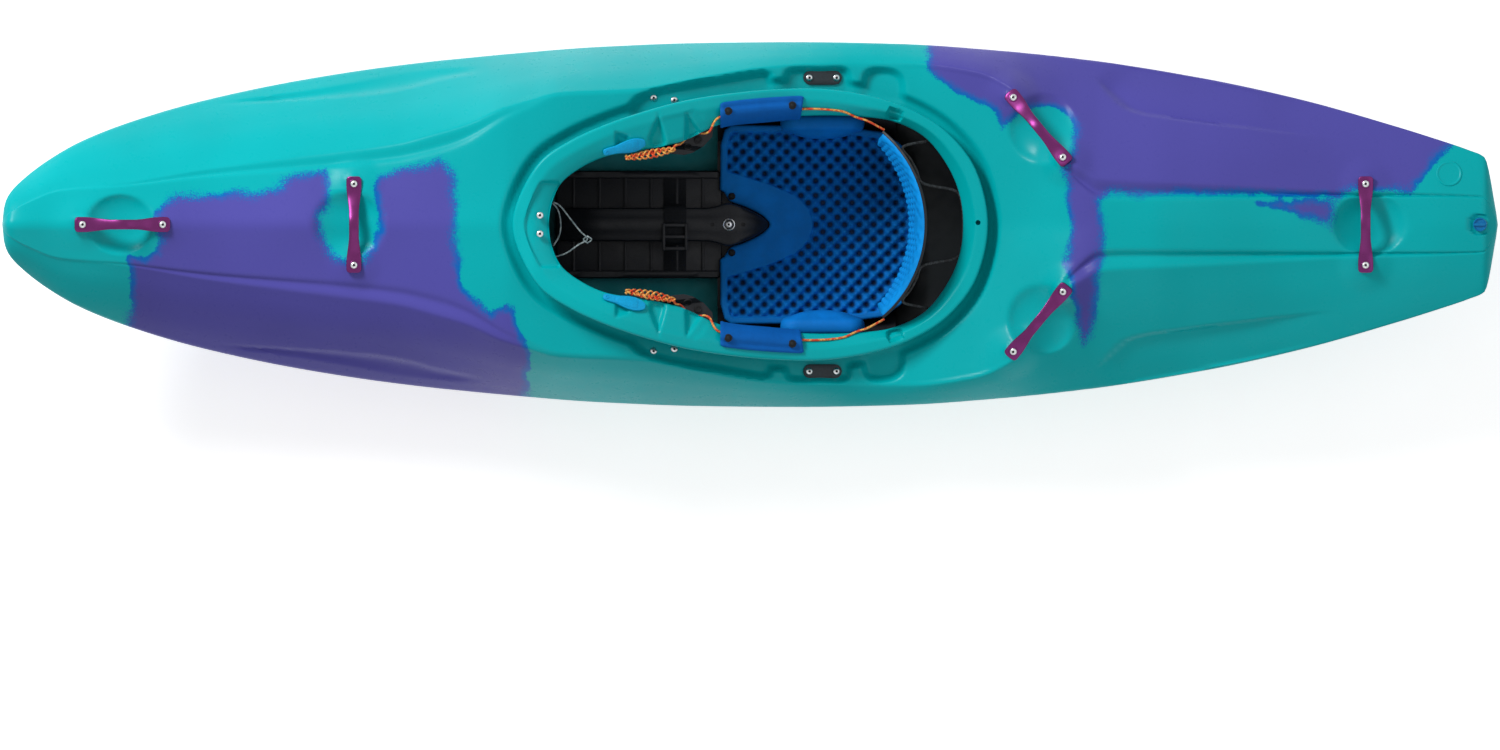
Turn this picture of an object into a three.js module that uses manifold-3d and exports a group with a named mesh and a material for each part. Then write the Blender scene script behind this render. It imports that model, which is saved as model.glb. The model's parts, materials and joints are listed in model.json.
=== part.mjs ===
// A whitewater kayak: one rotomoulded shell with its cockpit rim, five grab handles, and the
// seat, footrest, backband, braces, straps and cords that are fitted inside it.
// Millimetres. The bow points along -X, starboard along +Y, up along +Z, and the origin is
// under the middle of the hull, on the surface that it lies on.

import * as THREE from 'three';
import Module from 'manifold-3d';

const wasm = await Module();
wasm.setup();

// Driving dimensions

const hull = {
  length: 2670,
  halfBeam: 326.5,
  height: 444,
  wall: 6,
  grooveDepth: 5,
  bumperStep: 6,
};
const fit = { gap: 0.35, overrun: 90 };

// Sizes and places that follow the hull, from its middle, its middle line and the plane it lies on
const along = (share) => share * hull.length;
const across = (share) => share * hull.halfBeam;
const up = (share) => share * hull.height;

const rim = {
  stations: 42, lipDrop: 24, lipRound: 12, topWidth: 22, neckInset: 24, neckWall: 6, throatDrop: 19,
  stepDrop: 6.6,
};
const moat = { depth: 13, outside: 9, slope: 10 };
const pocket = { depth: 12 };
const handle = { length: 172, width: 27, waist: 19, thickness: 5.5, rise: 17, footLength: 27 };
const holeReach = (handle.length - handle.width) / 2;
const screw = { headRadius: 6.4, headHeight: 3.4, shankRadius: 3, shankLength: 17, clearance: 0.9 };
const bowl = { depth: 19 };
const plug = { radius: 12.6, headHeight: 9, stemRadius: 8, stemLength: 22, recessRadius: 23, recessDepth: 6 };
const seal = { width: 3.5, thickness: 2 };
const seat = {
  front: along(-0.02172), length: along(0.1191), floorHalf: across(0.4594), wingHalf: across(0.6003),
  floorZ: up(0.05405), thickness: 5, flankRise: up(0.07658), wingTop: up(0.3784),
};
const cushion = {
  front: along(-0.02022), rear: along(0.11086), half: across(0.539), thickness: 21, flankRise: up(0.0946),
};
const beam = {
  front: along(-0.12921), rear: along(-0.02397), half: across(0.294), thickness: 10, spineHalf: 30,
  spineHeight: up(0.13964), tip: along(0.01273), runner: 14, play: 1.5, level: along(-0.0085),
};
// The spine's end and the notch it lies in: places along and across from the mouth of the notch to its tip
const notchShares = [
  [-0.0155, 0.147], [-0.0132, 0.1222], [-0.0043, 0.098], [0.0029, 0.0717], [0.0088, 0.0429], [0.0122, 0.0153],
];
const plate = { length: 71, width: 25, thickness: 3.5, holeSpacing: 50 };
const brace = {
  length: 140, reach: across(0.3308), thickness: 9, padDrop: 30, padWidth: 34, travel: 12, clearance: 2, aft: 27,
};
// The brace's outline seen from above, drawn in to a crescent where it shows under the rim
const bracePlanShares = [
  [-0.0805, 0.45], [-0.0775, 0.405], [-0.07, 0.381], [-0.058, 0.372], [-0.0475, 0.374], [-0.0385, 0.392],
  [-0.031, 0.428], [-0.025, 0.482], [-0.0208, 0.545], [-0.0208, 0.8], [-0.0805, 0.8],
];
const footrest = {
  x: along(-0.20524), thickness: 8, foam: 20, halfWidth: across(0.6279), low: up(0.22072), high: up(0.7545),
  railSide: across(0.68606), railLength: along(0.07865), railHeight: 24,
};
const backband = {
  radius: across(0.65544), centreX: along(0.0367), shell: 4, pad: 15, gap: 0.5, halfAngle: 50,
  bottom: up(0.42793), top: up(0.72748), endTop: up(0.62162), endBottom: up(0.48198),
};
const cover = { front: along(-0.01985), rear: along(0.03408), thickness: 3.5, gap: 1, tunnel: 9.5 };
const hipPad = { length: 150, height: 92, thickness: 26, crown: 9, raise: 9 };
const cord = {
  tension: 4, shock: 5, sides: 8, tensionSteps: 64, shockSteps: 44,
  chainLinks: 8, chainHalf: 4.5, chainRear: along(-0.05019), chainFront: along(-0.08315), bandReach: 2.5,
  shockHeight: up(0.59009),
  // Where the tension cord dips under the rim ahead of the hip cover, and where the shock cord meets the rim:
  // a place along the boat, a reach past the opening's edge, and a drop
  underRim: [[-0.0272, 5, -2.5], [-0.0303, 4.5, 5], [-0.0345, -2, 10.5], [-0.0412, -4, 11], [-0.0466, 3.5, 7]],
  shockFront: [along(0.1195), -1.5, 19],
  shockRear: [[along(0.1396), 2, 11], [along(0.1414), -1, 9.8]],
};
const tab = {
  front: along(-0.09813), rear: along(-0.07116), length: 78, wide: 25, narrow: 13, thickness: 4.5, lift: 1.6,
};
const strap = { width: 40, thickness: 2.5, buckleLength: 50, buckleWidth: 46, buckleHeight: 7 };
const pillar = {
  width: 62, clearance: 1, bow: [along(-0.37828), along(-0.26217)], stern: [along(0.16105), along(0.33708)],
};

// Lines of the hull: pairs of a share of the length from the bow and a share of the size they follow

const halfBeamShares = [
  [0, 0.04], [0.002, 0.12], [0.005, 0.17], [0.012, 0.233], [0.029, 0.343], [0.052, 0.453], [0.086, 0.563],
  [0.132, 0.674], [0.199, 0.79], [0.266, 0.873], [0.333, 0.931], [0.4, 0.974], [0.467, 0.995], [0.533, 1],
  [0.6, 0.99], [0.667, 0.953], [0.734, 0.894], [0.801, 0.805], [0.868, 0.686], [0.934, 0.533], [0.961, 0.463],
  [0.981, 0.407], [0.991, 0.37], [1, 0.02],
];
const keelShares = [
  [0, 0.93], [0.002, 0.892], [0.005, 0.856], [0.012, 0.804], [0.029, 0.712], [0.052, 0.6], [0.086, 0.471],
  [0.132, 0.338], [0.199, 0.214], [0.266, 0.124], [0.333, 0.067], [0.4, 0.028], [0.447, 0.006], [0.475, 0],
  [0.535, 0], [0.567, 0.008], [0.6, 0.02], [0.667, 0.077], [0.734, 0.16], [0.801, 0.266], [0.868, 0.378],
  [0.934, 0.502], [0.981, 0.583], [1, 0.625],
];
const deckShares = [
  [0, 0.955], [0.003, 0.988], [0.006, 1], [0.012, 0.998], [0.029, 0.977], [0.052, 0.957], [0.086, 0.921],
  [0.132, 0.892], [0.18, 0.878], [0.233, 0.876], [0.3, 0.885], [0.335, 0.887], [0.352, 0.868], [0.377, 0.838],
  [0.41, 0.806], [0.444, 0.75], [0.477, 0.676], [0.507, 0.612], [0.541, 0.556], [0.577, 0.516], [0.608, 0.51],
  [0.645, 0.535], [0.667, 0.585], [0.687, 0.64], [0.707, 0.705], [0.724, 0.75], [0.738, 0.77], [0.767, 0.7725],
  [0.8, 0.752], [0.834, 0.732], [0.868, 0.712], [0.9, 0.692], [0.925, 0.689], [0.961, 0.7], [0.99, 0.7], [1, 0.65],
];
const crestSideShares = [
  [0, 0.02], [0.005, 0.066], [0.019, 0.131], [0.038, 0.191], [0.084, 0.227], [0.135, 0.295], [0.187, 0.35],
  [0.221, 0.385], [0.266, 0.437], [0.287, 0.484], [0.312, 0.546], [0.334, 0.628], [0.352, 0.675], [0.372, 0.721],
  [0.427, 0.743], [0.467, 0.803], [0.509, 0.858], [0.541, 0.874], [0.607, 0.88], [0.65, 0.836], [0.674, 0.749],
  [0.694, 0.546], [0.71, 0.366], [0.724, 0.284], [0.734, 0.246], [0.787, 0.224], [0.893, 0.18], [0.99, 0.158],
  [1, 0.01],
];
const crestHeightShares = [
  [0, 0.95], [0.005, 0.97], [0.019, 0.95], [0.038, 0.915], [0.081, 0.883], [0.114, 0.851], [0.154, 0.824],
  [0.203, 0.809], [0.242, 0.815], [0.281, 0.831], [0.316, 0.836], [0.352, 0.815], [0.373, 0.8], [0.4, 0.777],
  [0.444, 0.732], [0.477, 0.671], [0.507, 0.61], [0.541, 0.552], [0.577, 0.511], [0.608, 0.527], [0.65, 0.592],
  [0.676, 0.649], [0.694, 0.7], [0.71, 0.743], [0.734, 0.766], [0.767, 0.766], [0.801, 0.745], [0.868, 0.705],
  [0.921, 0.682], [0.961, 0.69], [0.99, 0.69], [1, 0.65],
];
const grooveSideShares = [
  [0, 0.94], [0.084, 0.94], [0.135, 0.89], [0.187, 0.845], [0.233, 0.81], [0.288, 0.8], [0.304, 0.82],
  [0.321, 0.87], [0.338, 0.92], [0.354, 0.95], [0.373, 0.96], [0.69, 0.96], [0.71, 0.85], [0.734, 0.61],
  [0.787, 0.66], [0.868, 0.8], [0.893, 0.84], [1, 0.94],
];
const grooveDepthShares = [
  [0, 0], [0.06, 0.2], [0.1, 0.7], [0.15, 1], [0.3, 1], [0.35, 0.4], [0.37, 0], [0.69, 0], [0.735, 1.6],
  [0.8, 1.6], [0.9, 1.3], [0.985, 0.6], [1, 0],
];
const kneeHeightShares = [
  [0, 0.94], [0.005, 0.91], [0.021, 0.83], [0.043, 0.777], [0.072, 0.685], [0.096, 0.62], [0.123, 0.565],
  [0.154, 0.511], [0.187, 0.473], [0.22, 0.44], [0.265, 0.412], [0.315, 0.396], [0.408, 0.383], [0.474, 0.385],
  [0.541, 0.405], [0.607, 0.425], [0.733, 0.441], [0.787, 0.475], [0.824, 0.511], [0.87, 0.538], [0.934, 0.59],
  [0.99, 0.642], [1, 0.645],
];
const bumperHeightShares = [
  [0, 0.002], [0.04, 0.03], [0.072, 0.05], [0.13, 0.06], [0.2, 0.074], [0.265, 0.077], [0.29, 0.078],
  [0.3, 0.04], [0.35, 0.034], [0.5, 0.03], [0.9, 0.02], [1, 0.006],
];
const bumperStepShares = [[0, 0], [0.04, 0.6], [0.1, 1], [0.29, 1], [0.31, 0.6], [0.5, 0.4], [0.9, 0.3], [1, 0]];
const chineSideShares = [[0, 0.4], [0.05, 0.5], [0.2, 0.6], [0.35, 0.68], [0.5, 0.7], [0.7, 0.72], [1, 0.84]];
const chineRiseShares = [[0, 0.002], [0.05, 0.03], [0.12, 0.05], [0.6, 0.058], [0.75, 0.045], [0.9, 0.022], [1, 0]];
const rimTopShares = [
  [0.341, 0.9], [0.345, 0.905], [0.357, 0.923], [0.366, 0.921], [0.4, 0.905], [0.433, 0.865], [0.467, 0.804],
  [0.5, 0.727], [0.537, 0.64], [0.576, 0.606], [0.619, 0.595], [0.64, 0.604], [0.659, 0.622],
];
// The starboard half of the rim, front to rear: outer edge x, y and opening edge x, y
const rimShares = [
  [0.341, 0, 0.3656, 0], [0.3456, 0.153, 0.3676, 0.12], [0.3603, 0.35, 0.3743, 0.23],
  [0.3797, 0.459, 0.3884, 0.317], [0.4031, 0.546, 0.4037, 0.372], [0.4265, 0.612, 0.4265, 0.404],
  [0.4532, 0.672, 0.4545, 0.454], [0.48, 0.71, 0.48, 0.546], [0.5134, 0.738, 0.512, 0.579],
  [0.5468, 0.743, 0.5434, 0.596], [0.5769, 0.71, 0.5722, 0.59], [0.6036, 0.645, 0.5956, 0.563],
  [0.6283, 0.53, 0.617, 0.475], [0.647, 0.361, 0.633, 0.306], [0.6557, 0.191, 0.6404, 0.153],
  [0.6591, 0, 0.6424, 0],
];
const stationShares = [
  0.002, 0.006, 0.014, 0.026, 0.042, 0.062, 0.085, 0.11, 0.14, 0.175, 0.21, 0.245, 0.273, 0.29, 0.303, 0.325,
  0.35, 0.375, 0.4, 0.425, 0.45, 0.475, 0.505, 0.535, 0.565, 0.59, 0.615, 0.638, 0.655, 0.67, 0.684, 0.698, 0.711,
  0.724, 0.737, 0.765, 0.81, 0.855, 0.9, 0.94, 0.97, 0.99, 0.996,
];
const bowTipShare = 0.94;
const sternTipShare = 0.645;

// Places, each at a share of the hull. A handle lies at a turn from the boat's line, in degrees, and its bowl's
// radii are shares of its length.

const place = {
  bowHandle: { at: [along(-0.41985), 0], turn: 0, bowl: [along(-0.41985), 0], radii: [0.3314, 0.2965], lift: 3 },
  frontHandle: { at: [along(-0.26479), 0], turn: -90, bowl: [along(-0.26816), 0], radii: [0.3779, 0.3488], lift: 6 },
  rearHandle: {
    at: [along(0.19307), across(0.5268)], turn: -50.4, bowl: [along(0.19625), across(0.51761)], radii: [0.3605, 0.3605],
    lift: 9,
  },
  sternHandle: { at: [along(0.41161), 0], turn: -90, bowl: [along(0.41348), 0], radii: [0.3605, 0.3256], lift: 6 },
  plug: [along(0.48801), 0],
  sidePlate: { x: along(0.04831), y: across(0.80245) },
  thighScrews: { front: along(-0.06479), rear: along(-0.05056), frontY: across(0.69219), rearY: across(0.67994) },
  rimScrews: { x: along(-0.14045), y: 16.5 },
  railBolts: { front: along(-0.20449), rear: along(-0.17603), z: up(0.31081) },
  padScrews: { x: along(-0.01217), y: across(0.1541) },
  spineScrew: along(-0.01416),
  buckle: { x: along(-0.05019), y: -22 },
};
const colours = {
  shell: 0x00a9b0, handle: 0xa9539a, steel: 0xb9bcc0, black: 0x1e2128, foam: 0x0a64ac, dark: 0x24272c,
  cord: 0xe0602c, shock: 0x15171a, tab: 0x16a0d8, plug: 0x1280c0, rubber: 0x1b1c1f, grey: 0x60656c,
};

const kayak = new THREE.Group();
kayak.name = 'whitewater_kayak';

// Curves and solids

/** A smooth line through pairs of share and value, without overshoot between them. */
function smoothLine(pairs) {
  const slopes = pairs.slice(1).map(([s, v], i) => (v - pairs[i][1]) / (s - pairs[i][0]));
  const tangents = pairs.map((_, i) => {
    const before = slopes[Math.max(i - 1, 0)];
    const after = slopes[Math.min(i, slopes.length - 1)];
    return before * after <= 0 ? 0 : (2 * before * after) / (before + after);
  });
  return (share) => {
    const s = THREE.MathUtils.clamp(share, pairs[0][0], pairs.at(-1)[0]);
    const i = Math.min(Math.max(pairs.findIndex(([p]) => p >= s) - 1, 0), slopes.length - 1);
    const step = pairs[i + 1][0] - pairs[i][0];
    const t = (s - pairs[i][0]) / step;
    const rise = t * t * (3 - 2 * t);
    const bend = (t - 2 * t * t + t * t * t) * tangents[i] + (t * t * t - t * t) * tangents[i + 1];
    return pairs[i][1] * (1 - rise) + pairs[i + 1][1] * rise + bend * step;
  };
}

/** A manifold solid from points and triangles, turned inside out if its faces point inwards. */
function solidOf(points, triangles) {
  const [a, b, c] = [new THREE.Vector3(), new THREE.Vector3(), new THREE.Vector3()];
  const volume = triangles.reduce((sum, [i, j, k]) => {
    a.copy(points[i]);
    b.copy(points[j]);
    c.copy(points[k]);
    return sum + a.dot(b.cross(c));
  }, 0);
  const faces = volume < 0 ? triangles.map(([i, j, k]) => [i, k, j]) : triangles;
  return new wasm.Manifold(new wasm.Mesh({
    numProp: 3,
    vertProperties: new Float32Array(points.flatMap((p) => [p.x, p.y, p.z])),
    triVerts: new Uint32Array(faces.flat()),
  }));
}

/**
 * A solid whose skin runs through rows of points. Its ends are tips, flat caps, or each other.
 * Each four-sided patch is split in two, the other way where turnedSplit says so.
 */
function loft(rows, { closed = false, tips = null, turnedSplit = () => false } = {}) {
  const count = rows[0].length;
  const points = rows.flat();
  const triangles = [];
  const bands = closed ? rows.length : rows.length - 1;
  for (let i = 0; i < bands; i += 1) {
    const next = (i + 1) % rows.length;
    for (let j = 0; j < count; j += 1) {
      const k = (j + 1) % count;
      const [a, b, c, d] = [i * count + j, i * count + k, next * count + k, next * count + j];
      if (turnedSplit(i, j)) triangles.push([a, b, d], [b, c, d]);
      else triangles.push([a, b, c], [a, c, d]);
    }
  }
  if (tips) {
    const base = (rows.length - 1) * count;
    points.push(...tips);
    for (let j = 0; j < count; j += 1) {
      const k = (j + 1) % count;
      triangles.push([points.length - 2, k, j], [points.length - 1, base + j, base + k]);
    }
  } else if (!closed) {
    const base = (rows.length - 1) * count;
    capTriangles(rows[0]).forEach(([i, j, k]) => {
      triangles.push([i, k, j], [base + i, base + j, base + k]);
    });
  }
  return solidOf(points, triangles);
}

/** Triangles that fill a loop of points lying near one plane, in the winding of the loop. */
function capTriangles(loop) {
  const normal = new THREE.Vector3();
  loop.forEach((p, i) => normal.add(p.clone().cross(loop[(i + 1) % loop.length])));
  const turn = new THREE.Quaternion().setFromUnitVectors(normal.normalize(), new THREE.Vector3(0, 0, 1));
  const flat = loop.map((p) => {
    const q = p.clone().applyQuaternion(turn);
    return new THREE.Vector2(q.x, q.y);
  });
  return THREE.ShapeUtils.triangulateShape(flat, []);
}

/** A manifold solid from any closed three.js geometry. */
function fromGeometry(source) {
  const position = (source.index ? source.toNonIndexed() : source).getAttribute('position');
  const ids = new Map();
  const points = [];
  const triangles = [];
  for (let i = 0; i < position.count; i += 3) {
    const corners = [0, 1, 2].map((offset) => {
      const p = new THREE.Vector3().fromBufferAttribute(position, i + offset);
      const key = p.toArray().map((value) => Math.round(value * 1e4)).join();
      if (!ids.has(key)) {
        ids.set(key, points.length);
        points.push(p);
      }
      return ids.get(key);
    });
    if (new Set(corners).size === 3) triangles.push(corners);
  }
  return solidOf(points, triangles);
}

/** A three.js geometry from a manifold solid. */
function toGeometry(solid) {
  const mesh = solid.getMesh();
  const geometry = new THREE.BufferGeometry();
  geometry.setAttribute('position', new THREE.BufferAttribute(new Float32Array(mesh.vertProperties), 3));
  geometry.setIndex(new THREE.BufferAttribute(new Uint32Array(mesh.triVerts), 1));
  geometry.computeVertexNormals();
  return geometry;
}

/** Adds a named sub-part to the kayak. */
function addPart(name, solid, colour, { roughness = 0.5, metalness = 0 } = {}) {
  const geometry = solid.isBufferGeometry ? solid : toGeometry(solid);
  const mesh = new THREE.Mesh(geometry, new THREE.MeshStandardMaterial({ color: colour, roughness, metalness }));
  mesh.name = name;
  kayak.add(mesh);
}

/** An outline drawn up along local z, moved by a matrix. */
function prism(points, depth, matrix = new THREE.Matrix4()) {
  const shape = new THREE.Shape(points.map(([x, y]) => new THREE.Vector2(x, y)));
  const geometry = new THREE.ExtrudeGeometry(shape, { depth, bevelEnabled: false, curveSegments: 8 });
  return fromGeometry(geometry.applyMatrix4(matrix));
}

function box(min, max) {
  const size = max.map((value, i) => value - min[i]);
  const geometry = new THREE.BoxGeometry(...size);
  geometry.translate(...min.map((value, i) => value + size[i] / 2));
  return fromGeometry(geometry);
}

/** A shape turned about local z from pairs of radius and height, moved by a matrix. */
function turned(profile, segments, matrix = new THREE.Matrix4()) {
  const geometry = new THREE.LatheGeometry(profile.map(([r, z]) => new THREE.Vector2(r, z)), segments);
  return fromGeometry(geometry.rotateX(Math.PI / 2).applyMatrix4(matrix));
}

/** A round tube along a smooth line through points. */
function tube(points, radius, steps) {
  const path = new THREE.CatmullRomCurve3(points.map((p) => new THREE.Vector3(...p)), false, 'centripetal');
  const section = new THREE.Shape(
    Array.from({ length: cord.sides }, (_, i) => {
      const angle = (i / cord.sides) * Math.PI * 2;
      return new THREE.Vector2(radius * Math.cos(angle), radius * Math.sin(angle));
    }),
  );
  return fromGeometry(new THREE.ExtrudeGeometry(section, { steps, extrudePath: path, bevelEnabled: false }));
}

const mirror = new THREE.Matrix4().makeScale(1, -1, 1);

/** The same solid on the other side of the boat. */
function mirrored(solid) {
  return fromGeometry(toGeometry(solid).applyMatrix4(mirror));
}

/** A solid made in a frame of its own, put where the frame is. */
const moved = (solid, frame) => fromGeometry(toGeometry(solid).applyMatrix4(frame));

/** Adds a starboard part and its mirror image to port. */
function addPair(name, solid, colour, finish) {
  addPart(`${name}_starboard`, solid, colour, finish);
  addPart(`${name}_port`, mirrored(solid), colour, finish);
}

// Hull form

const shareOfX = (x) => x / hull.length + 0.5;
const xOfShare = (share) => (share - 0.5) * hull.length;
const halfBeamAt = smoothLine(halfBeamShares);
const keelAt = smoothLine(keelShares);
const deckAt = smoothLine(deckShares);
const crestSideAt = smoothLine(crestSideShares);
const crestHeightAt = smoothLine(crestHeightShares);
const grooveSideAt = smoothLine(grooveSideShares);
const grooveDepthAt = smoothLine(grooveDepthShares);
const kneeHeightAt = smoothLine(kneeHeightShares);
const bumperHeightAt = smoothLine(bumperHeightShares);
const bumperStepAt = smoothLine(bumperStepShares);
const chineSideAt = smoothLine(chineSideShares);
const chineRiseAt = smoothLine(chineRiseShares);
const rimTopAt = smoothLine(rimTopShares);
const deckKnotCount = 7;
const sideDeckShares = [[0.35, 0.25], [0.75, 0.66]];
const sideHullShares = [[0.25, 0.55]];

/** Half of a cross-section at a share of the length: y, z pairs from the deck's middle round to the keel. */
function halfSection(share) {
  const knee = [halfBeamAt(share) * hull.halfBeam, kneeHeightAt(share) * hull.height];
  const middle = deckAt(share) * hull.height;
  const crest = [crestSideAt(share) * hull.halfBeam, crestHeightAt(share) * hull.height];
  const innerSide = crest[0] * grooveSideAt(share);
  const band = crest[0] - innerSide;
  const panelEdge = crest[1] + 0.18 * (middle - crest[1]);
  const depth = grooveDepthAt(share) * hull.grooveDepth;
  const drop = crest[1] - knee[1];
  const deck = [
    [0, middle],
    [innerSide - band * 0.1, panelEdge],
    [innerSide + band * 0.3, panelEdge - depth],
    crest,
    ...sideDeckShares.map(([out, down]) => [crest[0] + out * (knee[0] - crest[0]), crest[1] - down * drop]),
    knee,
  ];
  const keel = keelAt(share) * hull.height;
  const rail = [knee[0] * 0.995, knee[1] - bumperHeightAt(share) * hull.height];
  const step = bumperStepAt(share) * hull.bumperStep;
  const under = [rail[0] - step, rail[1] - step / 2];
  const rise = Math.min(chineRiseAt(share) * hull.height, (under[1] - keel) * 0.6);
  const chine = [chineSideAt(share) * knee[0], keel + rise];
  const side = sideHullShares.map(([inward, down]) => [
    under[0] - inward * (under[0] - chine[0]), under[1] - down * (under[1] - chine[1]),
  ]);
  const bottom = [[chine[0] * 0.72, keel], [0, keel]];
  return [...deck, rail, under, ...side, chine, ...bottom];
}

/** Height of the plain deck over a point. */
function deckHeight(x, y) {
  const section = halfSection(shareOfX(x)).slice(0, deckKnotCount);
  const side = Math.abs(y);
  const i = Math.min(Math.max(section.findIndex(([knotY]) => knotY >= side), 1), section.length - 1);
  const [before, after] = [section[i - 1], section[i]];
  return THREE.MathUtils.mapLinear(side, before[0], after[0], before[1], after[1]);
}

/** Rows of points round the hull, from bow to stern. */
function hullRows() {
  return stationShares.map((share) => {
    const half = halfSection(share);
    const port = half.slice(1, -1).reverse().map(([y, z]) => [-y, z]);
    return [...half, ...port].map(([y, z]) => new THREE.Vector3(xOfShare(share), y, z));
  });
}

/** The rows moved inwards along the skin's own normals. */
function insetRows(rows, distance) {
  return rows.map((row, i) => row.map((point, j) => {
    const lengthwise = rows[Math.min(i + 1, rows.length - 1)][j].clone().sub(rows[Math.max(i - 1, 0)][j]);
    const around = row[(j + 1) % row.length].clone().sub(row[(j + row.length - 1) % row.length]);
    const normal = around.cross(lengthwise).normalize();
    return point.clone().addScaledVector(normal, distance);
  }));
}

const outerRows = hullRows();
const onPort = (row, column) => column >= outerRows[0].length / 2;
const insetFirst = 2;
const insetLast = outerRows.length - 2;

/** The space inside the shell, drawn in from its outside by a distance. */
function cavity(distance) {
  const rows = insetRows(outerRows, distance).slice(insetFirst, insetLast);
  const middleOf = (row) => row.reduce((sum, p) => sum.add(p), new THREE.Vector3()).divideScalar(row.length);
  return loft(rows, { tips: [middleOf(rows[0]), middleOf(rows.at(-1))], turnedSplit: onPort });
}

// Cockpit rim

/** One of the rim's edges, round the whole opening. */
function rimEdge(column) {
  const port = rimShares.slice(1, -1).reverse().map(([x, y, ix, iy]) => [x, -y, ix, -iy]);
  const points = [...rimShares, ...port].map((row) => (
    new THREE.Vector3(xOfShare(row[column]), row[column + 1] * hull.halfBeam, 0)
  ));
  return new THREE.CatmullRomCurve3(points, true);
}

const rimOuterEdge = rimEdge(0);
const rimOpeningEdge = rimEdge(2);
const rimStationAt = (t) => ({ outer: rimOuterEdge.getPoint(t), inner: rimOpeningEdge.getPoint(t) });
const rimRing = Array.from({ length: rim.stations }, (_, i) => rimStationAt(i / rim.stations));
const rimTurnedSplit = (row) => row >= rim.stations / 2;

/** A point that each rim station can give, taken beside a place along the boat's starboard side. */
function besideRim(x, pointOf) {
  const i = rimRing.findIndex((station) => station.inner.x >= x);
  const [before, after] = [rimRing[i - 1], rimRing[i]];
  const part = (x - before.inner.x) / (after.inner.x - before.inner.x);
  return pointOf(before).lerp(pointOf(after), part);
}

const rimWidth = (station) => station.outer.distanceTo(station.inner);

/** A point of the rim: a distance in from its outer edge and a height over its top line. */
function rimPoint(station, inset, rise) {
  const { outer, inner } = station;
  const inward = inner.clone().sub(outer).normalize();
  const point = outer.clone().addScaledVector(inward, inset);
  point.z = rimTopAt(shareOfX(point.x)) * hull.height + rise;
  return point;
}

/** The rim's top skin at a station: pairs of inset and rise from its outer edge to its opening edge. */
function rimTopProfile(station) {
  const width = rimWidth(station);
  return [
    [0, -rim.lipRound],
    [rim.lipRound * 0.25, -rim.lipRound * 0.33],
    [rim.lipRound, 0],
    [Math.min(rim.topWidth, width * 0.55), 0],
    [width * 0.78, -rim.throatDrop * 0.45],
    [width, -rim.throatDrop],
  ];
}

function moatFloor(point) {
  return deckHeight(point.x, point.y) - moat.depth;
}

function rimSolid() {
  const rows = rimRing.map((station) => {
    const width = rimWidth(station);
    const underside = rim.lipDrop + rim.neckWall * 0.4;
    const top = rimTopProfile(station).map(([inset, rise]) => rimPoint(station, inset, rise));
    const neckInner = rimPoint(station, rim.neckInset + rim.neckWall, 0);
    const neckOuter = rimPoint(station, rim.neckInset, 0);
    const foot = moatFloor(neckOuter) - hull.wall * 0.6;
    neckInner.z = foot;
    neckOuter.z = foot;
    return [
      ...top,
      rimPoint(station, width - fit.gap * 3, -rim.throatDrop - rim.neckWall),
      rimPoint(station, rim.neckInset + rim.neckWall, -underside - rim.neckWall),
      neckInner,
      neckOuter,
      rimPoint(station, rim.neckInset, -underside),
      rimPoint(station, rim.neckWall, -rim.lipDrop),
      rimPoint(station, fit.gap * 3, -rim.lipDrop * 0.8),
    ];
  });
  return loft(rows, { closed: true, turnedSplit: rimTurnedSplit });
}

/** The valley round the rim, grown outwards and down by a wall. */
function moatSolid(grow) {
  const rows = rimRing.map((station) => {
    const outward = moat.outside + grow;
    const reach = [-outward - moat.slope, -outward, rim.neckInset + moat.slope, rim.neckInset + moat.slope];
    const points = reach.map((inset) => rimPoint(station, inset, 0));
    const floor = moatFloor(points[1]) - grow;
    const ceiling = floor + fit.overrun;
    points[0].z = ceiling;
    points[1].z = floor;
    points[2].z = moatFloor(points[2]) - grow;
    points[3].z = ceiling;
    return points;
  });
  return loft(rows, { closed: true, turnedSplit: rimTurnedSplit });
}

/** The upright hole through the deck, inside the rim's neck. */
function openingSolid() {
  const edge = rimRing.map((station) => rimPoint(station, rim.neckInset + rim.neckWall * 0.5, 0));
  const lift = new THREE.Matrix4().makeTranslation(0, 0, hull.height * 0.36);
  return prism(edge.map((p) => [p.x, p.y]), hull.height, lift);
}

// Deck pockets beside the rim, each a run of stations: x share, inner side, outer side

const pocketShares = [
  [[0.424, 0.66, 0.71], [0.433, 0.66, 0.742], [0.452, 0.69, 0.778], [0.48, 0.725, 0.815], [0.502, 0.74, 0.842],
    [0.511, 0.76, 0.84]],
  [[0.524, 0.76, 0.85], [0.53, 0.755, 0.868], [0.548, 0.755, 0.872], [0.5655, 0.745, 0.87]],
];

function pocketSolid(shares, grow) {
  const lengthen = (index) => (index === 0 ? -grow : 0) + (index === shares.length - 1 ? grow : 0);
  const rows = shares.map(([share, inner, outer], index) => {
    const x = xOfShare(share) + lengthen(index);
    const [near, far] = [inner * hull.halfBeam - grow, outer * hull.halfBeam + grow];
    const floor = pocketFloor(x) - grow;
    const ceiling = floor + fit.overrun;
    const corner = [[far - pocket.depth / 3, floor], [far, floor + pocket.depth]];
    const section = [[near, floor], ...corner, [far, ceiling], [near, ceiling]];
    return section.map(([y, z]) => new THREE.Vector3(x, y, z));
  });
  return loft(rows);
}

/** Height of a pocket's floor, which follows the deck's shoulder down and aft. */
function pocketFloor(x) {
  const share = shareOfX(x);
  return crestHeightAt(share) * hull.height - pocket.depth - moat.depth * 0.4;
}

// Bowls under the grab handles

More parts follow.
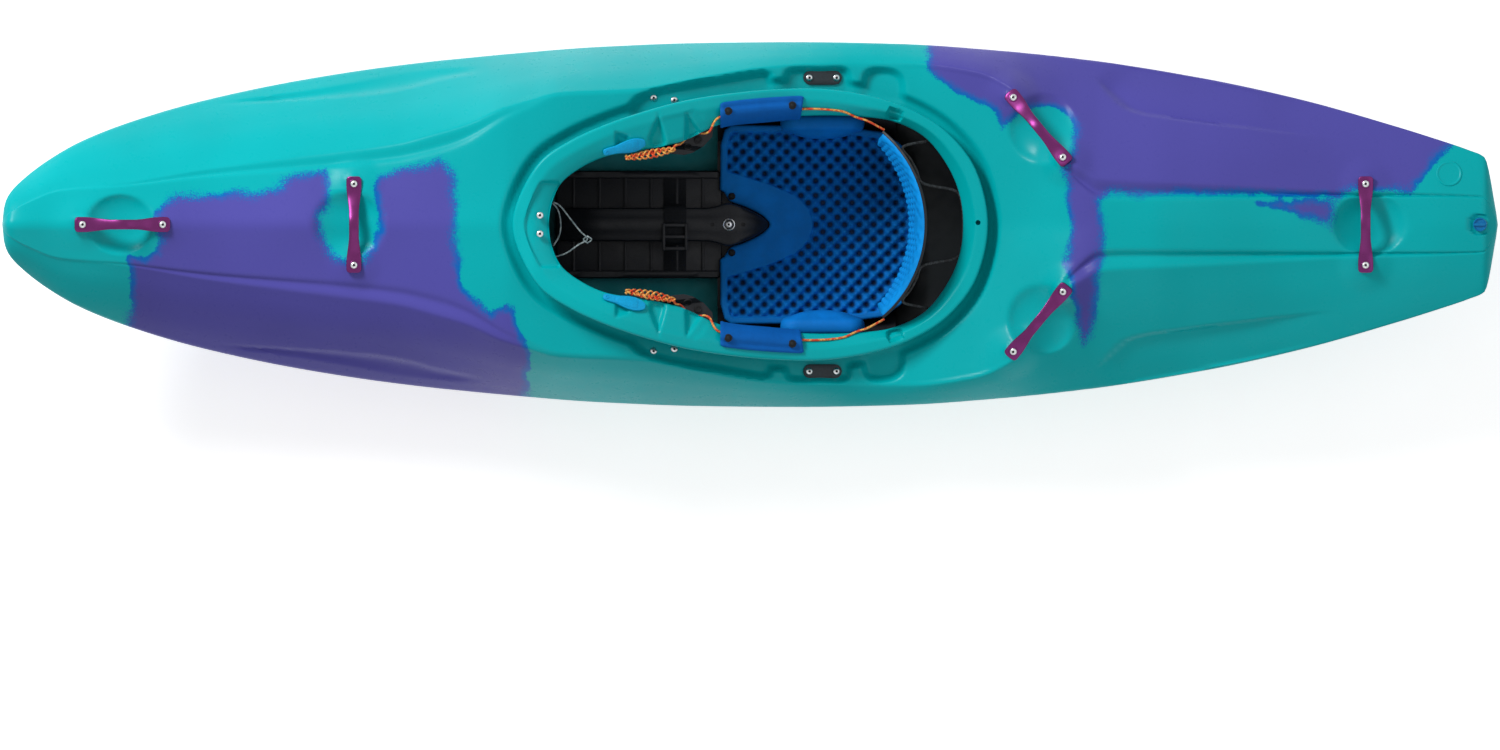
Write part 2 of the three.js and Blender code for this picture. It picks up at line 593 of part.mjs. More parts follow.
function bowlSolid([x, y], radii, grow) {
  const [radiusX, radiusY] = radii.map((share) => share * handle.length);
  const sphere = new THREE.SphereGeometry(1, 16, 12);
  const tall = (radiusX * 1.5);
  const depth = bowl.depth + grow;
  const widen = Math.sqrt(1 / (1 - ((tall - bowl.depth) / tall) ** 2));
  sphere.scale((radiusX + grow) * widen, (radiusY + grow) * widen, tall);
  sphere.translate(x, y, deckHeight(x, y) + tall - depth);
  return fromGeometry(sphere);
}

// Local frames

/** A frame whose x runs from the first point to the second, with z up and its origin midway. */
function frameBetween(first, second) {
  const forward = second.clone().sub(first).normalize();
  const sideways = new THREE.Vector3(-forward.y, forward.x, 0).normalize();
  const upward = forward.clone().cross(sideways);
  const middle = first.clone().add(second).multiplyScalar(0.5);
  return new THREE.Matrix4().makeBasis(forward, sideways, upward).setPosition(middle);
}

/** A frame with its z along a direction. */
function frameAlong(origin, direction) {
  const turn = new THREE.Quaternion().setFromUnitVectors(new THREE.Vector3(0, 0, 1), direction.clone().normalize());
  return new THREE.Matrix4().makeRotationFromQuaternion(turn).setPosition(origin);
}

const shift = (x, y, z) => new THREE.Matrix4().makeTranslation(x, y, z);
const onDeck = ([x, y], lift) => new THREE.Vector3(x, y, deckHeight(x, y) + lift);

// Screws

/** A button-head screw, its head's underside at the frame's origin. */
function screwSolid(frame, shankLength = screw.shankLength) {
  const { headRadius, headHeight, shankRadius } = screw;
  return turned([
    [0, -shankLength],
    [shankRadius, -shankLength],
    [shankRadius, 0],
    [headRadius, 0],
    [headRadius * 0.8, headHeight],
    [0, headHeight],
  ], 8, frame);
}

/** The six-sided clearance hole that a screw goes through. */
function holeSolid(frame, depth = screw.shankLength, above = screw.headHeight) {
  const radius = screw.shankRadius + screw.clearance;
  const bottom = -depth - fit.gap;
  return turned([[0, bottom], [radius, bottom], [radius, above], [0, above]], 6, frame);
}

/** The shell with a flat spot for a screw's head: filled up to the head and cut clear above it. */
function screwSeat(shell, frame) {
  const radius = screw.headRadius + fit.gap * 4;
  const [low, high] = [-hull.wall - fit.gap, -fit.gap];
  const pad = turned([[0, low], [radius, low], [radius, high], [0, high]], 8, frame);
  const room = screw.headHeight * 2;
  return shell.add(pad).subtract(turned([[0, high], [radius, high], [radius, room], [0, room]], 8, frame));
}

// Grab handles

/** A handle's frame, on the deck under the middles of its two feet. */
function handleFrame({ at, turn, lift }, side = 1) {
  const angle = THREE.MathUtils.degToRad(turn);
  const [forward, sideways] = [holeReach * Math.cos(angle), holeReach * Math.sin(angle)];
  const foot = (end) => onDeck([at[0] + end * forward, side * (at[1] + end * sideways)], lift);
  return frameBetween(foot(-1), foot(1));
}

function handleFrames() {
  return {
    bow: handleFrame(place.bowHandle),
    front: handleFrame(place.frontHandle),
    rear_starboard: handleFrame(place.rearHandle),
    rear_port: handleFrame(place.rearHandle, -1),
    stern: handleFrame(place.sternHandle),
  };
}

const frames = handleFrames();

/** The side view of a handle: two flat feet and an arch of even thickness. */
function handleSide() {
  const half = handle.length / 2;
  const archHalf = half - handle.footLength;
  const steps = 8;
  const arch = Array.from({ length: steps + 1 }, (_, i) => {
    const t = (i / steps) * 2 - 1;
    return [t * archHalf, handle.rise * (Math.cos(t * Math.PI) + 1) / 2];
  });
  const top = arch.map(([x, z]) => [x, z + handle.thickness]).reverse();
  return [[-half, 0], ...arch, [half, 0], [half, handle.thickness * 0.7], ...top, [-half, handle.thickness * 0.7]];
}

/** The plan of a handle: round ends and a narrow waist. */
function handlePlan() {
  const [half, end, waist] = [handle.length / 2, handle.width / 2, handle.waist / 2];
  const round = Array.from({ length: 7 }, (_, i) => {
    const angle = -Math.PI / 2 + (i / 6) * Math.PI;
    return [half - end + end * Math.cos(angle), end * Math.sin(angle)];
  });
  const left = round.map(([x, y]) => [-x, -y]);
  return [...round, [half * 0.3, waist], [-half * 0.3, waist], ...left, [-half * 0.3, -waist], [half * 0.3, -waist]];
}

function handleSolid(frame) {
  const upright = new THREE.Matrix4().makeRotationX(Math.PI / 2).setPosition(0, handle.width * 0.6, fit.gap);
  const side = prism(handleSide(), handle.width * 1.2, upright);
  const plan = prism(handlePlan(), fit.overrun);
  let solid = side.intersect(plan);
  for (const end of [-1, 1]) {
    solid = solid.subtract(holeSolid(shift(end * holeReach, 0, handle.thickness), fit.overrun));
  }
  return moved(solid, frame);
}

/** The two screw frames of a handle, at the top of its feet. */
function handleScrewFrames(frame) {
  const height = handle.thickness + fit.gap * 2;
  return [-1, 1].map((end) => frame.clone().multiply(shift(end * holeReach, 0, height)));
}

/** A moulded boss under each foot of a handle, with a flat top for the foot. */
function handleBosses(frame) {
  return [-1, 1].map((end) => {
    const foot = frame.clone().multiply(shift(end * holeReach, 0, 0));
    const radius = handle.width * 0.54;
    const depth = hull.wall * 3;
    return turned([[0, -depth], [radius, -depth], [radius, 0], [0, 0]], 8, foot);
  });
}

// Fittings on the deck

const plateFrames = [1, -1].map((side) => {
  const spot = (x) => new THREE.Vector3(x, side * place.sidePlate.y, pocketFloor(x));
  const half = plate.holeSpacing / 2;
  return frameBetween(spot(place.sidePlate.x - half), spot(place.sidePlate.x + half));
});

/** An outline with round ends, grown by a margin. */
function roundEnded(length, width, margin = 0) {
  const [half, end] = [length / 2 - width / 2, width / 2 + margin];
  const round = Array.from({ length: 7 }, (_, i) => {
    const angle = -Math.PI / 2 + (i / 6) * Math.PI;
    return [half + end * Math.cos(angle), end * Math.sin(angle)];
  });
  return [...round, ...round.map(([x, y]) => [-x, -y])];
}

function plateSolid(frame) {
  let solid = prism(roundEnded(plate.length, plate.width), plate.thickness, shift(0, 0, fit.gap));
  for (const end of [-1, 1]) {
    const hole = shift(end * plate.holeSpacing / 2, 0, plate.thickness);
    solid = solid.subtract(holeSolid(hole, plate.thickness * 2));
  }
  return moved(solid, frame);
}

const plateScrewFrames = plateFrames.map((frame) => [-1, 1].map((end) => (
  frame.clone().multiply(shift(end * plate.holeSpacing / 2, 0, plate.thickness + fit.gap * 2))
)));

const thighScrewFrames = [1, -1].map((side) => {
  const { front, rear, frontY, rearY } = place.thighScrews;
  const spot = (x, y) => new THREE.Vector3(x, side * y, pocketFloor(x));
  const frame = frameBetween(spot(front, frontY), spot(rear, rearY));
  const half = (rear - front) / 2;
  return [-1, 1].map((end) => frame.clone().multiply(shift(end * half, 0, fit.gap)));
});

const rimScrewFrames = [1, -1].map((side) => {
  const { x, y } = place.rimScrews;
  const top = rimTopAt(shareOfX(x)) * hull.height;
  return shift(x, side * y, top - rim.stepDrop + fit.gap);
});

const railBoltFrames = [1, -1].map((side) => ['front', 'rear'].map((end) => {
  const x = place.railBolts[end];
  const section = halfSection(shareOfX(x)).slice(deckKnotCount - 1);
  const i = Math.max(section.findIndex(([, z]) => z <= place.railBolts.z), 1);
  const [above, below] = [section[i - 1], section[i]];
  const y = THREE.MathUtils.mapLinear(place.railBolts.z, above[1], below[1], above[0], below[0]);
  const normal = new THREE.Vector3(0, side * (above[1] - below[1]), below[0] - above[0]);
  return frameAlong(new THREE.Vector3(x, side * (y + fit.gap), place.railBolts.z), normal);
}));

const plugFrame = (lift) => shift(...place.plug, deckHeight(...place.plug) - plug.recessDepth + lift);

function plugRecess(grow) {
  const [radius, bottom] = [plug.recessRadius + grow, -grow];
  const section = [[0, bottom], [radius * 0.8, bottom], [radius, fit.overrun], [0, fit.overrun]];
  return turned(section, 20, plugFrame(0));
}

// Shell

/** A solid with the deck's hollows pressed into it, each grown by a distance. */
function pressed(solid, grow) {
  const { bowHandle, frontHandle, rearHandle, sternHandle } = place;
  let result = solid.subtract(moatSolid(grow)).subtract(plugRecess(grow));
  for (const { bowl: spot, radii } of [bowHandle, frontHandle, rearHandle, sternHandle]) {
    result = result.subtract(bowlSolid(spot, radii, grow));
  }
  result = result.subtract(mirrored(bowlSolid(rearHandle.bowl, rearHandle.radii, grow)));
  for (const shares of pocketShares) {
    const starboard = pocketSolid(shares, grow);
    result = result.subtract(starboard).subtract(mirrored(starboard));
  }
  return result;
}

/** The room inside the shell, a distance in from its outside. */
const roomInside = (distance) => pressed(cavity(distance), distance);

function shellSolid() {
  const middleTip = (share, height) => new THREE.Vector3(xOfShare(share), 0, height * hull.height);
  const tips = [middleTip(0, bowTipShare), middleTip(1, sternTipShare)];
  const outside = pressed(loft(outerRows, { tips, turnedSplit: onPort }), 0);
  let shell = outside.subtract(roomInside(hull.wall)).subtract(openingSolid()).add(rimSolid());
  for (const frame of Object.values(frames)) {
    for (const boss of handleBosses(frame)) shell = shell.add(boss);
  }
  for (const frame of plateFrames) {
    const outline = roundEnded(plate.length, plate.width, fit.gap * 4);
    shell = shell.add(prism(outline, hull.wall, frame.clone().multiply(shift(0, 0, -hull.wall))));
    shell = shell.subtract(prism(outline, pocket.depth, frame));
  }
  for (const frame of [...thighScrewFrames.flat(), ...railBoltFrames.flat(), ...rimScrewFrames]) {
    shell = screwSeat(shell, frame);
  }
  const holes = [
    ...Object.values(frames).flatMap(handleScrewFrames),
    ...plateScrewFrames.flat(),
    ...thighScrewFrames.flat(),
    ...rimScrewFrames,
    ...railBoltFrames.flat(),
  ];
  for (const frame of holes) shell = shell.subtract(holeSolid(frame));
  const stem = plug.stemRadius + screw.clearance;
  const [low, high] = [-fit.overrun / 2, plug.recessDepth / 4];
  const bore = turned([[0, low], [stem, low], [stem, high], [0, high]], 16, plugFrame(0));
  return shell.subtract(bore);
}

addPart('hull_shell', shellSolid(), colours.shell, { roughness: 0.35 });

for (const [name, frame] of Object.entries(frames)) {
  addPart(`handle_${name}`, handleSolid(frame), colours.handle, { roughness: 0.3, metalness: 0.8 });
  handleScrewFrames(frame).forEach((spot, i) => {
    addPart(`handle_screw_${name}_${i + 1}`, screwSolid(spot), colours.steel, { roughness: 0.3, metalness: 1 });
  });
}

// Drain plug at the stern

function sealSolid() {
  const inner = plug.stemRadius + screw.clearance;
  const outer = inner + seal.width;
  return turned([[inner, 0], [outer, 0], [outer, seal.thickness], [inner, seal.thickness], [inner, 0]], 16,
    plugFrame(fit.gap));
}

function plugSolid() {
  const rib = plug.radius * 0.9;
  return turned([
    [0, -plug.stemLength],
    [plug.stemRadius, -plug.stemLength],
    [plug.stemRadius, 0],
    [plug.radius, 0],
    [plug.radius, plug.headHeight * 0.7],
    [rib, plug.headHeight],
    [0, plug.headHeight],
  ], 16, plugFrame(seal.thickness + fit.gap * 2));
}

addPart('drain_plug_seal', sealSolid(), colours.rubber, { roughness: 0.8 });
addPart('drain_plug', plugSolid(), colours.plug, { roughness: 0.4 });

// Seat

/** An outline across the boat, drawn as y, z pairs, that runs from one place along it to another. */
function extrusionAlongX(points, front, rear) {
  const turn = new THREE.Matrix4().set(0, 0, 1, front, 1, 0, 0, 0, 0, 1, 0, 0, 0, 0, 0, 1);
  return prism(points, rear - front, turn);
}

/** The port image of a starboard run of y, z pairs, without those on the boat's middle line. */
const portOf = (run) => run.filter(([y]) => y > 0).reverse().map(([y, z]) => [-y, z]);

const seatRear = seat.front + seat.length;
const panTop = seat.floorZ + seat.thickness + fit.gap;
const inner = roomInside(hull.wall + fit.gap);

/** The seat's tray: a floor, raised flanks, and wings that reach the deck under the side plates. */
function seatPanSolid() {
  const { floorHalf, wingHalf, floorZ, thickness, flankRise, wingTop } = seat;
  const lean = wingHalf + thickness * 1.4;
  const under = [[0, floorZ], [floorHalf, floorZ], [wingHalf, floorZ + flankRise], [lean, wingTop]];
  const over = [
    [lean - thickness, wingTop],
    [wingHalf - thickness, floorZ + flankRise + thickness * 0.4],
    [floorHalf - thickness * 0.3, floorZ + thickness],
    [0, floorZ + thickness],
  ];
  const outline = [...under, ...over, ...portOf(over), ...portOf(under)];
  let pan = extrusionAlongX(outline, seat.front, seatRear);
  const reach = place.sidePlate.x;
  for (const side of [1, -1]) {
    const [near, far] = [side * (lean - thickness), side * (place.sidePlate.y + plate.width / 2)];
    const low = [reach - plate.length * 0.6, Math.min(near, far), wingTop - thickness];
    const high = [reach + plate.length * 0.6, Math.max(near, far), hull.height];
    const tower = box(low, high).intersect(inner);
    pan = pan.add(tower);
  }
  for (const frame of plateFrames) {
    const under = frame.clone().multiply(shift(0, 0, -hull.wall - fit.gap));
    pan = pan.subtract(prism(roundEnded(plate.length, plate.width, fit.gap * 5), pocket.depth, under));
  }
  for (const frame of plateScrewFrames.flat()) pan = pan.subtract(holeSolid(frame));
  return pan;
}

/** The foam seat pad: crowned, with rounded sides, and cut away in a V round the beam's tip. */
function seatPadSolid() {
  const { half, thickness, flankRise, front, rear } = cushion;
  const floor = panTop;
  const rise = (seat.flankRise / (seat.wingHalf - seat.floorHalf)) * (half - seat.floorHalf);
  const bottom = [[0, floor], [seat.floorHalf - seat.thickness, floor], [half, floor + rise + seat.thickness]];
  const top = [
    [half + thickness * 0.1, floor + rise + thickness * 0.6],
    [half - thickness * 0.15, floor + flankRise],
    [half - thickness * 0.8, floor + flankRise * 0.95],
    [half * 0.62, floor + thickness * 1.25],
    [half * 0.3, floor + thickness * 1.05],
    [0, floor + thickness],
  ];
  const body = extrusionAlongX([...bottom, ...top, ...portOf(top), ...portOf(bottom)], front, rear);
  const wide = half + thickness;
  const long = rear - front;
  const plan = [
    [beam.tip, 0], ...notchPlaces(0).reverse(), [front, half * 0.36], [front, half * 0.82],
    [front + thickness, half], [front + long * 0.15, wide], [front + long * 0.7, wide],
    [rear - thickness * 1.5, half * 0.86], [rear, half * 0.6],
  ];
  const outline = [...plan, ...plan.slice(1).reverse().map(([x, y]) => [x, -y])];
  let pad = body.intersect(prism(outline, hull.height));
  for (const frame of padScrewFrames) pad = pad.subtract(holeSolid(frame, cushion.thickness * 2));
  return pad;
}

const padScrewFrames = [1, -1].map((side) => (
  shift(place.padScrews.x, side * place.padScrews.y, panTop + cushion.thickness * 1.12 + fit.gap)
));

/** Places along the notch's starboard side from its mouth, each drawn in by some play. */
function notchPlaces(play) {
  return notchShares.map(([x, y]) => [along(x), across(y) - play]);
}

/**
 * The black tray in front of the seat, on two runners along the hull's floor, with the spine
 * that runs back over the seat between the paddler's legs.
 */
function beamSolid() {
  const { front, rear, half, thickness, spineHalf, spineHeight, tip, runner, play, level } = beam;
  const tray = box([front, -half, panTop], [rear, half, panTop + thickness]);
  const plan = [[front, spineHalf], [rear - thickness, spineHalf], ...notchPlaces(play).slice(1), [tip - play, 0]];
  const spinePlan = prism([...plan, ...plan.slice(0, -1).reverse().map(([x, y]) => [x, -y])], hull.height);
  const top = panTop + spineHeight;
  const side = [
    [front, 0], [rear, 0], [rear, panTop], [tip, panTop], [tip, panTop + thickness * 2],
    [tip - thickness, top - spineHeight * 0.3], [level, top], [front + spineHeight, top],
    [front, top - spineHeight / 3],
  ];
  const upright = new THREE.Matrix4().makeRotationX(Math.PI / 2).setPosition(0, half, 0);
  const spine = prism(side, half * 2, upright).intersect(spinePlan);
  const runners = [[half - runner, half], [-half, runner - half]].map(([low, high]) => (
    box([front, low, 0], [rear, high, panTop + thickness])
  ));
  const solid = tray.add(spine).add(runners[0]).add(runners[1]);
  return solid.intersect(inner).subtract(holeSolid(spineScrewFrame));
}

const spineScrewFrame = shift(place.spineScrew, 0, panTop + beam.spineHeight + fit.gap);

/** The webbing strap over the tray and its spine, with its ladder buckle. */
function strapSolid() {
  const { half, thickness, spineHalf, spineHeight } = beam;
  const trayTop = panTop + thickness + fit.gap;
  const spineTop = panTop + spineHeight + fit.gap;
  const wall = spineHalf + fit.gap;
  const web = strap.thickness;
  const outline = [
    [-half, trayTop], [-wall, trayTop], [-wall, spineTop], [wall, spineTop], [wall, trayTop], [half, trayTop],
    [half, trayTop + web], [wall + web, trayTop + web], [wall + web, spineTop + web], [-wall - web, spineTop + web],
    [-wall - web, trayTop + web], [-half, trayTop + web],
  ];
  const { x, y } = place.buckle;
  const band = extrusionAlongX(outline, x - strap.width / 2, x + strap.width / 2);
  const [long, wide] = [strap.buckleLength * 0.6, strap.buckleWidth / 2];
  const top = spineTop + web;
  return band.add(box([x - wide, y - long / 2, top - web / 2], [x + wide, y + long / 2, top + strap.buckleHeight]));
}

/** A foam cushion with a crown and drawn-in sides, its back flat on local z = 0. */
function cushionSolid(length, height, thickness, crown) {
  const corner = height * 0.25;
  const outline = (inset) => [[1, 1], [-1, 1], [-1, -1], [1, -1]].flatMap(([sx, sy], quarter) => (
    [0, 0.5, 1].map((part) => {
      const angle = (quarter + part) * (Math.PI / 2);
      const [cx, cy] = [sx * (length / 2 - corner), sy * (height / 2 - corner)];
      return [cx + (corner - inset) * Math.cos(angle), cy + (corner - inset) * Math.sin(angle)];
    })
  ));
  const level = (inset, z, pull = 1) => outline(inset).map(([x, y]) => new THREE.Vector3(x * pull, y * pull, z));
  const rows = [
    level(thickness * 0.15, 0),
    level(0, thickness * 0.35),
    level(thickness * 0.15, thickness * 0.8),
    level(thickness * 0.3, thickness + crown * 0.4, 0.82),
    level(thickness * 0.3, thickness + crown * 0.9, 0.45),
  ];
  return loft(rows, { tips: [new THREE.Vector3(), new THREE.Vector3(0, 0, thickness + crown)] });
}

/** A hip pad on the inside of the seat's starboard wing. */
function hipPadSolid() {
  const lean = seat.thickness * 1.4;
  const wingHeight = seat.wingTop - seat.floorZ - seat.flankRise;
  const middle = seat.floorZ + seat.flankRise + wingHeight / 2;
  const face = seat.wingHalf - seat.thickness + lean / 2 + fit.gap * 0.2;
  const [out, wing] = [new THREE.Vector3(0, -wingHeight, lean), new THREE.Vector3(0, lean, wingHeight)];
  const basis = new THREE.Matrix4().makeBasis(new THREE.Vector3(-1, 0, 0), wing.normalize(), out.normalize());
  basis.setPosition(place.sidePlate.x + fit.gap, face, middle + hipPad.raise);
  const pad = cushionSolid(hipPad.length, hipPad.height, hipPad.thickness, hipPad.crown);
  return moved(pad, basis);
}

addPart('seat_pan', seatPanSolid(), colours.black, { roughness: 0.5 });
addPart('seat_pad', seatPadSolid(), colours.foam, { roughness: 0.9 });
padScrewFrames.forEach((frame, i) => {
  addPart(`seat_pad_screw_${i + 1}`, screwSolid(frame), colours.steel, { roughness: 0.3, metalness: 1 });
});
addPart('leg_beam', beamSolid(), colours.black, { roughness: 0.5 });
addPart('leg_beam_screw', screwSolid(spineScrewFrame), colours.steel, { roughness: 0.3, metalness: 1 });
addPart('leg_strap', strapSolid(), colours.dark, { roughness: 0.9 });
addPair('hip_pad', hipPadSolid(), colours.foam, { roughness: 0.9 });

// Side plates and deck screws

['starboard', 'port'].forEach((side, i) => {
  addPart(`seat_plate_${side}`, plateSolid(plateFrames[i]), colours.dark, { roughness: 0.5 });
  plateScrewFrames[i].forEach((frame, j) => {
    addPart(`seat_plate_screw_${side}_${j + 1}`, screwSolid(frame), colours.steel, { roughness: 0.3, metalness: 1 });
  });
  thighScrewFrames[i].forEach((frame, j) => {
    addPart(`thigh_screw_${side}_${j + 1}`, screwSolid(frame), colours.steel, { roughness: 0.3, metalness: 1 });
  });
  addPart(`rim_screw_${side}`, screwSolid(rimScrewFrames[i]), colours.steel, { roughness: 0.3, metalness: 1 });
});

// Thigh braces

/** A bracket under the deck pocket that ends in a hooked pad under the rim. */
function braceSolid() {
  const { front, rear, frontY, rearY } = place.thighScrews;
  const spot = (x, y) => new THREE.Vector3(x, y, pocketFloor(x) + fit.gap);
  const frame = frameBetween(spot(front, frontY), spot(rear, rearY));
  const top = -hull.wall - fit.gap * 3;
  const bottom = top - brace.thickness;
  const outside = plate.width / 2;
  const tip = outside - brace.reach;
  const pad = bottom - brace.padDrop;
  const outline = [
    [outside, top], [outside, bottom], [tip + brace.padWidth, bottom], [tip + brace.padWidth * 0.6, pad],
    [tip, pad * 0.9], [tip, top + brace.thickness], [tip + brace.thickness, top + brace.thickness],
    [tip + brace.thickness * 2, top],
  ];
  const half = brace.length / 2;
  const body = moved(extrusionAlongX(outline, brace.aft - half, brace.aft + half), frame);
  const crescent = prism(bracePlanShares.map(([x, y]) => [along(x), across(y)]), hull.height);
  let result = body.intersect(crescent).intersect(roomInside(hull.wall + brace.clearance));
  const width = (screw.shankRadius + screw.clearance) * 2;
  const slot = prism(roundEnded(width + brace.travel * 2, width), fit.overrun * 2, shift(0, 0, -fit.overrun));
  for (const screwFrame of thighScrewFrames[0]) result = result.subtract(moved(slot, screwFrame));
  return result;
}

addPair('thigh_brace', braceSolid(), colours.black, { roughness: 0.8 });

// Footrest

/** A starboard rail on the inside of the hull, drilled for its two bolts. */
function railSolid() {
  const { railSide, railLength, railHeight } = footrest;
  const { front, rear, z } = place.railBolts;
  const middle = (front + rear) / 2;
  const low = [middle - railLength / 2, railSide, z - railHeight / 2];
  const high = [middle + railLength / 2, hull.halfBeam, z + railHeight / 2];
  let rail = box(low, high).intersect(inner);
  const [radius, under] = [screw.headRadius + fit.gap * 5, -hull.wall - fit.gap * 2];
  for (const frame of railBoltFrames[0]) {
    const seatRoom = turned([[0, under], [radius, under], [radius, 0], [0, 0]], 8, frame);
    rail = rail.subtract(holeSolid(frame, fit.overrun)).subtract(seatRoom);
  }
  return rail;
}

/** The footrest's shape across the boat, with an ear that runs along each rail. */
function footrestOutline(inset) {
  const { halfWidth, low, high, railSide, railHeight } = footrest;
  const { z } = place.railBolts;
  const ear = railHeight * 0.36;
  const tip = railSide - fit.gap * 2;
  const ears = inset > 0 ? [] : [[tip, z - ear], [tip, z + ear]];
  const run = [
    [0, low], [halfWidth * 0.55, low], [halfWidth * 0.93, z - ear * 2], ...ears,
    [halfWidth, z + ear * 2.5], [halfWidth * 0.97, low + (high - low) * 0.66], [halfWidth * 0.6, high], [0, high],
  ].map(([y, height]) => [y > railSide - ear ? y : y * (1 - inset / halfWidth), height]);
  return [...run, ...run.slice(1, -1).reverse().map(([y, height]) => [-y, height])];
}

const footrestFace = footrest.x + footrest.thickness + fit.gap;

addPart('footrest_plate', extrusionAlongX(footrestOutline(0), footrest.x, footrest.x + footrest.thickness),
  colours.grey, { roughness: 0.5, metalness: 0.6 });
const foamOutline = footrestOutline(footrest.thickness);
addPart('footrest_foam', extrusionAlongX(foamOutline, footrestFace, footrestFace + footrest.foam),
  colours.dark, { roughness: 0.95 });
addPair('footrest_rail', railSolid(), colours.black, { roughness: 0.6 });
['starboard', 'port'].forEach((side, i) => {
  railBoltFrames[i].forEach((frame, j) => {
    addPart(`rail_bolt_${side}_${j + 1}`, screwSolid(frame), colours.steel, { roughness: 0.3, metalness: 1 });
  });
});

// Foam pillars that hold the deck up off the hull

/** An upright foam pillar along the middle of the boat, from the hull's floor to the deck. */
function pillarSolid(front, rear) {
  const half = pillar.width / 2;
  return box([front, -half, 0], [rear, half, hull.height]).intersect(roomInside(hull.wall + pillar.clearance));
}

addPart('bow_pillar', pillarSolid(...pillar.bow), colours.dark, { roughness: 0.95 });
addPart('stern_pillar', pillarSolid(...pillar.stern), colours.dark, { roughness: 0.95 });

// Backband

/** A band round part of a circle, standing up, from rows of radius and height across its thickness. */
function bandSolid(section) {
  const steps = 12;
  const rows = Array.from({ length: steps + 1 }, (_, i) => {
    const angle = THREE.MathUtils.degToRad(backband.halfAngle) * ((i / steps) * 2 - 1);
    const side = Math.abs((i / steps) * 2 - 1);
    const fall = side ** 2.4;
    const low = THREE.MathUtils.lerp(backband.bottom, backband.endBottom, fall);
    const high = THREE.MathUtils.lerp(backband.top, backband.endTop, fall);
    return section(fall).map(([radius, share]) => new THREE.Vector3(
      backband.centreX + radius * Math.cos(angle),
      radius * Math.sin(angle),
      THREE.MathUtils.lerp(low, high, share),
    ));
  });
  return loft(rows);
}

function backbandShellSolid() {
  const [near, far] = [backband.radius, backband.radius + backband.shell];
  return bandSolid(() => [[near, 0], [far, 0.02], [far, 0.98], [near, 1]]);
}

/** The band's foam, thickest at the middle of its height and thinner at its ends. */
function backbandPadSolid() {
  const back = backband.radius - backband.gap;
  return bandSolid((fall) => {
    const thick = backband.pad * (1 - 0.4 * fall);
    return [
      [back, 0.03], [back, 0.97], [back - thick * 0.6, 0.99], [back - thick * 0.9, 0.86], [back - thick, 0.5],
      [back - thick * 0.85, 0.14], [back - thick * 0.5, 0.01],
    ];
  });
}

addPart('backband_shell', backbandShellSolid(), colours.black, { roughness: 0.6 });
addPart('backband_pad', backbandPadSolid(), colours.foam, { roughness: 0.9 });

// Hip covers, pull tabs and cords, all laid on the rim

/** Height of the rim's top skin below its top line, at an inset in from the outer edge. */
function rimFall(station, inset) {
  const profile = rimTopProfile(station);
  const i = Math.min(Math.max(profile.findIndex(([reach]) => reach >= inset), 1), profile.length - 1);
  const [before, after] = [profile[i - 1], profile[i]];
  return THREE.MathUtils.mapLinear(inset, before[0], after[0], before[1], after[1]);
}

/** A point on the starboard rim: beside a place along the boat, at a share of its width, and lifted off it. */
function onRim(x, widthShare, lift) {
  return besideRim(x, (station) => {
    const inset = rimWidth(station) * widthShare;
    return rimPoint(station, inset, rimFall(station, inset) + lift);
  });
}

/** A point in the opening, a distance in from the rim's opening edge and below it. */
function offRim(x, out, drop) {
  return besideRim(x, (station) => rimPoint(station, rimWidth(station) + out, -rim.throatDrop - drop));
}

/** A sleeve over the rim beside the hips, with a tunnel for the backband's cord. */
function hipCoverSolid() {
  const high = cover.tunnel + cover.thickness;
  const between = rimRing.map(({ inner: edge }) => edge)
    .filter((edge) => edge.y > 0 && edge.x > cover.front + cover.gap && edge.x < cover.rear - cover.gap);
  const rows = [cover.front, ...between.map((edge) => edge.x), cover.rear].map((x) => [
    onRim(x, 0.28, cover.gap),
    onRim(x, 0.43, cover.gap),
    onRim(x, 0.57, cover.gap),
    onRim(x, 0.62, cover.tunnel),
    onRim(x, 0.92, cover.tunnel),
    offRim(x, cover.gap * 2, 0),
    offRim(x, cover.gap * 2, rim.neckWall * 2),
    offRim(x, cover.gap * 2 + cover.thickness, rim.neckWall * 2),
    offRim(x, cover.gap * 3 + cover.thickness, 0),
    onRim(x, 0.95, high),
    onRim(x, 0.6, high),
    onRim(x, 0.46, cover.gap + cover.thickness),
    onRim(x, 0.28, cover.gap + cover.thickness),
  ]);
  return loft(rows);
}

addPair('hip_cover', hipCoverSolid(), colours.foam, { roughness: 0.9 });

/** A tapered pull tab, lying on the rim's inner slope. */
function tabSolid() {
  const [tip, tail] = [onRim(tab.front, 0.78, fit.gap), onRim(tab.rear, 0.6, fit.gap)];
  const beside = onRim((tab.front + tab.rear) / 2, 0.4, fit.gap);
  const forward = tail.clone().sub(tip).normalize();
  const upward = forward.clone().cross(beside.sub(tip)).normalize();
  const frame = new THREE.Matrix4().makeBasis(forward, upward.clone().cross(forward), upward);
  frame.setPosition(tip.clone().addScaledVector(upward, tab.lift));
  const [wide, narrow] = [tab.wide / 2, tab.narrow / 2];
  const { length } = tab;
  const outline = [
    [0, -narrow * 0.5], [length * 0.06, -narrow], [length * 0.75, -wide], [length * 0.94, -wide], [length, -wide * 0.5],
    [length, wide * 0.5], [length * 0.94, wide], [length * 0.75, wide], [length * 0.06, narrow], [0, narrow * 0.5],
  ];
  return prism(outline, tab.thickness, frame);
}

addPair('pull_tab', tabSolid(), colours.tab, { roughness: 0.5 });

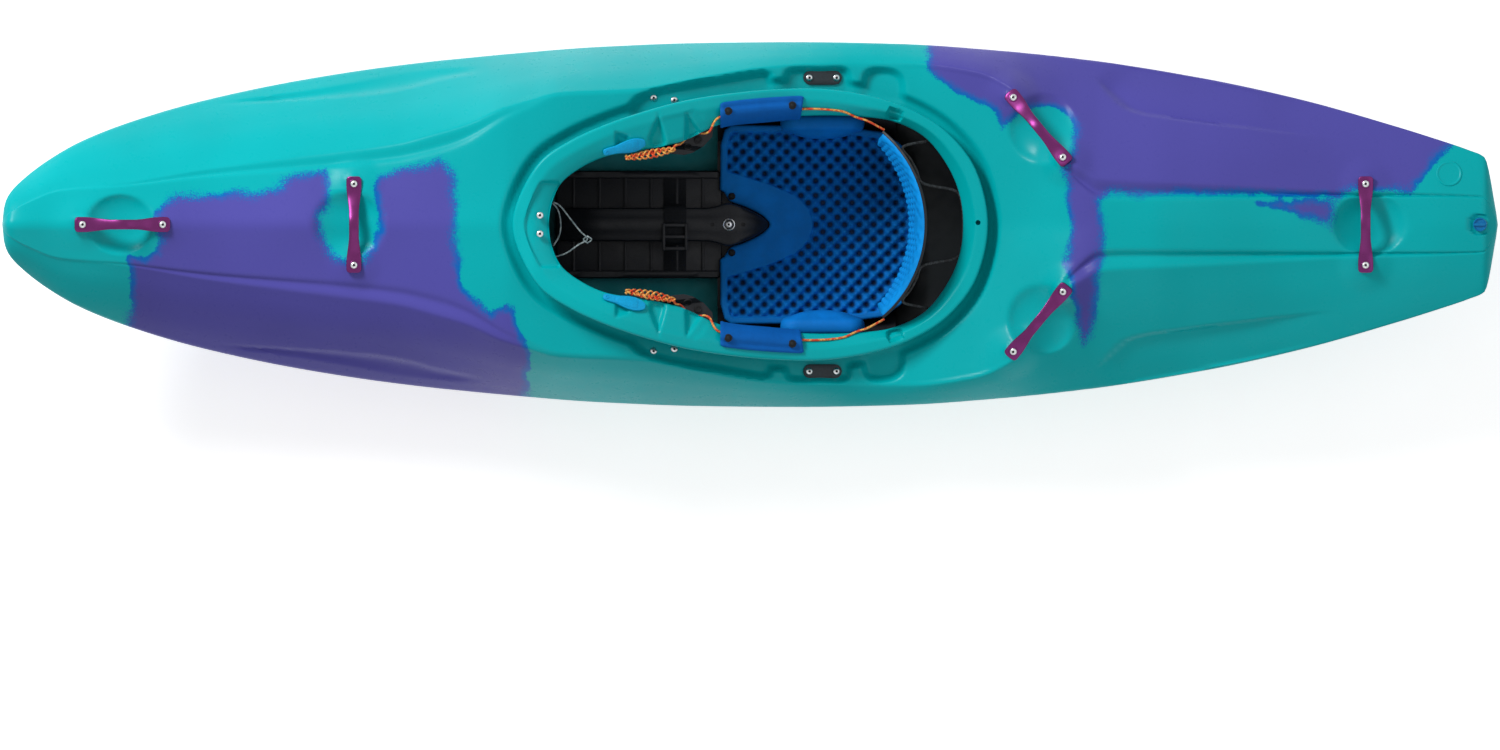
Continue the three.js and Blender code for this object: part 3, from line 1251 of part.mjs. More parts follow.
/** The cord that draws the backband in: along the rim, under the hip cover, and chained up to the tab. */
function tensionCordSolid() {
  const radius = cord.tension / 2;
  const onTop = (x, share) => onRim(x, share, radius + fit.gap * 4);
  const chain = Array.from({ length: cord.chainLinks * 2 + 1 }, (_, i) => {
    const x = THREE.MathUtils.lerp(cord.chainRear, cord.chainFront, i / (cord.chainLinks * 2));
    return offRim(x, radius * 2 + cord.chainHalf * (i % 2 ? 1.2 : 0), -radius * 2);
  });
  const reach = backband.radius + backband.shell + cord.bandReach;
  const endAngle = THREE.MathUtils.degToRad(backband.halfAngle);
  const bandMiddle = (backband.endTop + backband.endBottom) / 2;
  const bandEnd = new THREE.Vector3(
    backband.centreX + reach * Math.cos(endAngle), reach * Math.sin(endAngle), bandMiddle,
  );
  const route = [
    bandEnd,
    offRim(along(0.07865), radius * 3, -radius * 2),
    offRim(along(0.07191), radius, -radius * 2.5),
    ...[[0.06217, 0.84], [0.05243, 0.78], [0.03745, 0.75], [0.02322, 0.76], [0.00749, 0.77], [-0.02172, 0.77]]
      .map(([x, share]) => onTop(along(x), share)),
    ...cord.underRim.map(([x, out, drop]) => offRim(along(x), out, drop)),
    ...chain,
  ];
  return tube(route.map((p) => p.toArray()), radius, cord.tensionSteps);
}

addPair('tension_cord', tensionCordSolid(), colours.cord, { roughness: 0.9 });

/** The shock cord that holds the band up, laced between its back and the underside of the rim. */
function shockCordSolid() {
  const radius = backband.radius + backband.shell + cord.shock / 2 + fit.gap * 4;
  const onBand = [38, 32, 26, 20].map((degrees) => {
    const angle = THREE.MathUtils.degToRad(degrees);
    return [backband.centreX + radius * Math.cos(angle), radius * Math.sin(angle), cord.shockHeight];
  });
  const [front, ...rear] = [cord.shockFront, ...cord.shockRear].map((spot) => offRim(...spot).toArray());
  const starboard = [front, ...onBand, ...rear];
  const port = starboard.slice().reverse().map(([x, y, z]) => [x, -y, z]);
  return tube([...starboard, ...port], cord.shock / 2, cord.shockSteps);
}

addPart('shock_cord', shockCordSolid(), colours.shock, { roughness: 0.8 });

export default kayak;
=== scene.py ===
"""A whitewater kayak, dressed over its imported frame: skin, rim, handles, seat, foam, webbing and cords.

Lengths are metres. The bow points along -X, starboard along +Y, up along +Z.
"""

import json
import logging
import math
from dataclasses import dataclass, field
from enum import Enum
from typing import Callable, Iterable, Optional, Sequence

import bmesh
import bpy
import numpy as np
from mathutils import Matrix, Vector

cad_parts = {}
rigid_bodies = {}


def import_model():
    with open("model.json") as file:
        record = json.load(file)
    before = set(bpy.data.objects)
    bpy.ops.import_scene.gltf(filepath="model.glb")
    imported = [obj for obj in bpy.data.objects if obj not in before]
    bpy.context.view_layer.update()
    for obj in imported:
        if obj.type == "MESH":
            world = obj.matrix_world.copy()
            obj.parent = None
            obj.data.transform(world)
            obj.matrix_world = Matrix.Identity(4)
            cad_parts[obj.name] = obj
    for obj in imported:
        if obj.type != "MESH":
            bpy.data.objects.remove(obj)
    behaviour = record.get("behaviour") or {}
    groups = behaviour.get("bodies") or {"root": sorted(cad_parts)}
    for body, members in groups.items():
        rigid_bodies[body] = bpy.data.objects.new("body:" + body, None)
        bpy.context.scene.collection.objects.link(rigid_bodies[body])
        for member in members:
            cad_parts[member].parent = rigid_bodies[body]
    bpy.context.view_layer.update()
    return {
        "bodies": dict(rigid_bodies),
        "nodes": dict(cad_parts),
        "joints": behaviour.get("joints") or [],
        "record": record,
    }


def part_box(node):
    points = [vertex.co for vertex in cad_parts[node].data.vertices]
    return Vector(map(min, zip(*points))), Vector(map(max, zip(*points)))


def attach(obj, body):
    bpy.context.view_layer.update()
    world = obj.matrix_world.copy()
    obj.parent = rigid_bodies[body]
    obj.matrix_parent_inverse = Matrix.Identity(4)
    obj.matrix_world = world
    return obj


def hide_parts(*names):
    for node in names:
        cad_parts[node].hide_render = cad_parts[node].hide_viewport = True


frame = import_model()

log = logging.getLogger("kayak")

Pairs = Sequence[tuple[float, float]]
Point = tuple[float, float, float]
Curve = Callable[[np.ndarray], np.ndarray]
Colour = tuple[float, float, float, float]
Socket = bpy.types.NodeSocket
Material = bpy.types.Material


class Side(Enum):
    """A side of the boat, and its sign along Y."""

    STARBOARD = 1
    PORT = -1

    @property
    def word(self) -> str:
        """The side's name as the frame's nodes spell it."""
        return self.name.lower()


# Curves and small tools


def smooth_line(pairs: Pairs) -> Curve:
    """A smooth line through pairs of share and value, without overshoot.

    Args:
        pairs: share and value, in rising order of share.

    Returns:
        A function from an array of shares to their values.
    """
    xs = np.array([p[0] for p in pairs], dtype=float)
    ys = np.array([p[1] for p in pairs], dtype=float)
    slopes = np.diff(ys) / np.diff(xs)
    before = np.concatenate([slopes[:1], slopes])
    after = np.concatenate([slopes, slopes[-1:]])
    product = before * after
    total = np.where(np.abs(before + after) < 1e-12, 1.0, before + after)
    tangents = np.where(product <= 0, 0.0, 2 * product / total)

    def value(shares: np.ndarray) -> np.ndarray:
        """The line's values at an array of shares."""
        s = np.clip(np.asarray(shares, dtype=float), xs[0], xs[-1])
        i = np.clip(np.searchsorted(xs, s, side="right") - 1, 0, len(slopes) - 1)
        step = xs[i + 1] - xs[i]
        t = (s - xs[i]) / step
        rise = t * t * (3 - 2 * t)
        bend = (t - 2 * t**2 + t**3) * tangents[i] + (t**3 - t**2) * tangents[i + 1]
        return ys[i] * (1 - rise) + ys[i + 1] * rise + bend * step

    return value


def ease(t: np.ndarray) -> np.ndarray:
    """A smooth step from 0 to 1 of values clipped to that range."""
    t = np.clip(t, 0.0, 1.0)
    return t * t * (3 - 2 * t)


def soft_min(a: np.ndarray, b: np.ndarray, width: float) -> np.ndarray:
    """The lower of two heights, rounded where they meet over a width."""
    h = np.clip(0.5 + 0.5 * (b - a) / width, 0.0, 1.0)
    return b * (1 - h) + a * h - width * h * (1 - h)


def distance_to_line(points: np.ndarray, line: np.ndarray,
                     closed: bool) -> tuple[np.ndarray, np.ndarray, np.ndarray]:
    """Distances in plan from points to a broken line.

    Args:
        points: n by 2 places.
        line: m by 2 corners.
        closed: whether the last corner joins the first.

    Returns:
        The distance, which side of the nearest stretch each point lies on (its sign), and how far
        along the line the nearest place is, from 0 to 1.
    """
    ends = np.roll(line, -1, axis=0) if closed else line[1:]
    starts = line if closed else line[:-1]
    lengths = np.linalg.norm(ends - starts, axis=1)
    offsets = np.concatenate([[0.0], np.cumsum(lengths)])
    best = np.full(len(points), np.inf)
    side = np.zeros(len(points))
    along = np.zeros(len(points))
    for a, b, length, offset in zip(starts, ends, lengths, offsets):
        d = (b - a) / max(length, 1e-9)
        rel = points - a
        t = np.clip(rel @ d, 0.0, length)
        gap = np.linalg.norm(rel - t[:, None] * d, axis=1)
        nearer = gap < best
        best = np.where(nearer, gap, best)
        side = np.where(nearer, np.sign(d[0] * rel[:, 1] - d[1] * rel[:, 0]), side)
        along = np.where(nearer, (offset + t) / offsets[-1], along)
    return best, side, along


def inside(points: np.ndarray, outline: np.ndarray) -> np.ndarray:
    """Which of the points lie inside a closed outline in plan."""
    result = np.zeros(len(points), dtype=bool)
    x, y = points[:, 0], points[:, 1]
    for (ax, ay), (bx, by) in zip(outline, np.roll(outline, -1, axis=0)):
        crosses = (ay > y) != (by > y)
        with np.errstate(divide="ignore", invalid="ignore"):
            at = ax + (y - ay) / (by - ay) * (bx - ax)
        result ^= crosses & (x < at)
    return result


def depth_inside(points: np.ndarray, outline: np.ndarray) -> np.ndarray:
    """How far inside a closed outline each point lies in plan; negative outside it."""
    gap, _, _ = distance_to_line(points, outline, closed=True)
    return np.where(inside(points, outline), gap, -gap)


def new_object(name: str, bm: bmesh.types.BMesh, smooth: bool = True,
               sharp_degrees: float = 40.0) -> bpy.types.Object:
    """A scene object made from a bmesh, which is freed.

    Args:
        name: the piece's name.
        bm: the mesh, in the frame's own coordinates.
        smooth: whether its faces are shaded smooth.
        sharp_degrees: edges bent more than this stay sharp.

    Returns:
        The linked object.
    """
    mesh = bpy.data.meshes.new(name)
    bm.to_mesh(mesh)
    bm.free()
    if smooth:
        mesh.shade_smooth()
        mesh.set_sharp_from_angle(angle=math.radians(sharp_degrees))
    obj = bpy.data.objects.new(name, mesh)
    bpy.context.scene.collection.objects.link(obj)
    return obj


def grid_of(bm: bmesh.types.BMesh, points: np.ndarray) -> list[bmesh.types.BMVert]:
    """A sheet of faces laid through rows of points.

    Args:
        bm: the mesh to add to.
        points: rows by columns by 3 places.

    Returns:
        The sheet's vertices, row by row.
    """
    rows, columns, _ = points.shape
    made = bmesh.ops.create_grid(bm, x_segments=columns - 1, y_segments=rows - 1, size=1.0)["verts"]
    made.sort(key=lambda v: (round(v.co.y * 1e5), v.co.x))
    for vert, place in zip(made, points.reshape(-1, 3)):
        vert.co = place
    return made


def apply_modifiers(obj: bpy.types.Object) -> None:
    """Bakes an object's modifiers into its mesh."""
    graph = bpy.context.evaluated_depsgraph_get()
    mesh = bpy.data.meshes.new_from_object(obj.evaluated_get(graph))
    old = obj.data
    obj.modifiers.clear()
    obj.data = mesh
    bpy.data.meshes.remove(old)


# Finishes


def cut_away(obj: bpy.types.Object, cutter: bpy.types.Object) -> None:
    """Cuts a solid out of a piece, and removes the solid."""
    cut = obj.modifiers.new("cut", "BOOLEAN")
    cut.operation = "DIFFERENCE"
    cut.object = cutter
    cut.solver = "EXACT"
    apply_modifiers(obj)
    bpy.data.objects.remove(cutter)


def srgb(red: float, green: float, blue: float) -> Colour:
    """A colour of 0 to 255 channels as Blender's linear red, green, blue and alpha."""

    def linear(value: float) -> float:
        """One channel made linear."""
        v = value / 255.0
        return v / 12.92 if v <= 0.04045 else ((v + 0.055) / 1.055) ** 2.4

    return (linear(red), linear(green), linear(blue), 1.0)


class Nodes:
    """A material's node tree, with short ways to add and join nodes."""

    def __init__(self, name: str) -> None:
        """Starts a material with an empty tree."""
        self.material = bpy.data.materials.new(name)
        self.material.use_nodes = True
        self.tree = self.material.node_tree
        self.tree.nodes.clear()
        self.output = self.tree.nodes.new("ShaderNodeOutputMaterial")
        self.shader = self.tree.nodes.new("ShaderNodeBsdfPrincipled")
        self.tree.links.new(self.shader.outputs[0], self.output.inputs[0])

    def add(self, kind: str, **settings: object) -> bpy.types.Node:
        """Adds a node of a kind, with properties or input values by name."""
        node = self.tree.nodes.new(kind)
        for key, value in settings.items():
            if hasattr(node, key):
                setattr(node, key, value)
            else:
                node.inputs[key.replace("_", " ").title()].default_value = value
        return node

    def link(self, source: Socket, target: Socket) -> None:
        """Joins an output to an input."""
        self.tree.links.new(source, target)

    def place(self, scale: float = 1.0) -> Socket:
        """Object coordinates, scaled."""
        coordinates = self.add("ShaderNodeTexCoord")
        mapping = self.add("ShaderNodeMapping")
        mapping.inputs["Scale"].default_value = (scale, scale, scale)
        self.link(coordinates.outputs["Object"], mapping.inputs["Vector"])
        return mapping.outputs["Vector"]

    def noise(self, scale: float, detail: float = 3.0, roughness: float = 0.55) -> Socket:
        """Noise over the object's own coordinates."""
        node = self.add("ShaderNodeTexNoise")
        node.inputs["Scale"].default_value = scale
        node.inputs["Detail"].default_value = detail
        node.inputs["Roughness"].default_value = roughness
        self.link(self.place(), node.inputs["Vector"])
        return node.outputs["Fac"]

    def attribute(self, name: str) -> Socket:
        """A mesh attribute's value."""
        return self.add("ShaderNodeAttribute", attribute_name=name).outputs["Fac"]

    def math(self, operation: str, a: object, b: object = 0.0, clamp: bool = False) -> Socket:
        """One sum of sockets or numbers."""
        node = self.add("ShaderNodeMath", operation=operation, use_clamp=clamp)
        for socket, value in zip(node.inputs, (a, b)):
            if isinstance(value, (int, float)):
                socket.default_value = value
            else:
                self.link(value, socket)
        return node.outputs[0]

    def spread(self, value: Socket, low: float, high: float, to_low: float = 0.0,
               to_high: float = 1.0) -> Socket:
        """A value's range spread smoothly over another."""
        node = self.add("ShaderNodeMapRange", interpolation_type="SMOOTHSTEP")
        self.link(value, node.inputs["Value"])
        for key, number in (("From Min", low), ("From Max", high), ("To Min", to_low), ("To Max", to_high)):
            node.inputs[key].default_value = number
        return node.outputs["Result"]

    def mix(self, factor: object, a: object, b: object) -> Socket:
        """A blend of two colours, each a socket or a value."""
        node = self.add("ShaderNodeMix", data_type="RGBA")
        for key, value in ((0, factor), (6, a), (7, b)):
            if isinstance(value, (int, float, tuple)):
                node.inputs[key].default_value = value
            else:
                self.link(value, node.inputs[key])
        return node.outputs[2]

    def vary(self, value: Socket, colour: Socket) -> Socket:
        """A colour made lighter or darker by a value."""
        node = self.add("ShaderNodeHueSaturation")
        self.link(value, node.inputs["Value"])
        self.link(colour, node.inputs["Color"])
        return node.outputs["Color"]

    def shine(self, level: float) -> None:
        """Sets how strongly the surface mirrors light."""
        self.shader.inputs["Specular IOR Level"].default_value = level

    def bump(self, height: Socket, strength: float, distance: float) -> None:
        """Lays a height on the shader's normal."""
        node = self.add("ShaderNodeBump")
        node.inputs["Strength"].default_value = strength
        node.inputs["Distance"].default_value = distance
        self.link(height, node.inputs["Height"])
        self.link(node.outputs["Normal"], self.shader.inputs["Normal"])

    def dress(self, colour: object, roughness: object, metallic: float = 0.0) -> None:
        """Sets the shader's colour, roughness and metal."""
        for key, value in (("Base Color", colour), ("Roughness", roughness)):
            if isinstance(value, (int, float, tuple)):
                self.shader.inputs[key].default_value = value
            else:
                self.link(value, self.shader.inputs[key])
        self.shader.inputs["Metallic"].default_value = metallic


@dataclass(frozen=True)
class MouldedSkin:
    """Rotomoulded plastic, teal with purple poured into it, and blue where the two meet."""

    teal: Colour = srgb(0, 181, 186)
    purple: Colour = srgb(86, 82, 172)
    fringe: Colour = srgb(0, 106, 192)

    def material(self) -> Material:
        """The finish as a material. Its attribute `dye` is metres inside a purple patch."""
        n = Nodes("moulded_skin")
        wander = n.math("MULTIPLY", n.math("SUBTRACT", n.noise(22.0, 5.0, 0.62), 0.5), 0.034)
        spray = n.math("MULTIPLY", n.math("SUBTRACT", n.noise(620.0, 1.0, 0.5), 0.5), 0.034)
        patchy = n.spread(n.noise(7.0, 2.0), 0.42, 0.66, 0.25, 1.5)
        dye = n.math("ADD", n.math("ADD", n.attribute("dye"), wander), n.math("MULTIPLY", spray, patchy))
        blue = n.spread(dye, -0.0012, 0.0012)
        violet = n.spread(dye, 0.002, 0.015)
        shade = n.spread(n.noise(3.0, 2.0), 0.3, 0.7, 0.94, 1.05)
        poured = n.mix(violet, n.mix(blue, self.teal, self.fringe), self.purple)
        scuff = n.spread(n.noise(60.0, 5.0, 0.7), 0.35, 0.75, 0.27, 0.38)
        n.dress(n.vary(shade, poured), scuff)
        n.shine(0.13)
        n.bump(n.noise(300.0, 2.0), 0.02, 0.0004)
        return n.material


@dataclass(frozen=True)
class Lining:
    """The skin's inner face: a duller teal than outside, painted darker as shade, and painted near black as
    shade behind the seat.
    """

    # Painted shade: the teal is darkened for the shade inside the hull, and near black stands for the shade
    # behind the seat
    clean: Colour = srgb(0, 128, 134)
    grimy: Colour = srgb(7, 16, 20)
    grime_from: float = 0.17
    grime_to: float = 0.24

    def material(self) -> Material:
        """The finish as a material."""
        n = Nodes("moulded_lining")
        split = n.add("ShaderNodeSeparateXYZ")
        n.link(n.place(), split.inputs[0])
        # Painted shade: behind the seat, along X, the lining darkens to near black
        behind = n.spread(split.outputs["X"], self.grime_from, self.grime_to)
        n.dress(n.mix(behind, self.clean, self.grimy), n.spread(n.noise(50.0, 4.0), 0.3, 0.7, 0.42, 0.58))
        n.shine(0.2)
        n.bump(n.noise(240.0, 3.0), 0.08, 0.0006)
        return n.material


@dataclass(frozen=True)
class Plain:
    """A plain finish with a fine grain in its colour, roughness and surface."""

    name: str
    colour: Colour
    roughness: float = 0.5
    metallic: float = 0.0
    grain: float = 300.0
    relief: float = 0.08
    contrast: float = 0.12

    def material(self) -> Material:
        """The finish as a material."""
        n = Nodes(self.name)
        speck = n.noise(self.grain, 3.0)
        dark = tuple(c * (1 - self.contrast) for c in self.colour[:3]) + (1.0,)
        light = tuple(min(1.0, c * (1 + self.contrast)) for c in self.colour[:3]) + (1.0,)
        n.dress(n.mix(n.spread(speck, 0.3, 0.7), dark, light),
                n.spread(n.noise(40.0, 4.0), 0.3, 0.7, self.roughness - 0.05, self.roughness + 0.07),
                self.metallic)
        n.shine(0.25)
        n.bump(speck, self.relief, 0.0006)
        return n.material


# Hull


@dataclass
class HullForm:
    """The hull's lines, as shares of its length, half beam and height, and its deck's hollows."""

    length: float = 2.670
    half_beam: float = 0.3265
    height: float = 0.444
    wall: float = 0.006
    groove_depth: float = 0.0065
    bumper_step: float = 0.006
    stations: int = 400
    columns: int = 100
    half_beam_shares: Pairs = (
        (0, 0.04), (0.002, 0.12), (0.005, 0.17), (0.012, 0.233), (0.029, 0.343), (0.052, 0.453),
        (0.086, 0.563), (0.132, 0.674), (0.199, 0.79), (0.266, 0.873), (0.333, 0.931), (0.4, 0.974),
        (0.467, 0.995), (0.533, 1), (0.6, 0.99), (0.667, 0.953), (0.734, 0.894), (0.801, 0.805),
        (0.868, 0.686), (0.934, 0.533), (0.961, 0.463), (0.981, 0.407), (0.991, 0.37), (1, 0.02))
    keel_shares: Pairs = (
        (0, 0.93), (0.002, 0.892), (0.005, 0.856), (0.012, 0.804), (0.029, 0.712), (0.052, 0.6),
        (0.086, 0.471), (0.132, 0.338), (0.199, 0.214), (0.266, 0.124), (0.333, 0.067), (0.4, 0.028),
        (0.447, 0.006), (0.475, 0), (0.535, 0), (0.567, 0.008), (0.6, 0.02), (0.667, 0.077), (0.734, 0.16),
        (0.801, 0.266), (0.868, 0.378), (0.934, 0.502), (0.981, 0.583), (1, 0.625))
    deck_shares: Pairs = (
        (0, 0.955), (0.003, 0.988), (0.006, 1), (0.012, 0.998), (0.029, 0.977), (0.052, 0.957),
        (0.086, 0.921), (0.132, 0.892), (0.18, 0.878), (0.233, 0.876), (0.3, 0.885), (0.335, 0.887),
        (0.352, 0.868), (0.377, 0.838), (0.41, 0.806), (0.444, 0.75), (0.477, 0.676), (0.507, 0.612),
        (0.541, 0.556), (0.577, 0.516), (0.608, 0.51), (0.645, 0.535), (0.667, 0.585), (0.687, 0.64),
        (0.707, 0.705), (0.724, 0.75), (0.738, 0.77), (0.767, 0.7725), (0.8, 0.752), (0.834, 0.732),
        (0.868, 0.712), (0.9, 0.692), (0.925, 0.689), (0.961, 0.7), (0.99, 0.7), (1, 0.65))
    crest_side_shares: Pairs = (
        (0, 0.02), (0.005, 0.066), (0.019, 0.131), (0.038, 0.191), (0.084, 0.227), (0.135, 0.295),
        (0.187, 0.35), (0.221, 0.385), (0.266, 0.437), (0.287, 0.484), (0.312, 0.546), (0.334, 0.628),
        (0.352, 0.675), (0.372, 0.721), (0.427, 0.743), (0.467, 0.803), (0.509, 0.858), (0.541, 0.874),
        (0.607, 0.88), (0.65, 0.836), (0.674, 0.749), (0.694, 0.546), (0.71, 0.366), (0.724, 0.284),
        (0.734, 0.246), (0.787, 0.224), (0.893, 0.18), (0.99, 0.158), (1, 0.01))
    crest_height_shares: Pairs = (
        (0, 0.95), (0.005, 0.97), (0.019, 0.95), (0.038, 0.915), (0.081, 0.883), (0.114, 0.851),
        (0.154, 0.824), (0.203, 0.809), (0.242, 0.815), (0.281, 0.831), (0.316, 0.836), (0.352, 0.815),
        (0.373, 0.8), (0.4, 0.777), (0.444, 0.732), (0.477, 0.671), (0.507, 0.61), (0.541, 0.552),
        (0.577, 0.511), (0.608, 0.527), (0.65, 0.592), (0.676, 0.649), (0.694, 0.7), (0.71, 0.743),
        (0.734, 0.766), (0.767, 0.766), (0.801, 0.745), (0.868, 0.705), (0.921, 0.682), (0.961, 0.69),
        (0.99, 0.69), (1, 0.65))
    groove_side_shares: Pairs = (
        (0, 0.94), (0.084, 0.94), (0.135, 0.89), (0.187, 0.845), (0.233, 0.81), (0.288, 0.8), (0.304, 0.82),
        (0.321, 0.87), (0.338, 0.92), (0.354, 0.95), (0.373, 0.96), (0.69, 0.96), (0.71, 0.85), (0.734, 0.61),
        (0.787, 0.66), (0.868, 0.8), (0.893, 0.84), (1, 0.94))
    groove_depth_shares: Pairs = (
        (0, 0), (0.06, 0.2), (0.1, 0.7), (0.15, 1), (0.3, 1), (0.35, 0.4), (0.37, 0), (0.69, 0), (0.735, 1.6),
        (0.8, 1.6), (0.9, 1.3), (0.985, 0.6), (1, 0))
    knee_height_shares: Pairs = (
        (0, 0.94), (0.005, 0.91), (0.021, 0.83), (0.043, 0.777), (0.072, 0.685), (0.096, 0.62),
        (0.123, 0.565), (0.154, 0.511), (0.187, 0.473), (0.22, 0.44), (0.265, 0.412), (0.315, 0.396),
        (0.408, 0.383), (0.474, 0.385), (0.541, 0.405), (0.607, 0.425), (0.733, 0.441), (0.787, 0.475),
        (0.824, 0.511), (0.87, 0.538), (0.934, 0.59), (0.99, 0.642), (1, 0.645))
    bumper_height_shares: Pairs = (
        (0, 0.002), (0.04, 0.03), (0.072, 0.05), (0.13, 0.06), (0.2, 0.074), (0.265, 0.077), (0.29, 0.078),
        (0.3, 0.04), (0.35, 0.034), (0.5, 0.03), (0.9, 0.02), (1, 0.006))
    bumper_step_shares: Pairs = (
        (0, 0), (0.04, 0.6), (0.1, 1), (0.29, 1), (0.31, 0.6), (0.5, 0.4), (0.9, 0.3), (1, 0))
    chine_side_shares: Pairs = ((0, 0.4), (0.05, 0.5), (0.2, 0.6), (0.35, 0.68), (0.5, 0.7), (0.7, 0.72),
                                (1, 0.84))
    chine_rise_shares: Pairs = (
        (0, 0.002), (0.05, 0.03), (0.12, 0.05), (0.6, 0.058), (0.75, 0.045), (0.9, 0.022), (1, 0))
    # How round each corner of the section is, from the deck's middle to the keel
    corner_radii: Sequence[float] = (
        0.012, 0.0035, 0.0035, 0.007, 0.05, 0.06, 0.008, 0.004, 0.005, 0.05, 0.03, 0.04, 0.02)

    def __post_init__(self) -> None:
        """Turns each table into a smooth line."""
        self.lines = {
            name.removesuffix("_shares"): smooth_line(getattr(self, name))
            for name in self.__dataclass_fields__ if name.endswith("_shares")
        }

    def x_of(self, share: np.ndarray) -> np.ndarray:
        """The place along X of a share of the length."""
        return (share - 0.5) * self.length

    def share_of(self, x: np.ndarray) -> np.ndarray:
        """The share of the length at a place along X."""
        return x / self.length + 0.5

    def knots(self, share: np.ndarray) -> np.ndarray:
        """Corners of half the cross-section, from the deck's middle to the keel.

        Args:
            share: n shares of the length.

        Returns:
            n by 13 by 2 places, as y and z.
        """
        at = {name: line(share) for name, line in self.lines.items()}
        knee = (at["half_beam"] * self.half_beam, at["knee_height"] * self.height)
        middle = at["deck"] * self.height
        crest = (at["crest_side"] * self.half_beam, at["crest_height"] * self.height)
        inner = crest[0] * at["groove_side"]
        band = crest[0] - inner
        edge = crest[1] + 0.18 * (middle - crest[1])
        depth = at["groove_depth"] * self.groove_depth
        drop = crest[1] - knee[1]
        keel = at["keel"] * self.height
        rail = (knee[0] * 0.995, knee[1] - at["bumper_height"] * self.height)
        step = at["bumper_step"] * self.bumper_step
        under = (rail[0] - step, rail[1] - step / 2)
        rise = np.minimum(at["chine_rise"] * self.height, (under[1] - keel) * 0.6)
        chine = (at["chine_side"] * knee[0], keel + rise)
        zero = np.zeros_like(share)
        corners = [
            (zero, middle), (inner - band * 0.1, edge), (inner + band * 0.3, edge - depth), crest,
            (crest[0] + 0.35 * (knee[0] - crest[0]), crest[1] - 0.25 * drop),
            (crest[0] + 0.75 * (knee[0] - crest[0]), crest[1] - 0.66 * drop),
            knee, rail, under,
            (under[0] - 0.25 * (under[0] - chine[0]), under[1] - 0.55 * (under[1] - chine[1])),
            chine, (chine[0] * 0.72, keel), (zero, keel),
        ]
        return np.stack([np.stack(c, axis=-1) for c in corners], axis=1)

    def along_section(self, corners: np.ndarray, q: np.ndarray) -> np.ndarray:
        """Places round one half section with its corners rounded.

        Args:
            corners: 13 by 2 corners.
            q: how far round, 0 at the deck's middle to 12 at the keel, counted in corners.

        Returns:
            A place, as y and z, for each q.
        """
        mirror = np.array([-1.0, 1.0])
        full = np.vstack([corners[1] * mirror, corners, corners[-2] * mirror])
        i = np.clip(q.astype(int), 0, len(corners) - 2)
        t = q - i
        a, b = full[i + 1], full[i + 2]
        before, after = full[i], full[np.minimum(i + 3, len(full) - 1)]
        length = np.linalg.norm(b - a, axis=1)
        radii = np.array(self.corner_radii)
        cut_a = np.minimum(np.minimum(radii[i], 0.5 * length), 0.5 * np.linalg.norm(a - before, axis=1))
        cut_b = np.minimum(np.minimum(radii[i + 1], 0.5 * length), 0.5 * np.linalg.norm(after - b, axis=1))

        def unit(v: np.ndarray) -> np.ndarray:
            """Rows made one long."""
            return v / np.maximum(np.linalg.norm(v, axis=1, keepdims=True), 1e-9)

        def rounded(p: np.ndarray, from_: np.ndarray, to: np.ndarray, cut: np.ndarray,
                    s: np.ndarray) -> np.ndarray:
            """A place on the arc that rounds a corner."""
            start = p + unit(from_ - p) * cut[:, None]
            end = p + unit(to - p) * cut[:, None]
            s = s[:, None]
            return start * (1 - s) ** 2 + p * 2 * s * (1 - s) + end * s**2

        distance = t * length
        straight = a + (b - a) * t[:, None]
        near_a = rounded(a, before, b, cut_a, 0.5 + 0.5 * distance / np.maximum(cut_a, 1e-9))
        near_b = rounded(b, a, after, cut_b, 0.5 - 0.5 * (length - distance) / np.maximum(cut_b, 1e-9))
        result = np.where((distance < cut_a)[:, None], near_a, straight)
        return np.where((length - distance < cut_b)[:, None], near_b, result)

    def deck_height(self, x: float, y: float) -> float:
        """Height of the plain deck over a place."""
        return float(self.on_deck(np.array([[x, y]]))[0, 2])

    def on_deck(self, plan: np.ndarray) -> np.ndarray:
        """Places on the plain deck over places in plan."""
        corners = self.knots(self.share_of(plan[:, 0]))[:, :7]
        heights = [np.interp(abs(y), row[:, 0], row[:, 1]) for y, row in zip(plan[:, 1], corners)]
        return np.column_stack([plan, heights])


@dataclass(frozen=True)
class HandleSpot:
    """Where a grab handle stands: its middle, its turn from the boat's line, and its lift over the deck."""

    word: str
    x: float
    y: float
    turn: float
    lift: float
    reach: float = 0.0725

    def feet(self, form: HullForm) -> list[Vector]:
        """The middles of its two feet, on the plane that they stand on."""
        angle = math.radians(self.turn)
        places = []
        for end in (-1, 1):
            x = self.x + end * self.reach * math.cos(angle)
            y = self.y + end * self.reach * math.sin(angle)
            places.append(Vector((x, y, form.deck_height(x, y) + self.lift)))
        return places

    def frame(self, form: HullForm) -> Matrix:
        """A frame on its two feet, with x along the handle."""
        return frame_between(*self.feet(form))


HANDLE_SPOTS = (
    HandleSpot("bow", -1.121, 0.0, 0.0, 0.003), HandleSpot("front", -0.707, 0.0, -90.0, 0.006),
    HandleSpot("rear_starboard", 0.5155, 0.172, -50.4, 0.009),
    HandleSpot("rear_port", 0.5155, -0.172, 50.4, 0.009),
    HandleSpot("stern", 1.099, 0.0, -90.0, 0.006))


def frame_between(first: Vector, second: Vector) -> Matrix:
    """A frame whose x runs from the first place to the second, with z up and its origin midway."""
    forward = (second - first).normalized()
    sideways = Vector((-forward.y, forward.x, 0)).normalized()
    return basis(forward, sideways, forward.cross(sideways), (first + second) / 2)


def basis(x: Vector, y: Vector, z: Vector, origin: Vector) -> Matrix:
    """A frame from its three directions and its origin."""
    turn = Matrix((x, y, z)).transposed().to_4x4()
    turn.translation = origin
    return turn


def along(origin: Vector, direction: Vector) -> Matrix:
    """A frame with its z along a direction."""
    turn = Vector((0, 0, 1)).rotation_difference(direction.normalized()).to_matrix().to_4x4()
    turn.translation = origin
    return turn


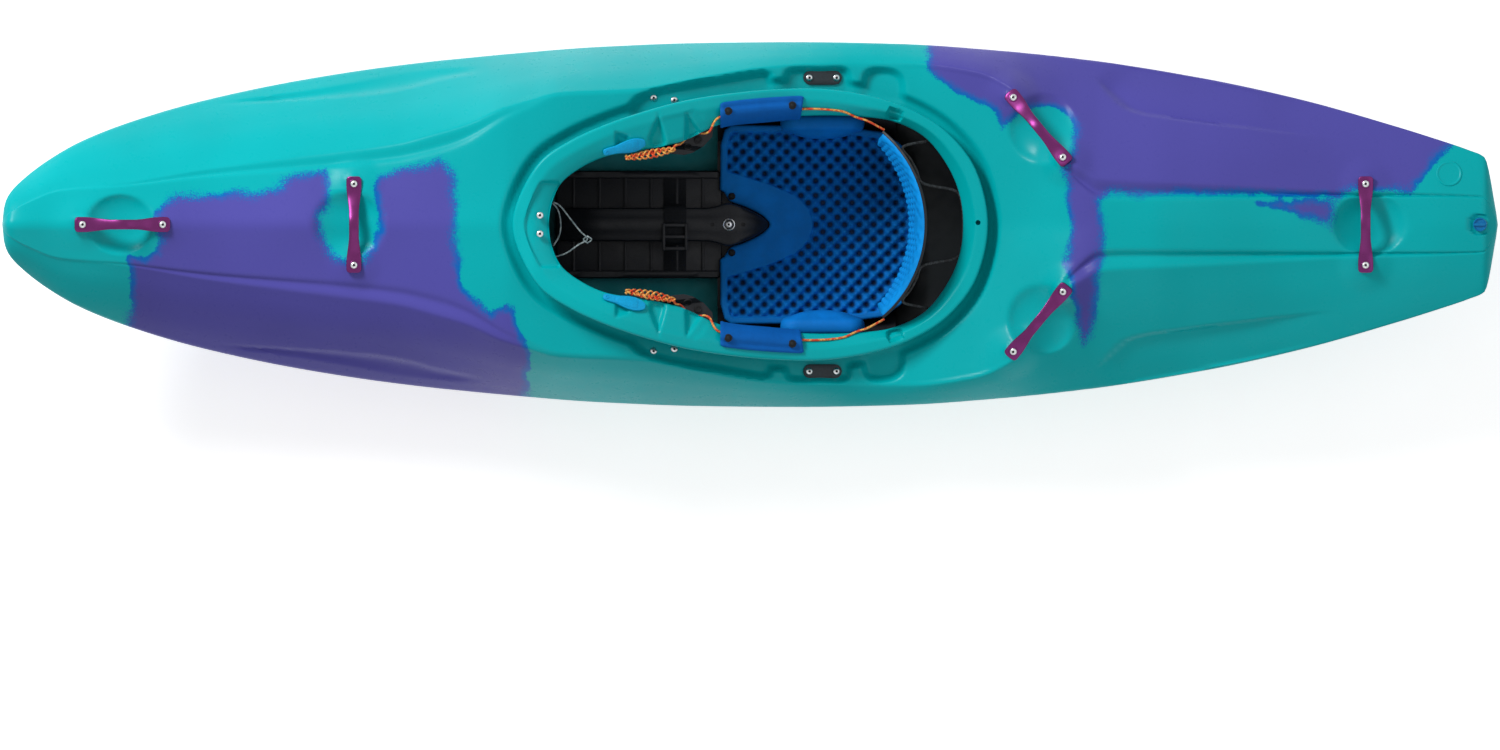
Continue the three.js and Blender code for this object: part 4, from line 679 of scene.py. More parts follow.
class Shape:
    """A mesh under construction, to which turned, drawn, lofted and piped forms are added."""

    def __init__(self) -> None:
        """Starts empty."""
        self.bm = bmesh.new()

    def _take(self, part: bmesh.types.BMesh, frame: Matrix, material: int, recalc: bool = True) -> None:
        """Adds a finished form in its frame, and frees it."""
        if recalc:
            bmesh.ops.recalc_face_normals(part, faces=part.faces)
        for face in part.faces:
            face.material_index = material
        part.transform(frame)
        mesh = bpy.data.meshes.new("part")
        part.to_mesh(mesh)
        part.free()
        self.bm.from_mesh(mesh)
        bpy.data.meshes.remove(mesh)

    def turned(self, profile: Pairs, frame: Matrix = Matrix(), steps: int = 32, material: int = 0) -> "Shape":
        """Adds a profile of radius and height, turned round the frame's z."""
        part = bmesh.new()
        verts = [part.verts.new((radius, 0.0, height)) for radius, height in profile]
        edges = [part.edges.new(pair) for pair in zip(verts, verts[1:])]
        bmesh.ops.spin(part, geom=verts + edges, axis=(0, 0, 1), cent=(0, 0, 0), angle=math.tau, steps=steps,
                       use_merge=True)
        bmesh.ops.remove_doubles(part, verts=part.verts, dist=1e-6)
        self._take(part, frame, material)
        return self

    def drawn(self, outline: Pairs, low: float, high: float, frame: Matrix = Matrix(), bevel: float = 0.0,
              segments: int = 2, material: int = 0) -> "Shape":
        """Adds an outline drawn up from one height to another, its edges rounded over."""
        part = bmesh.new()
        face = part.faces.new([part.verts.new((x, y, low)) for x, y in outline])
        lifted = bmesh.ops.extrude_face_region(part, geom=[face])["geom"]
        bmesh.ops.translate(part, verts=[g for g in lifted if isinstance(g, bmesh.types.BMVert)],
                            vec=(0, 0, high - low))
        bmesh.ops.recalc_face_normals(part, faces=part.faces)
        if bevel:
            flat = [f for f in part.faces if abs(f.normal.z) > 0.9]
            rims = list({e for f in flat for e in f.edges})
            bmesh.ops.bevel(part, geom=rims, offset=bevel, offset_type="OFFSET", affect="EDGES",
                            segments=segments,
                            profile=0.5, material=-1, clamp_overlap=True)
        self._take(part, frame, material)
        return self

    def lofted(self, rows: np.ndarray, frame: Matrix = Matrix(), material: int = 0, round_rows: bool = True,
               ends: bool = True) -> "Shape":
        """Adds a skin laid through rows of places.

        Args:
            rows: rows by places by 3.
            frame: where the form stands.
            material: its material's number.
            round_rows: whether each row closes on itself.
            ends: whether the first and last rows are filled.
        """
        part = bmesh.new()
        if round_rows:
            rows = np.concatenate([rows, rows[:, :1]], axis=1)
        verts = grid_of(part, rows)
        count = rows.shape[1]
        first, last = verts[:count], verts[-count:]
        bmesh.ops.remove_doubles(part, verts=part.verts, dist=1e-7)
        if ends and round_rows:
            for row in (first, last):
                alive = [v for v in row if v.is_valid]
                rim = list({e for v in alive for e in v.link_edges
                            if e.is_boundary and e.other_vert(v) in alive})
                bmesh.ops.holes_fill(part, edges=rim, sides=0)
        self._take(part, frame, material)
        return self

    def piped(self, path: Sequence[Vector], radius: object, sides: int = 8, material: int = 0,
              flat: float = 1.0) -> "Shape":
        """Adds a round bar along a path.

        Args:
            path: the places it follows.
            radius: its radius, or one for each place.
            sides: how many sides it has.
            material: its material's number.
            flat: its height as a share of its width.
        """
        radii = [radius] * len(path) if isinstance(radius, float) else list(radius)
        places = [Vector(p) for p in path]
        normal = Vector((0, 0, 1))
        rows = []
        for i, place in enumerate(places):
            ahead = (places[min(i + 1, len(places) - 1)] - places[max(i - 1, 0)]).normalized()
            normal = (normal - ahead * normal.dot(ahead))
            normal = normal.normalized() if normal.length > 1e-6 else ahead.orthogonal().normalized()
            side = ahead.cross(normal)
            rows.append([place + side * (math.cos(a) * radii[i]) + normal * (math.sin(a) * radii[i] * flat)
                         for a in (math.tau * k / sides for k in range(sides))])
        ends = [[places[0]] * sides, [places[-1]] * sides]
        grid = np.array([[tuple(p) for p in row] for row in [ends[0]] + rows + [ends[1]]])
        self.lofted(grid, material=material, ends=False)
        return self

    def copied(self, node: str, bevel: float = 0.0, segments: int = 2, angle: float = 35.0,
               material: int = 0) -> "Shape":
        """Adds a frame node's own form, its faces joined up and its edges rounded over."""
        part = bmesh.new()
        part.from_mesh(frame["nodes"][node].data)
        part.transform(frame["nodes"][node].matrix_world)
        bmesh.ops.remove_doubles(part, verts=part.verts, dist=1e-5)
        bmesh.ops.dissolve_limit(part, angle_limit=math.radians(1.0), verts=part.verts, edges=part.edges)
        if bevel:
            sharp = [e for e in part.edges if e.is_manifold and e.calc_face_angle(0.0) > math.radians(angle)]
            bmesh.ops.bevel(part, geom=sharp, offset=bevel, offset_type="OFFSET", affect="EDGES",
                            segments=segments,
                            profile=0.5, material=-1, clamp_overlap=True)
        bmesh.ops.triangulate(part, faces=[f for f in part.faces if len(f.verts) > 4])
        self._take(part, Matrix(), material, recalc=False)
        return self

    def finish(self, name: str, body: str, slot: str, materials: Sequence[Material],
               nodes: Sequence[str] = (), sharp_degrees: float = 40.0) -> bpy.types.Object:
        """Makes the scene's piece, gives it its finishes, and sets it on its body.

        Args:
            name: the piece's name.
            body: the body that it rides on.
            slot: the record's material slot; not used.
            materials: its finishes in order of their numbers.
            nodes: the frame's nodes that it stands for.
            sharp_degrees: edges bent more than this stay sharp.

        Returns:
            The piece.
        """
        obj = new_object(name, self.bm, sharp_degrees=sharp_degrees)
        for material in materials:
            obj.data.materials.append(material)
        if nodes:
            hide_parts(*nodes)
        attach(obj, body)
        log.info("%s: %d faces, on %s", name, len(obj.data.polygons), body)
        return obj


def rounded_bar(length: float, width: float, radius: float, steps: int = 5) -> list[tuple[float, float]]:
    """A rectangle's outline with round corners, about the origin."""
    places = []
    for sx, sy, start in ((1, 1, 0), (-1, 1, 90), (-1, -1, 180), (1, -1, 270)):
        cx, cy = sx * (length / 2 - radius), sy * (width / 2 - radius)
        for k in range(steps + 1):
            angle = math.radians(start + 90 * k / steps)
            places.append((cx + radius * math.cos(angle), cy + radius * math.sin(angle)))
    return places


def spline(points: Sequence[Vector], count: int) -> list[Vector]:
    """Places on a smooth open line through points, evenly spaced along it.

    Args:
        points: the places that it passes through.
        count: how many places to give.

    Returns:
        The places.
    """
    places = [Vector(p) for p in points]
    full = [places[0] * 2 - places[1]] + places + [places[-1] * 2 - places[-2]]
    fine: list[Vector] = []
    for i in range(1, len(full) - 2):
        p0, p1, p2, p3 = full[i - 1:i + 3]
        d0, d1, d2 = (max((b - a).length ** 0.5, 1e-4) for a, b in ((p0, p1), (p1, p2), (p2, p3)))
        t1 = ((p1 - p0) / d0 - (p2 - p0) / (d0 + d1) + (p2 - p1) / d1) * d1
        t2 = ((p2 - p1) / d1 - (p3 - p1) / (d1 + d2) + (p3 - p2) / d2) * d1
        for k in range(24):
            w = k / 24
            fine.append(p1 + t1 * w + (-3 * p1 + 3 * p2 - 2 * t1 - t2) * w**2
                        + (2 * p1 - 2 * p2 + t1 + t2) * w**3)
    fine.append(places[-1])
    lengths = np.concatenate([[0.0], np.cumsum([(b - a).length for a, b in zip(fine, fine[1:])])])
    spots = np.linspace(0, lengths[-1], count)
    table = np.array([tuple(p) for p in fine])
    return [Vector([float(np.interp(s, lengths, table[:, k])) for k in range(3)]) for s in spots]


def mirrored(points: Iterable[Vector], side: Side) -> list[Vector]:
    """Starboard places carried to a side."""
    return [Vector((p[0], p[1] * side.value, p[2])) for p in points]


SIDEWAYS = {Side.STARBOARD: Matrix(), Side.PORT: Matrix.Scale(-1, 4, (0, 1, 0))}


@dataclass
class RimForm:
    """The cockpit rim's own lines: shares of the hull for its edges, and metres for its section."""

    hull: HullForm
    stations: int = 720
    lip_drop: float = 0.024
    lip_round: float = 0.012
    top_width: float = 0.022
    neck_inset: float = 0.024
    neck_wall: float = 0.006
    throat_drop: float = 0.019
    step_drop: float = 0.0066
    top_shares: Pairs = (
        (0.341, 0.9), (0.345, 0.905), (0.357, 0.923), (0.366, 0.921), (0.4, 0.905), (0.433, 0.865),
        (0.467, 0.804), (0.5, 0.727), (0.537, 0.64), (0.576, 0.606), (0.619, 0.595), (0.64, 0.604),
        (0.659, 0.622))
    # The starboard half, front to rear: outer edge x, y and opening edge x, y
    edge_shares: Sequence[tuple[float, float, float, float]] = (
        (0.341, 0, 0.3656, 0), (0.3456, 0.153, 0.3676, 0.12), (0.3603, 0.35, 0.3743, 0.23),
        (0.3797, 0.459, 0.3884, 0.317), (0.4031, 0.546, 0.4037, 0.372), (0.4265, 0.612, 0.4265, 0.404),
        (0.4532, 0.672, 0.4545, 0.454), (0.48, 0.71, 0.48, 0.546), (0.5134, 0.738, 0.512, 0.579),
        (0.5468, 0.743, 0.5434, 0.596), (0.5769, 0.71, 0.5722, 0.59), (0.6036, 0.645, 0.5956, 0.563),
        (0.6283, 0.53, 0.617, 0.475), (0.647, 0.361, 0.633, 0.306), (0.6557, 0.191, 0.6404, 0.153),
        (0.6591, 0, 0.6424, 0))

    def __post_init__(self) -> None:
        """Draws both edges as closed smooth loops of places in plan."""
        self.top = smooth_line(self.top_shares)
        self.outer = self._edge(0)
        self.opening = self._edge(2)

    def _edge(self, column: int) -> np.ndarray:
        """One edge of the rim as a loop of places in plan, one for each station."""
        rows = list(self.edge_shares)
        port = [(x, -y, ix, -iy) for x, y, ix, iy in rows[-2:0:-1]]
        shares = np.array(rows + port, dtype=float)[:, column:column + 2]
        corners = np.stack([self.hull.x_of(shares[:, 0]), shares[:, 1] * self.hull.half_beam], axis=1)
        return closed_spline(corners, self.stations)

    def point(self, station: int, inset: float, rise: float) -> np.ndarray:
        """A place on the rim: a distance in from its outer edge and a height over its top line."""
        outer, inner = self.outer[station], self.opening[station]
        inward = (inner - outer) / np.linalg.norm(inner - outer)
        x, y = outer + inward * inset
        z = float(self.top(self.hull.share_of(np.array([x])))[0]) * self.hull.height + rise
        return np.array([x, y, z])

    def width(self, station: int) -> float:
        """The rim's width at a station."""
        return float(np.linalg.norm(self.opening[station] - self.outer[station]))

    def top_profile(self, width: float) -> list[tuple[float, float]]:
        """The rim's top skin from its outer to its opening edge, as inset and rise."""
        return [
            (0.0, -self.lip_round), (self.lip_round * 0.25, -self.lip_round * 0.33), (self.lip_round, 0.0),
            (min(self.top_width, width * 0.55), 0.0), (width * 0.78, -self.throat_drop * 0.45),
            (width, -self.throat_drop),
        ]

    def fall(self, width: float, inset: float) -> float:
        """Height of the rim's top skin below its top line, at an inset."""
        profile = self.top_profile(width)
        return float(np.interp(inset, [p[0] for p in profile], [p[1] for p in profile]))

    def beside(self, x: float) -> tuple[int, int, float]:
        """The two starboard stations on either side of a place along X, and how far between them."""
        half = self.opening[: self.stations // 2 + 1, 0]
        i = int(np.argmax(half >= x))
        return i - 1, i, float((x - half[i - 1]) / (half[i] - half[i - 1]))

    def on_rim(self, x: float, width_share: float, lift: float, side: Side = Side.STARBOARD) -> Vector:
        """A place on the rim's skin beside a place along X, lifted off it."""
        a, b, part = self.beside(x)
        places = []
        for station in (a, b):
            width = self.width(station)
            inset = width * width_share
            places.append(self.point(station, inset, self.fall(width, inset) + lift))
        x_, y_, z_ = places[0] * (1 - part) + places[1] * part
        return Vector((x_, y_ * side.value, z_))

    def off_rim(self, x: float, out: float, drop: float, side: Side = Side.STARBOARD) -> Vector:
        """A place in the opening, past the rim's opening edge and below it."""
        a, b, part = self.beside(x)
        places = [self.point(s, self.width(s) + out, -self.throat_drop - drop) for s in (a, b)]
        x_, y_, z_ = places[0] * (1 - part) + places[1] * part
        return Vector((x_, y_ * side.value, z_))


def closed_spline(corners: np.ndarray, count: int) -> np.ndarray:
    """Evenly spread places on a closed centripetal spline through corners.

    Args:
        corners: m by 2 places.
        count: how many places to give, from the first corner on.

    Returns:
        count by 2 places, even in the spline's own parameter.
    """
    m = len(corners)
    result = np.empty((count, corners.shape[1]))
    for n in range(count):
        u = n / count * m
        i = int(u)
        w = u - i
        p0, p1, p2, p3 = (corners[(i + k) % m] for k in (-1, 0, 1, 2))
        d0, d1, d2 = (max(float(np.dot(b - a, b - a)) ** 0.25, 1e-6) for a,
                      b in ((p0, p1), (p1, p2), (p2, p3)))
        t1 = ((p1 - p0) / d0 - (p2 - p0) / (d0 + d1) + (p2 - p1) / d1) * d1
        t2 = ((p2 - p1) / d1 - (p3 - p1) / (d1 + d2) + (p3 - p2) / d2) * d1
        c2 = -3 * p1 + 3 * p2 - 2 * t1 - t2
        c3 = 2 * p1 - 2 * p2 + t1 + t2
        result[n] = p1 + t1 * w + c2 * w * w + c3 * w**3
    return result


@dataclass(frozen=True)
class Bowl:
    """A dished hollow under a grab handle."""

    x: float
    y: float
    radii: tuple[float, float]
    depth: float = 0.021
    steep: float = 1.12

    def hollow(self, points: np.ndarray) -> np.ndarray:
        """How far the hollow is pressed in at places in plan: a dish with a crisp edge."""
        r2 = ((points[:, 0] - self.x) / self.radii[0]) ** 2 + ((points[:, 1] - self.y) / self.radii[1]) ** 2
        brink = math.sqrt(self.steep**2 - 1)
        dish = (np.sqrt(self.steep**2 - np.clip(r2, 0, 1)) - brink) / (self.steep - brink)
        return self.depth * dish


@dataclass(frozen=True)
class Pocket:
    """A hollow beside the rim, as stations of x share, inner side and outer side."""

    shares: Sequence[tuple[float, float, float]]

    def outline(self, form: HullForm) -> np.ndarray:
        """The hollow's outline in plan on the starboard side."""
        inner = [(form.x_of(s), a * form.half_beam) for s, a, _ in self.shares]
        outer = [(form.x_of(s), b * form.half_beam) for s, _, b in reversed(self.shares)]
        return closed_spline(np.array(inner + outer), 120)


@dataclass
class Deck:
    """Everything that is pressed into the deck, in plan places on the starboard side."""

    form: HullForm
    rim: RimForm
    moat_depth: float = 0.013
    moat_outside: float = 0.009
    moat_slope: float = 0.014
    pocket_depth: float = 0.012
    # How much of the valley's depth the pockets' floors follow, and how their walls start and slope
    pocket_moat_share: float = 0.4
    pocket_inset: float = 0.0005
    pocket_slope: float = 0.017
    # The bosses under the handles' feet: the gap left under a foot, the flat top and the slope round it
    boss_gap: float = 0.0006
    boss_radius: float = 0.0145
    boss_slope: float = 0.04
    bowls: Sequence[Bowl] = (
        Bowl(-1.124, 0.0, (0.061, 0.054)), Bowl(-0.716, 0.0, (0.066, 0.059)),
        Bowl(0.524, 0.171, (0.062, 0.062)),
        Bowl(0.522, -0.169, (0.062, 0.062)), Bowl(1.106, 0.0, (0.066, 0.057)))
    pockets: Sequence[Pocket] = (
        Pocket(((0.418, 0.59, 0.66), (0.423, 0.55, 0.712), (0.433, 0.55, 0.75), (0.452, 0.60, 0.786),
                (0.48, 0.65, 0.822), (0.502, 0.67, 0.852), (0.511, 0.68, 0.856), (0.516, 0.70, 0.83))),
        Pocket(((0.521, 0.70, 0.82), (0.525, 0.68, 0.866), (0.548, 0.68, 0.876), (0.565, 0.68, 0.872),
                (0.569, 0.70, 0.83))),
        Pocket(((0.574, 0.69, 0.82), (0.58, 0.67, 0.868), (0.597, 0.64, 0.862), (0.604, 0.66, 0.81))))
    plug: tuple[float, float] = (1.303, 0.0)
    plug_recess: tuple[float, float] = (0.023, 0.006)

    def pocket_floor(self, x: np.ndarray) -> np.ndarray:
        """Height of the pockets' floors at places along X."""
        share = self.form.share_of(x)
        crest = self.form.lines["crest_height"](share) * self.form.height
        return crest - self.pocket_depth - self.moat_depth * self.pocket_moat_share

    def __post_init__(self) -> None:
        """Finds the middles of the handles' feet, and how far each stands over the deck."""
        self.feet = [(foot, spot.lift) for spot in HANDLE_SPOTS for foot in spot.feet(self.form)]

    def deep_press(self, points: np.ndarray, reach: float) -> np.ndarray:
        """The lowest pressed height within a short reach of each place, for the skin's inner face."""
        heights = [self.press(points)]
        for dx, dy in ((reach, 0.0), (-reach, 0.0), (0.0, reach), (0.0, -reach)):
            moved = points + np.array([dx, dy, 0.0])
            heights.append(self.press(moved))
        return np.min(heights, axis=0)

    def press(self, points: np.ndarray) -> np.ndarray:
        """The deck's heights once its hollows are pressed in.

        Args:
            points: n by 3 places on the plain deck.

        Returns:
            n heights.
        """
        plan = points[:, :2]
        folded = np.stack([plan[:, 0], np.abs(plan[:, 1])], axis=1)
        z = points[:, 2].copy()
        gap, _, _ = distance_to_line(plan, self.rim.outer, closed=True)
        out = np.where(inside(plan, self.rim.outer), -gap, gap)
        valley = ease((self.moat_outside + self.moat_slope - out) / self.moat_slope)
        z -= self.moat_depth * valley
        for pocket in self.pockets:
            depth = depth_inside(folded, pocket.outline(self.form))
            wall = ease((depth - self.pocket_inset) / self.pocket_slope)
            floor = self.pocket_floor(plan[:, 0])
            z = np.where(depth > 0, z - np.maximum(z - floor, 0.0) * wall, z)
        for foot, lift in self.feet:
            gap = np.hypot(plan[:, 0] - foot.x, plan[:, 1] - foot.y)
            boss = 1 - ease((gap - self.boss_radius) / self.boss_slope)
            z += max(lift - self.boss_gap, 0.0) * boss
        for bowl in self.bowls:
            z -= bowl.hollow(plan)
        for foot, _ in self.feet:
            gap = np.hypot(plan[:, 0] - foot.x, plan[:, 1] - foot.y)
            boss = foot.z - 0.0006 - 0.03 * ease((gap - 0.0137) / 0.016)
            z = np.where(gap < 0.03, np.maximum(z, boss), z)
        radius, depth = self.plug_recess
        deck = self.form.deck_height(*self.plug)
        gap = np.linalg.norm(plan - np.array(self.plug), axis=1)
        well = deck - depth + (deck + 0.02) * ease((gap - radius * 0.82) / (radius * 0.4))
        z = np.where(gap < radius * 1.4, soft_min(z, well, 0.002), z)
        return z


@dataclass
class Hull:
    """The moulded skin: a closed loft with its hollows, its inner face, and the cockpit's opening."""

    form: HullForm
    deck: Deck
    rim: RimForm
    skin: Material
    lining: Material
    flute_depth: float = 0.0085
    swoosh_depth: float = 0.015
    # Outlines of the purple patches, as pixel coordinates read off the photograph
    port_bow_patch: Pairs = field(default_factory=lambda: plan_places(
        (124, 420), (127, 330), (131, 300), (130, 268), (129, 256), (146, 257), (157, 252), (160, 240),
        (155, 222), (155, 211), (163, 202), (176, 196), (204, 194), (230, 192), (262, 190), (275, 187),
        (288, 177), (300, 172), (326, 170), (330, 186), (328, 204), (321, 218), (323, 236), (331, 250),
        (345, 259), (360, 259), (373, 247), (379, 228), (377, 205), (374, 188), (380, 178), (402, 168),
        (424, 162), (441, 160), (452, 173), (457, 210), (457, 240), (461, 282), (478, 304), (490, 313),
        (506, 306), (515, 306), (518, 326), (522, 338), (533, 352), (529, 368), (523, 420)))
    stern_patch: Pairs = field(default_factory=lambda: plan_places(
        (925, 20), (927, 52), (929, 71), (941, 82), (957, 93), (971, 99), (983, 104), (996, 112), (1001, 130),
        (1012, 119), (1028, 110), (1042, 107), (1052, 106), (1062, 112), (1074, 119), (1074, 136),
        (1070, 150), (1064, 158), (1062, 172), (1067, 200), (1069, 222), (1067, 248), (1062, 266),
        (1068, 280), (1074, 305), (1079, 330), (1083, 345), (1091, 336), (1096, 308), (1098, 280),
        (1102, 262), (1105, 240), (1104, 216), (1100, 200), (1112, 195), (1180, 194), (1252, 195),
        (1300, 196), (1336, 198), (1352, 188), (1380, 190), (1410, 192), (1424, 180), (1432, 164),
        (1446, 152), (1456, 141), (1466, 120), (1472, 20)))
    stern_spot: Pairs = field(default_factory=lambda: plan_places(
        (1255, 202), (1290, 200), (1334, 197), (1337, 210), (1330, 228), (1306, 219), (1276, 210)))

    def stations(self) -> np.ndarray:
        """Shares of the length where the skin has a row, closer where the deck has more in it."""
        fine = np.linspace(0.0, 1.0, 4001)
        x = self.form.x_of(fine)
        busy = 1.0 + 1.1 * ease((x + 0.50) / 0.06) * ease((0.66 - x) / 0.06)
        for middle, half in ((-1.121, 0.08), (-0.716, 0.085), (1.104, 0.08), (1.303, 0.04)):
            busy += 1.0 * ease((half - np.abs(x - middle)) / 0.03)
        busy += 3.0 * np.exp(-fine / 0.006) + 3.0 * np.exp(-(1 - fine) / 0.006)
        total = np.concatenate([[0.0], np.cumsum((busy[1:] + busy[:-1]) / 2)])
        return np.interp(np.linspace(0, total[-1], self.form.stations), total, fine)

    def half_rows(self, shares: np.ndarray, columns: int) -> tuple[np.ndarray, np.ndarray]:
        """Places round half of each section, spread by how much detail each part of it needs.

        Args:
            shares: the stations' shares of the length.
            columns: places on each half section.

        Returns:
            rows by columns by 2 places as y and z, and how far round each one is, in corners.
        """
        corners = self.form.knots(shares)
        fine = np.linspace(0.0, 12.0, 481)
        opening = self.rim.opening[: self.rim.stations // 2 + 1]
        reach = np.interp(self.form.x_of(shares), opening[:, 0], opening[:, 1], left=0.0, right=0.0)
        rows = np.empty((len(shares), columns, 2))
        spots = np.empty((len(shares), columns))
        for r in range(len(shares)):
            path = self.form.along_section(corners[r], fine)
            middle = (path[1:] + path[:-1]) / 2
            q = (fine[1:] + fine[:-1]) / 2
            weight = np.where(q < 6.4, 1.0, 0.45)
            weight = weight + 2.2 * np.exp(-((q - 3) / 0.12) ** 2) + 1.8 * np.exp(-((q - 1.6) / 0.6) ** 2)
            weight = weight + 0.6 * np.exp(-((q - 4.2) / 0.9) ** 2)
            weight = weight + 0.8 * np.exp(-((q - 6) / 0.1) ** 2) + 1.5 * np.exp(-((q - 7.5) / 0.8) ** 2)
            free = ease((reach[r] - 0.03 - middle[:, 0]) / 0.03)
            weight = weight * (1 - 0.85 * free)
            cost = np.linalg.norm(np.diff(path, axis=0), axis=1) * weight + 1e-6
            total = np.concatenate([[0.0], np.cumsum(cost)])
            spots[r] = np.interp(np.linspace(0, total[-1], columns), total, fine)
            rows[r] = self.form.along_section(corners[r], spots[r])
        return rows, spots

    def sheet(self, shares: np.ndarray, columns: int, bare: bool = False) -> tuple[np.ndarray, np.ndarray]:
        """The whole skin as rows that run once round the hull, from the keel and back to it.

        Args:
            shares: the stations' shares of the length.
            columns: places on each half section.
            bare: whether its hollows are left out.

        Returns:
            rows by round by 3 places, and each one's distance round, in corners.
        """
        half, spots = self.half_rows(shares, columns)
        starboard = half[:, ::-1]
        port = half[:, 1:] * np.array([-1.0, 1.0])
        around = np.concatenate([starboard, port], axis=1)
        q = np.concatenate([spots[:, ::-1], spots[:, 1:]], axis=1)
        x = np.repeat(self.form.x_of(shares)[:, None], around.shape[1], axis=1)
        places = np.concatenate([x[:, :, None], around], axis=2)
        if not bare:
            flat = places.reshape(-1, 3)
            top = q.reshape(-1) < 6.0
            flat[top, 2] = self.deck.press(flat[top])
            self.carve_sides(flat, q.reshape(-1))
        return places, q

    def liner(self, shares: np.ndarray, columns: int, reach: float, margin: float) -> np.ndarray:
        """The skin's inner face: the bare skin moved in by the wall, and kept below every hollow of the deck.

        Args:
            shares: the stations' shares of the length.
            columns: places on each half section.
            reach: how far round each place a hollow counts.
            margin: how far below a hollow's own floor the face stays.

        Returns:
            Rows by round by 3 places.
        """
        places, q = self.sheet(shares, columns, bare=True)
        inner = self.inset(places, self.form.wall)
        low = places.reshape(-1, 3).copy()
        rounds = q.reshape(-1)
        top = rounds < 6.0
        low[top, 2] = self.deck.deep_press(low[top], reach)
        self.carve_sides(low, rounds)
        groove = np.repeat(self.form.lines["groove_depth"](shares) * self.form.groove_depth, q.shape[1])
        limit = low[:, 2] - margin - np.where(rounds < 3.4, groove, 0.0)
        limit = np.where(rounds < 5.6, limit, 9.0).reshape(q.shape)
        around = np.pad(limit, 1, mode="edge")
        rows, columns_ = limit.shape
        limit = np.min([around[i:i + rows, j:j + columns_] for i in range(3) for j in range(3)], axis=0)
        limit = np.where(q < 5.6, limit, 9.0)
        inner[:, :, 2] = np.minimum(inner[:, :, 2], limit)
        return inner

    def carve_sides(self, places: np.ndarray, q: np.ndarray) -> None:
        """Draws in the flutes along the bow's sides and the soft steps on the stern's sides.

        Args:
            places: n by 3 places, changed in place.
            q: how far round each lies, in corners.
        """
        x, y = places[:, 0], np.abs(places[:, 1])
        upper = smooth_line(((-0.96, 0.214), (-0.803, 0.223), (-0.703, 0.230), (-0.619, 0.241),
                             (-0.54, 0.262), (-0.48, 0.272)))
        lower = smooth_line(((-0.96, 0.216), (-0.803, 0.236), (-0.714, 0.252), (-0.619, 0.270),
                             (-0.482, 0.284)))
        inner, outer = upper(x), lower(x)
        t = (y - inner) / np.maximum(outer - inner, 1e-4)
        fade = ease((x + 0.96) / 0.12) * ease((-0.47 - x) / 0.07)
        hollow = np.where((t > 0) & (t < 1.0), np.sin(np.pi * np.clip(t, 0, 1) ** 0.6), 0.0)
        places[:, 2] -= self.flute_depth * hollow * fade * (q > 3.1)
        swoosh = np.array([(0.612, 0.262), (0.648, 0.226), (0.672, 0.205), (0.70, 0.195), (0.787, 0.183),
                           (0.944, 0.163), (1.06, 0.15)])
        band = (q > 3.1) & (q < 5.9) & (x > 0.58) & (x < 1.12)
        gap, side, along = distance_to_line(np.stack([x[band], y[band]], axis=1), swoosh, closed=False)
        outboard = np.where(side > 0, gap, 0.0)
        step = ease(outboard / 0.0055) * np.exp(-outboard / 0.05)
        step = step * ease(along / 0.1) * ease((1 - along) / 0.5)
        places[band, 2] -= self.swoosh_depth * step

    def dye(self, places: np.ndarray, q: np.ndarray) -> np.ndarray:
        """Metres inside a purple patch at each place; negative outside."""
        share = self.form.share_of(places[:, 0])
        edge = self.form.lines["half_beam"](share) * self.form.half_beam
        y = np.where(q > 6.0, np.sign(places[:, 1]) * edge, places[:, 1])
        plan = np.stack([places[:, 0], y], axis=1)
        best = np.full(len(places), -1.0)
        for outline in (self.port_bow_patch, self.stern_patch, self.stern_spot):
            best = np.maximum(best, depth_inside(plan, np.array(outline)))
        return np.clip(best, -0.1, 0.1)

    def closed_sheet(self, bm: bmesh.types.BMesh, points: np.ndarray, dye: Optional[np.ndarray],
                     inward: bool) -> None:
        """Adds a sheet that runs round the hull, closed at the keel and at both tips.

        Args:
            bm: the mesh to add to.
            points: rows by round by 3 places.
            dye: metres inside a purple patch for each place, or none.
            inward: whether the sheet is the skin's inner face.
        """
        rows, columns, _ = points.shape
        points = points.copy()
        for row in (0, rows - 1):
            points[row] = points[row].mean(axis=0) * np.array([1.0, 0.0, 1.0])
        points[:, -1] = points[:, 0]
        before = set(bm.verts)
        verts = grid_of(bm, points)
        layer = bm.verts.layers.float.get("dye") or bm.verts.layers.float.new("dye")
        values = np.full(rows * columns, -0.1) if dye is None else dye.reshape(-1)
        for vert, value in zip(verts, values):
            vert[layer] = value
        bmesh.ops.remove_doubles(bm, verts=verts, dist=1e-6)
        mine = [v for v in bm.verts if v not in before]
        faces = list({f for v in mine for f in v.link_faces})
        bmesh.ops.recalc_face_normals(bm, faces=faces)
        if inward:
            bmesh.ops.reverse_faces(bm, faces=faces)
            for face in faces:
                face.material_index = 1

    def mouth(self) -> bpy.types.Object:
        """The solid that the cockpit's opening is cut with: an upright prism inside the rim's neck."""
        inset = self.rim.neck_inset + self.rim.neck_wall / 2
        edge = np.array([self.rim.point(s, inset, 0.0)[:2] for s in range(0, self.rim.stations, 3)])
        bm = bmesh.new()
        verts = [bm.verts.new((x, y, self.form.height * 0.25)) for x, y in edge]
        floor = bm.faces.new(verts)
        lifted = bmesh.ops.extrude_face_region(bm, geom=[floor])["geom"]
        bmesh.ops.translate(bm, verts=[g for g in lifted if isinstance(g, bmesh.types.BMVert)],
                            vec=(0, 0, self.form.height))
        bmesh.ops.recalc_face_normals(bm, faces=bm.faces)
        return new_object("mouth_cutter", bm, smooth=False)

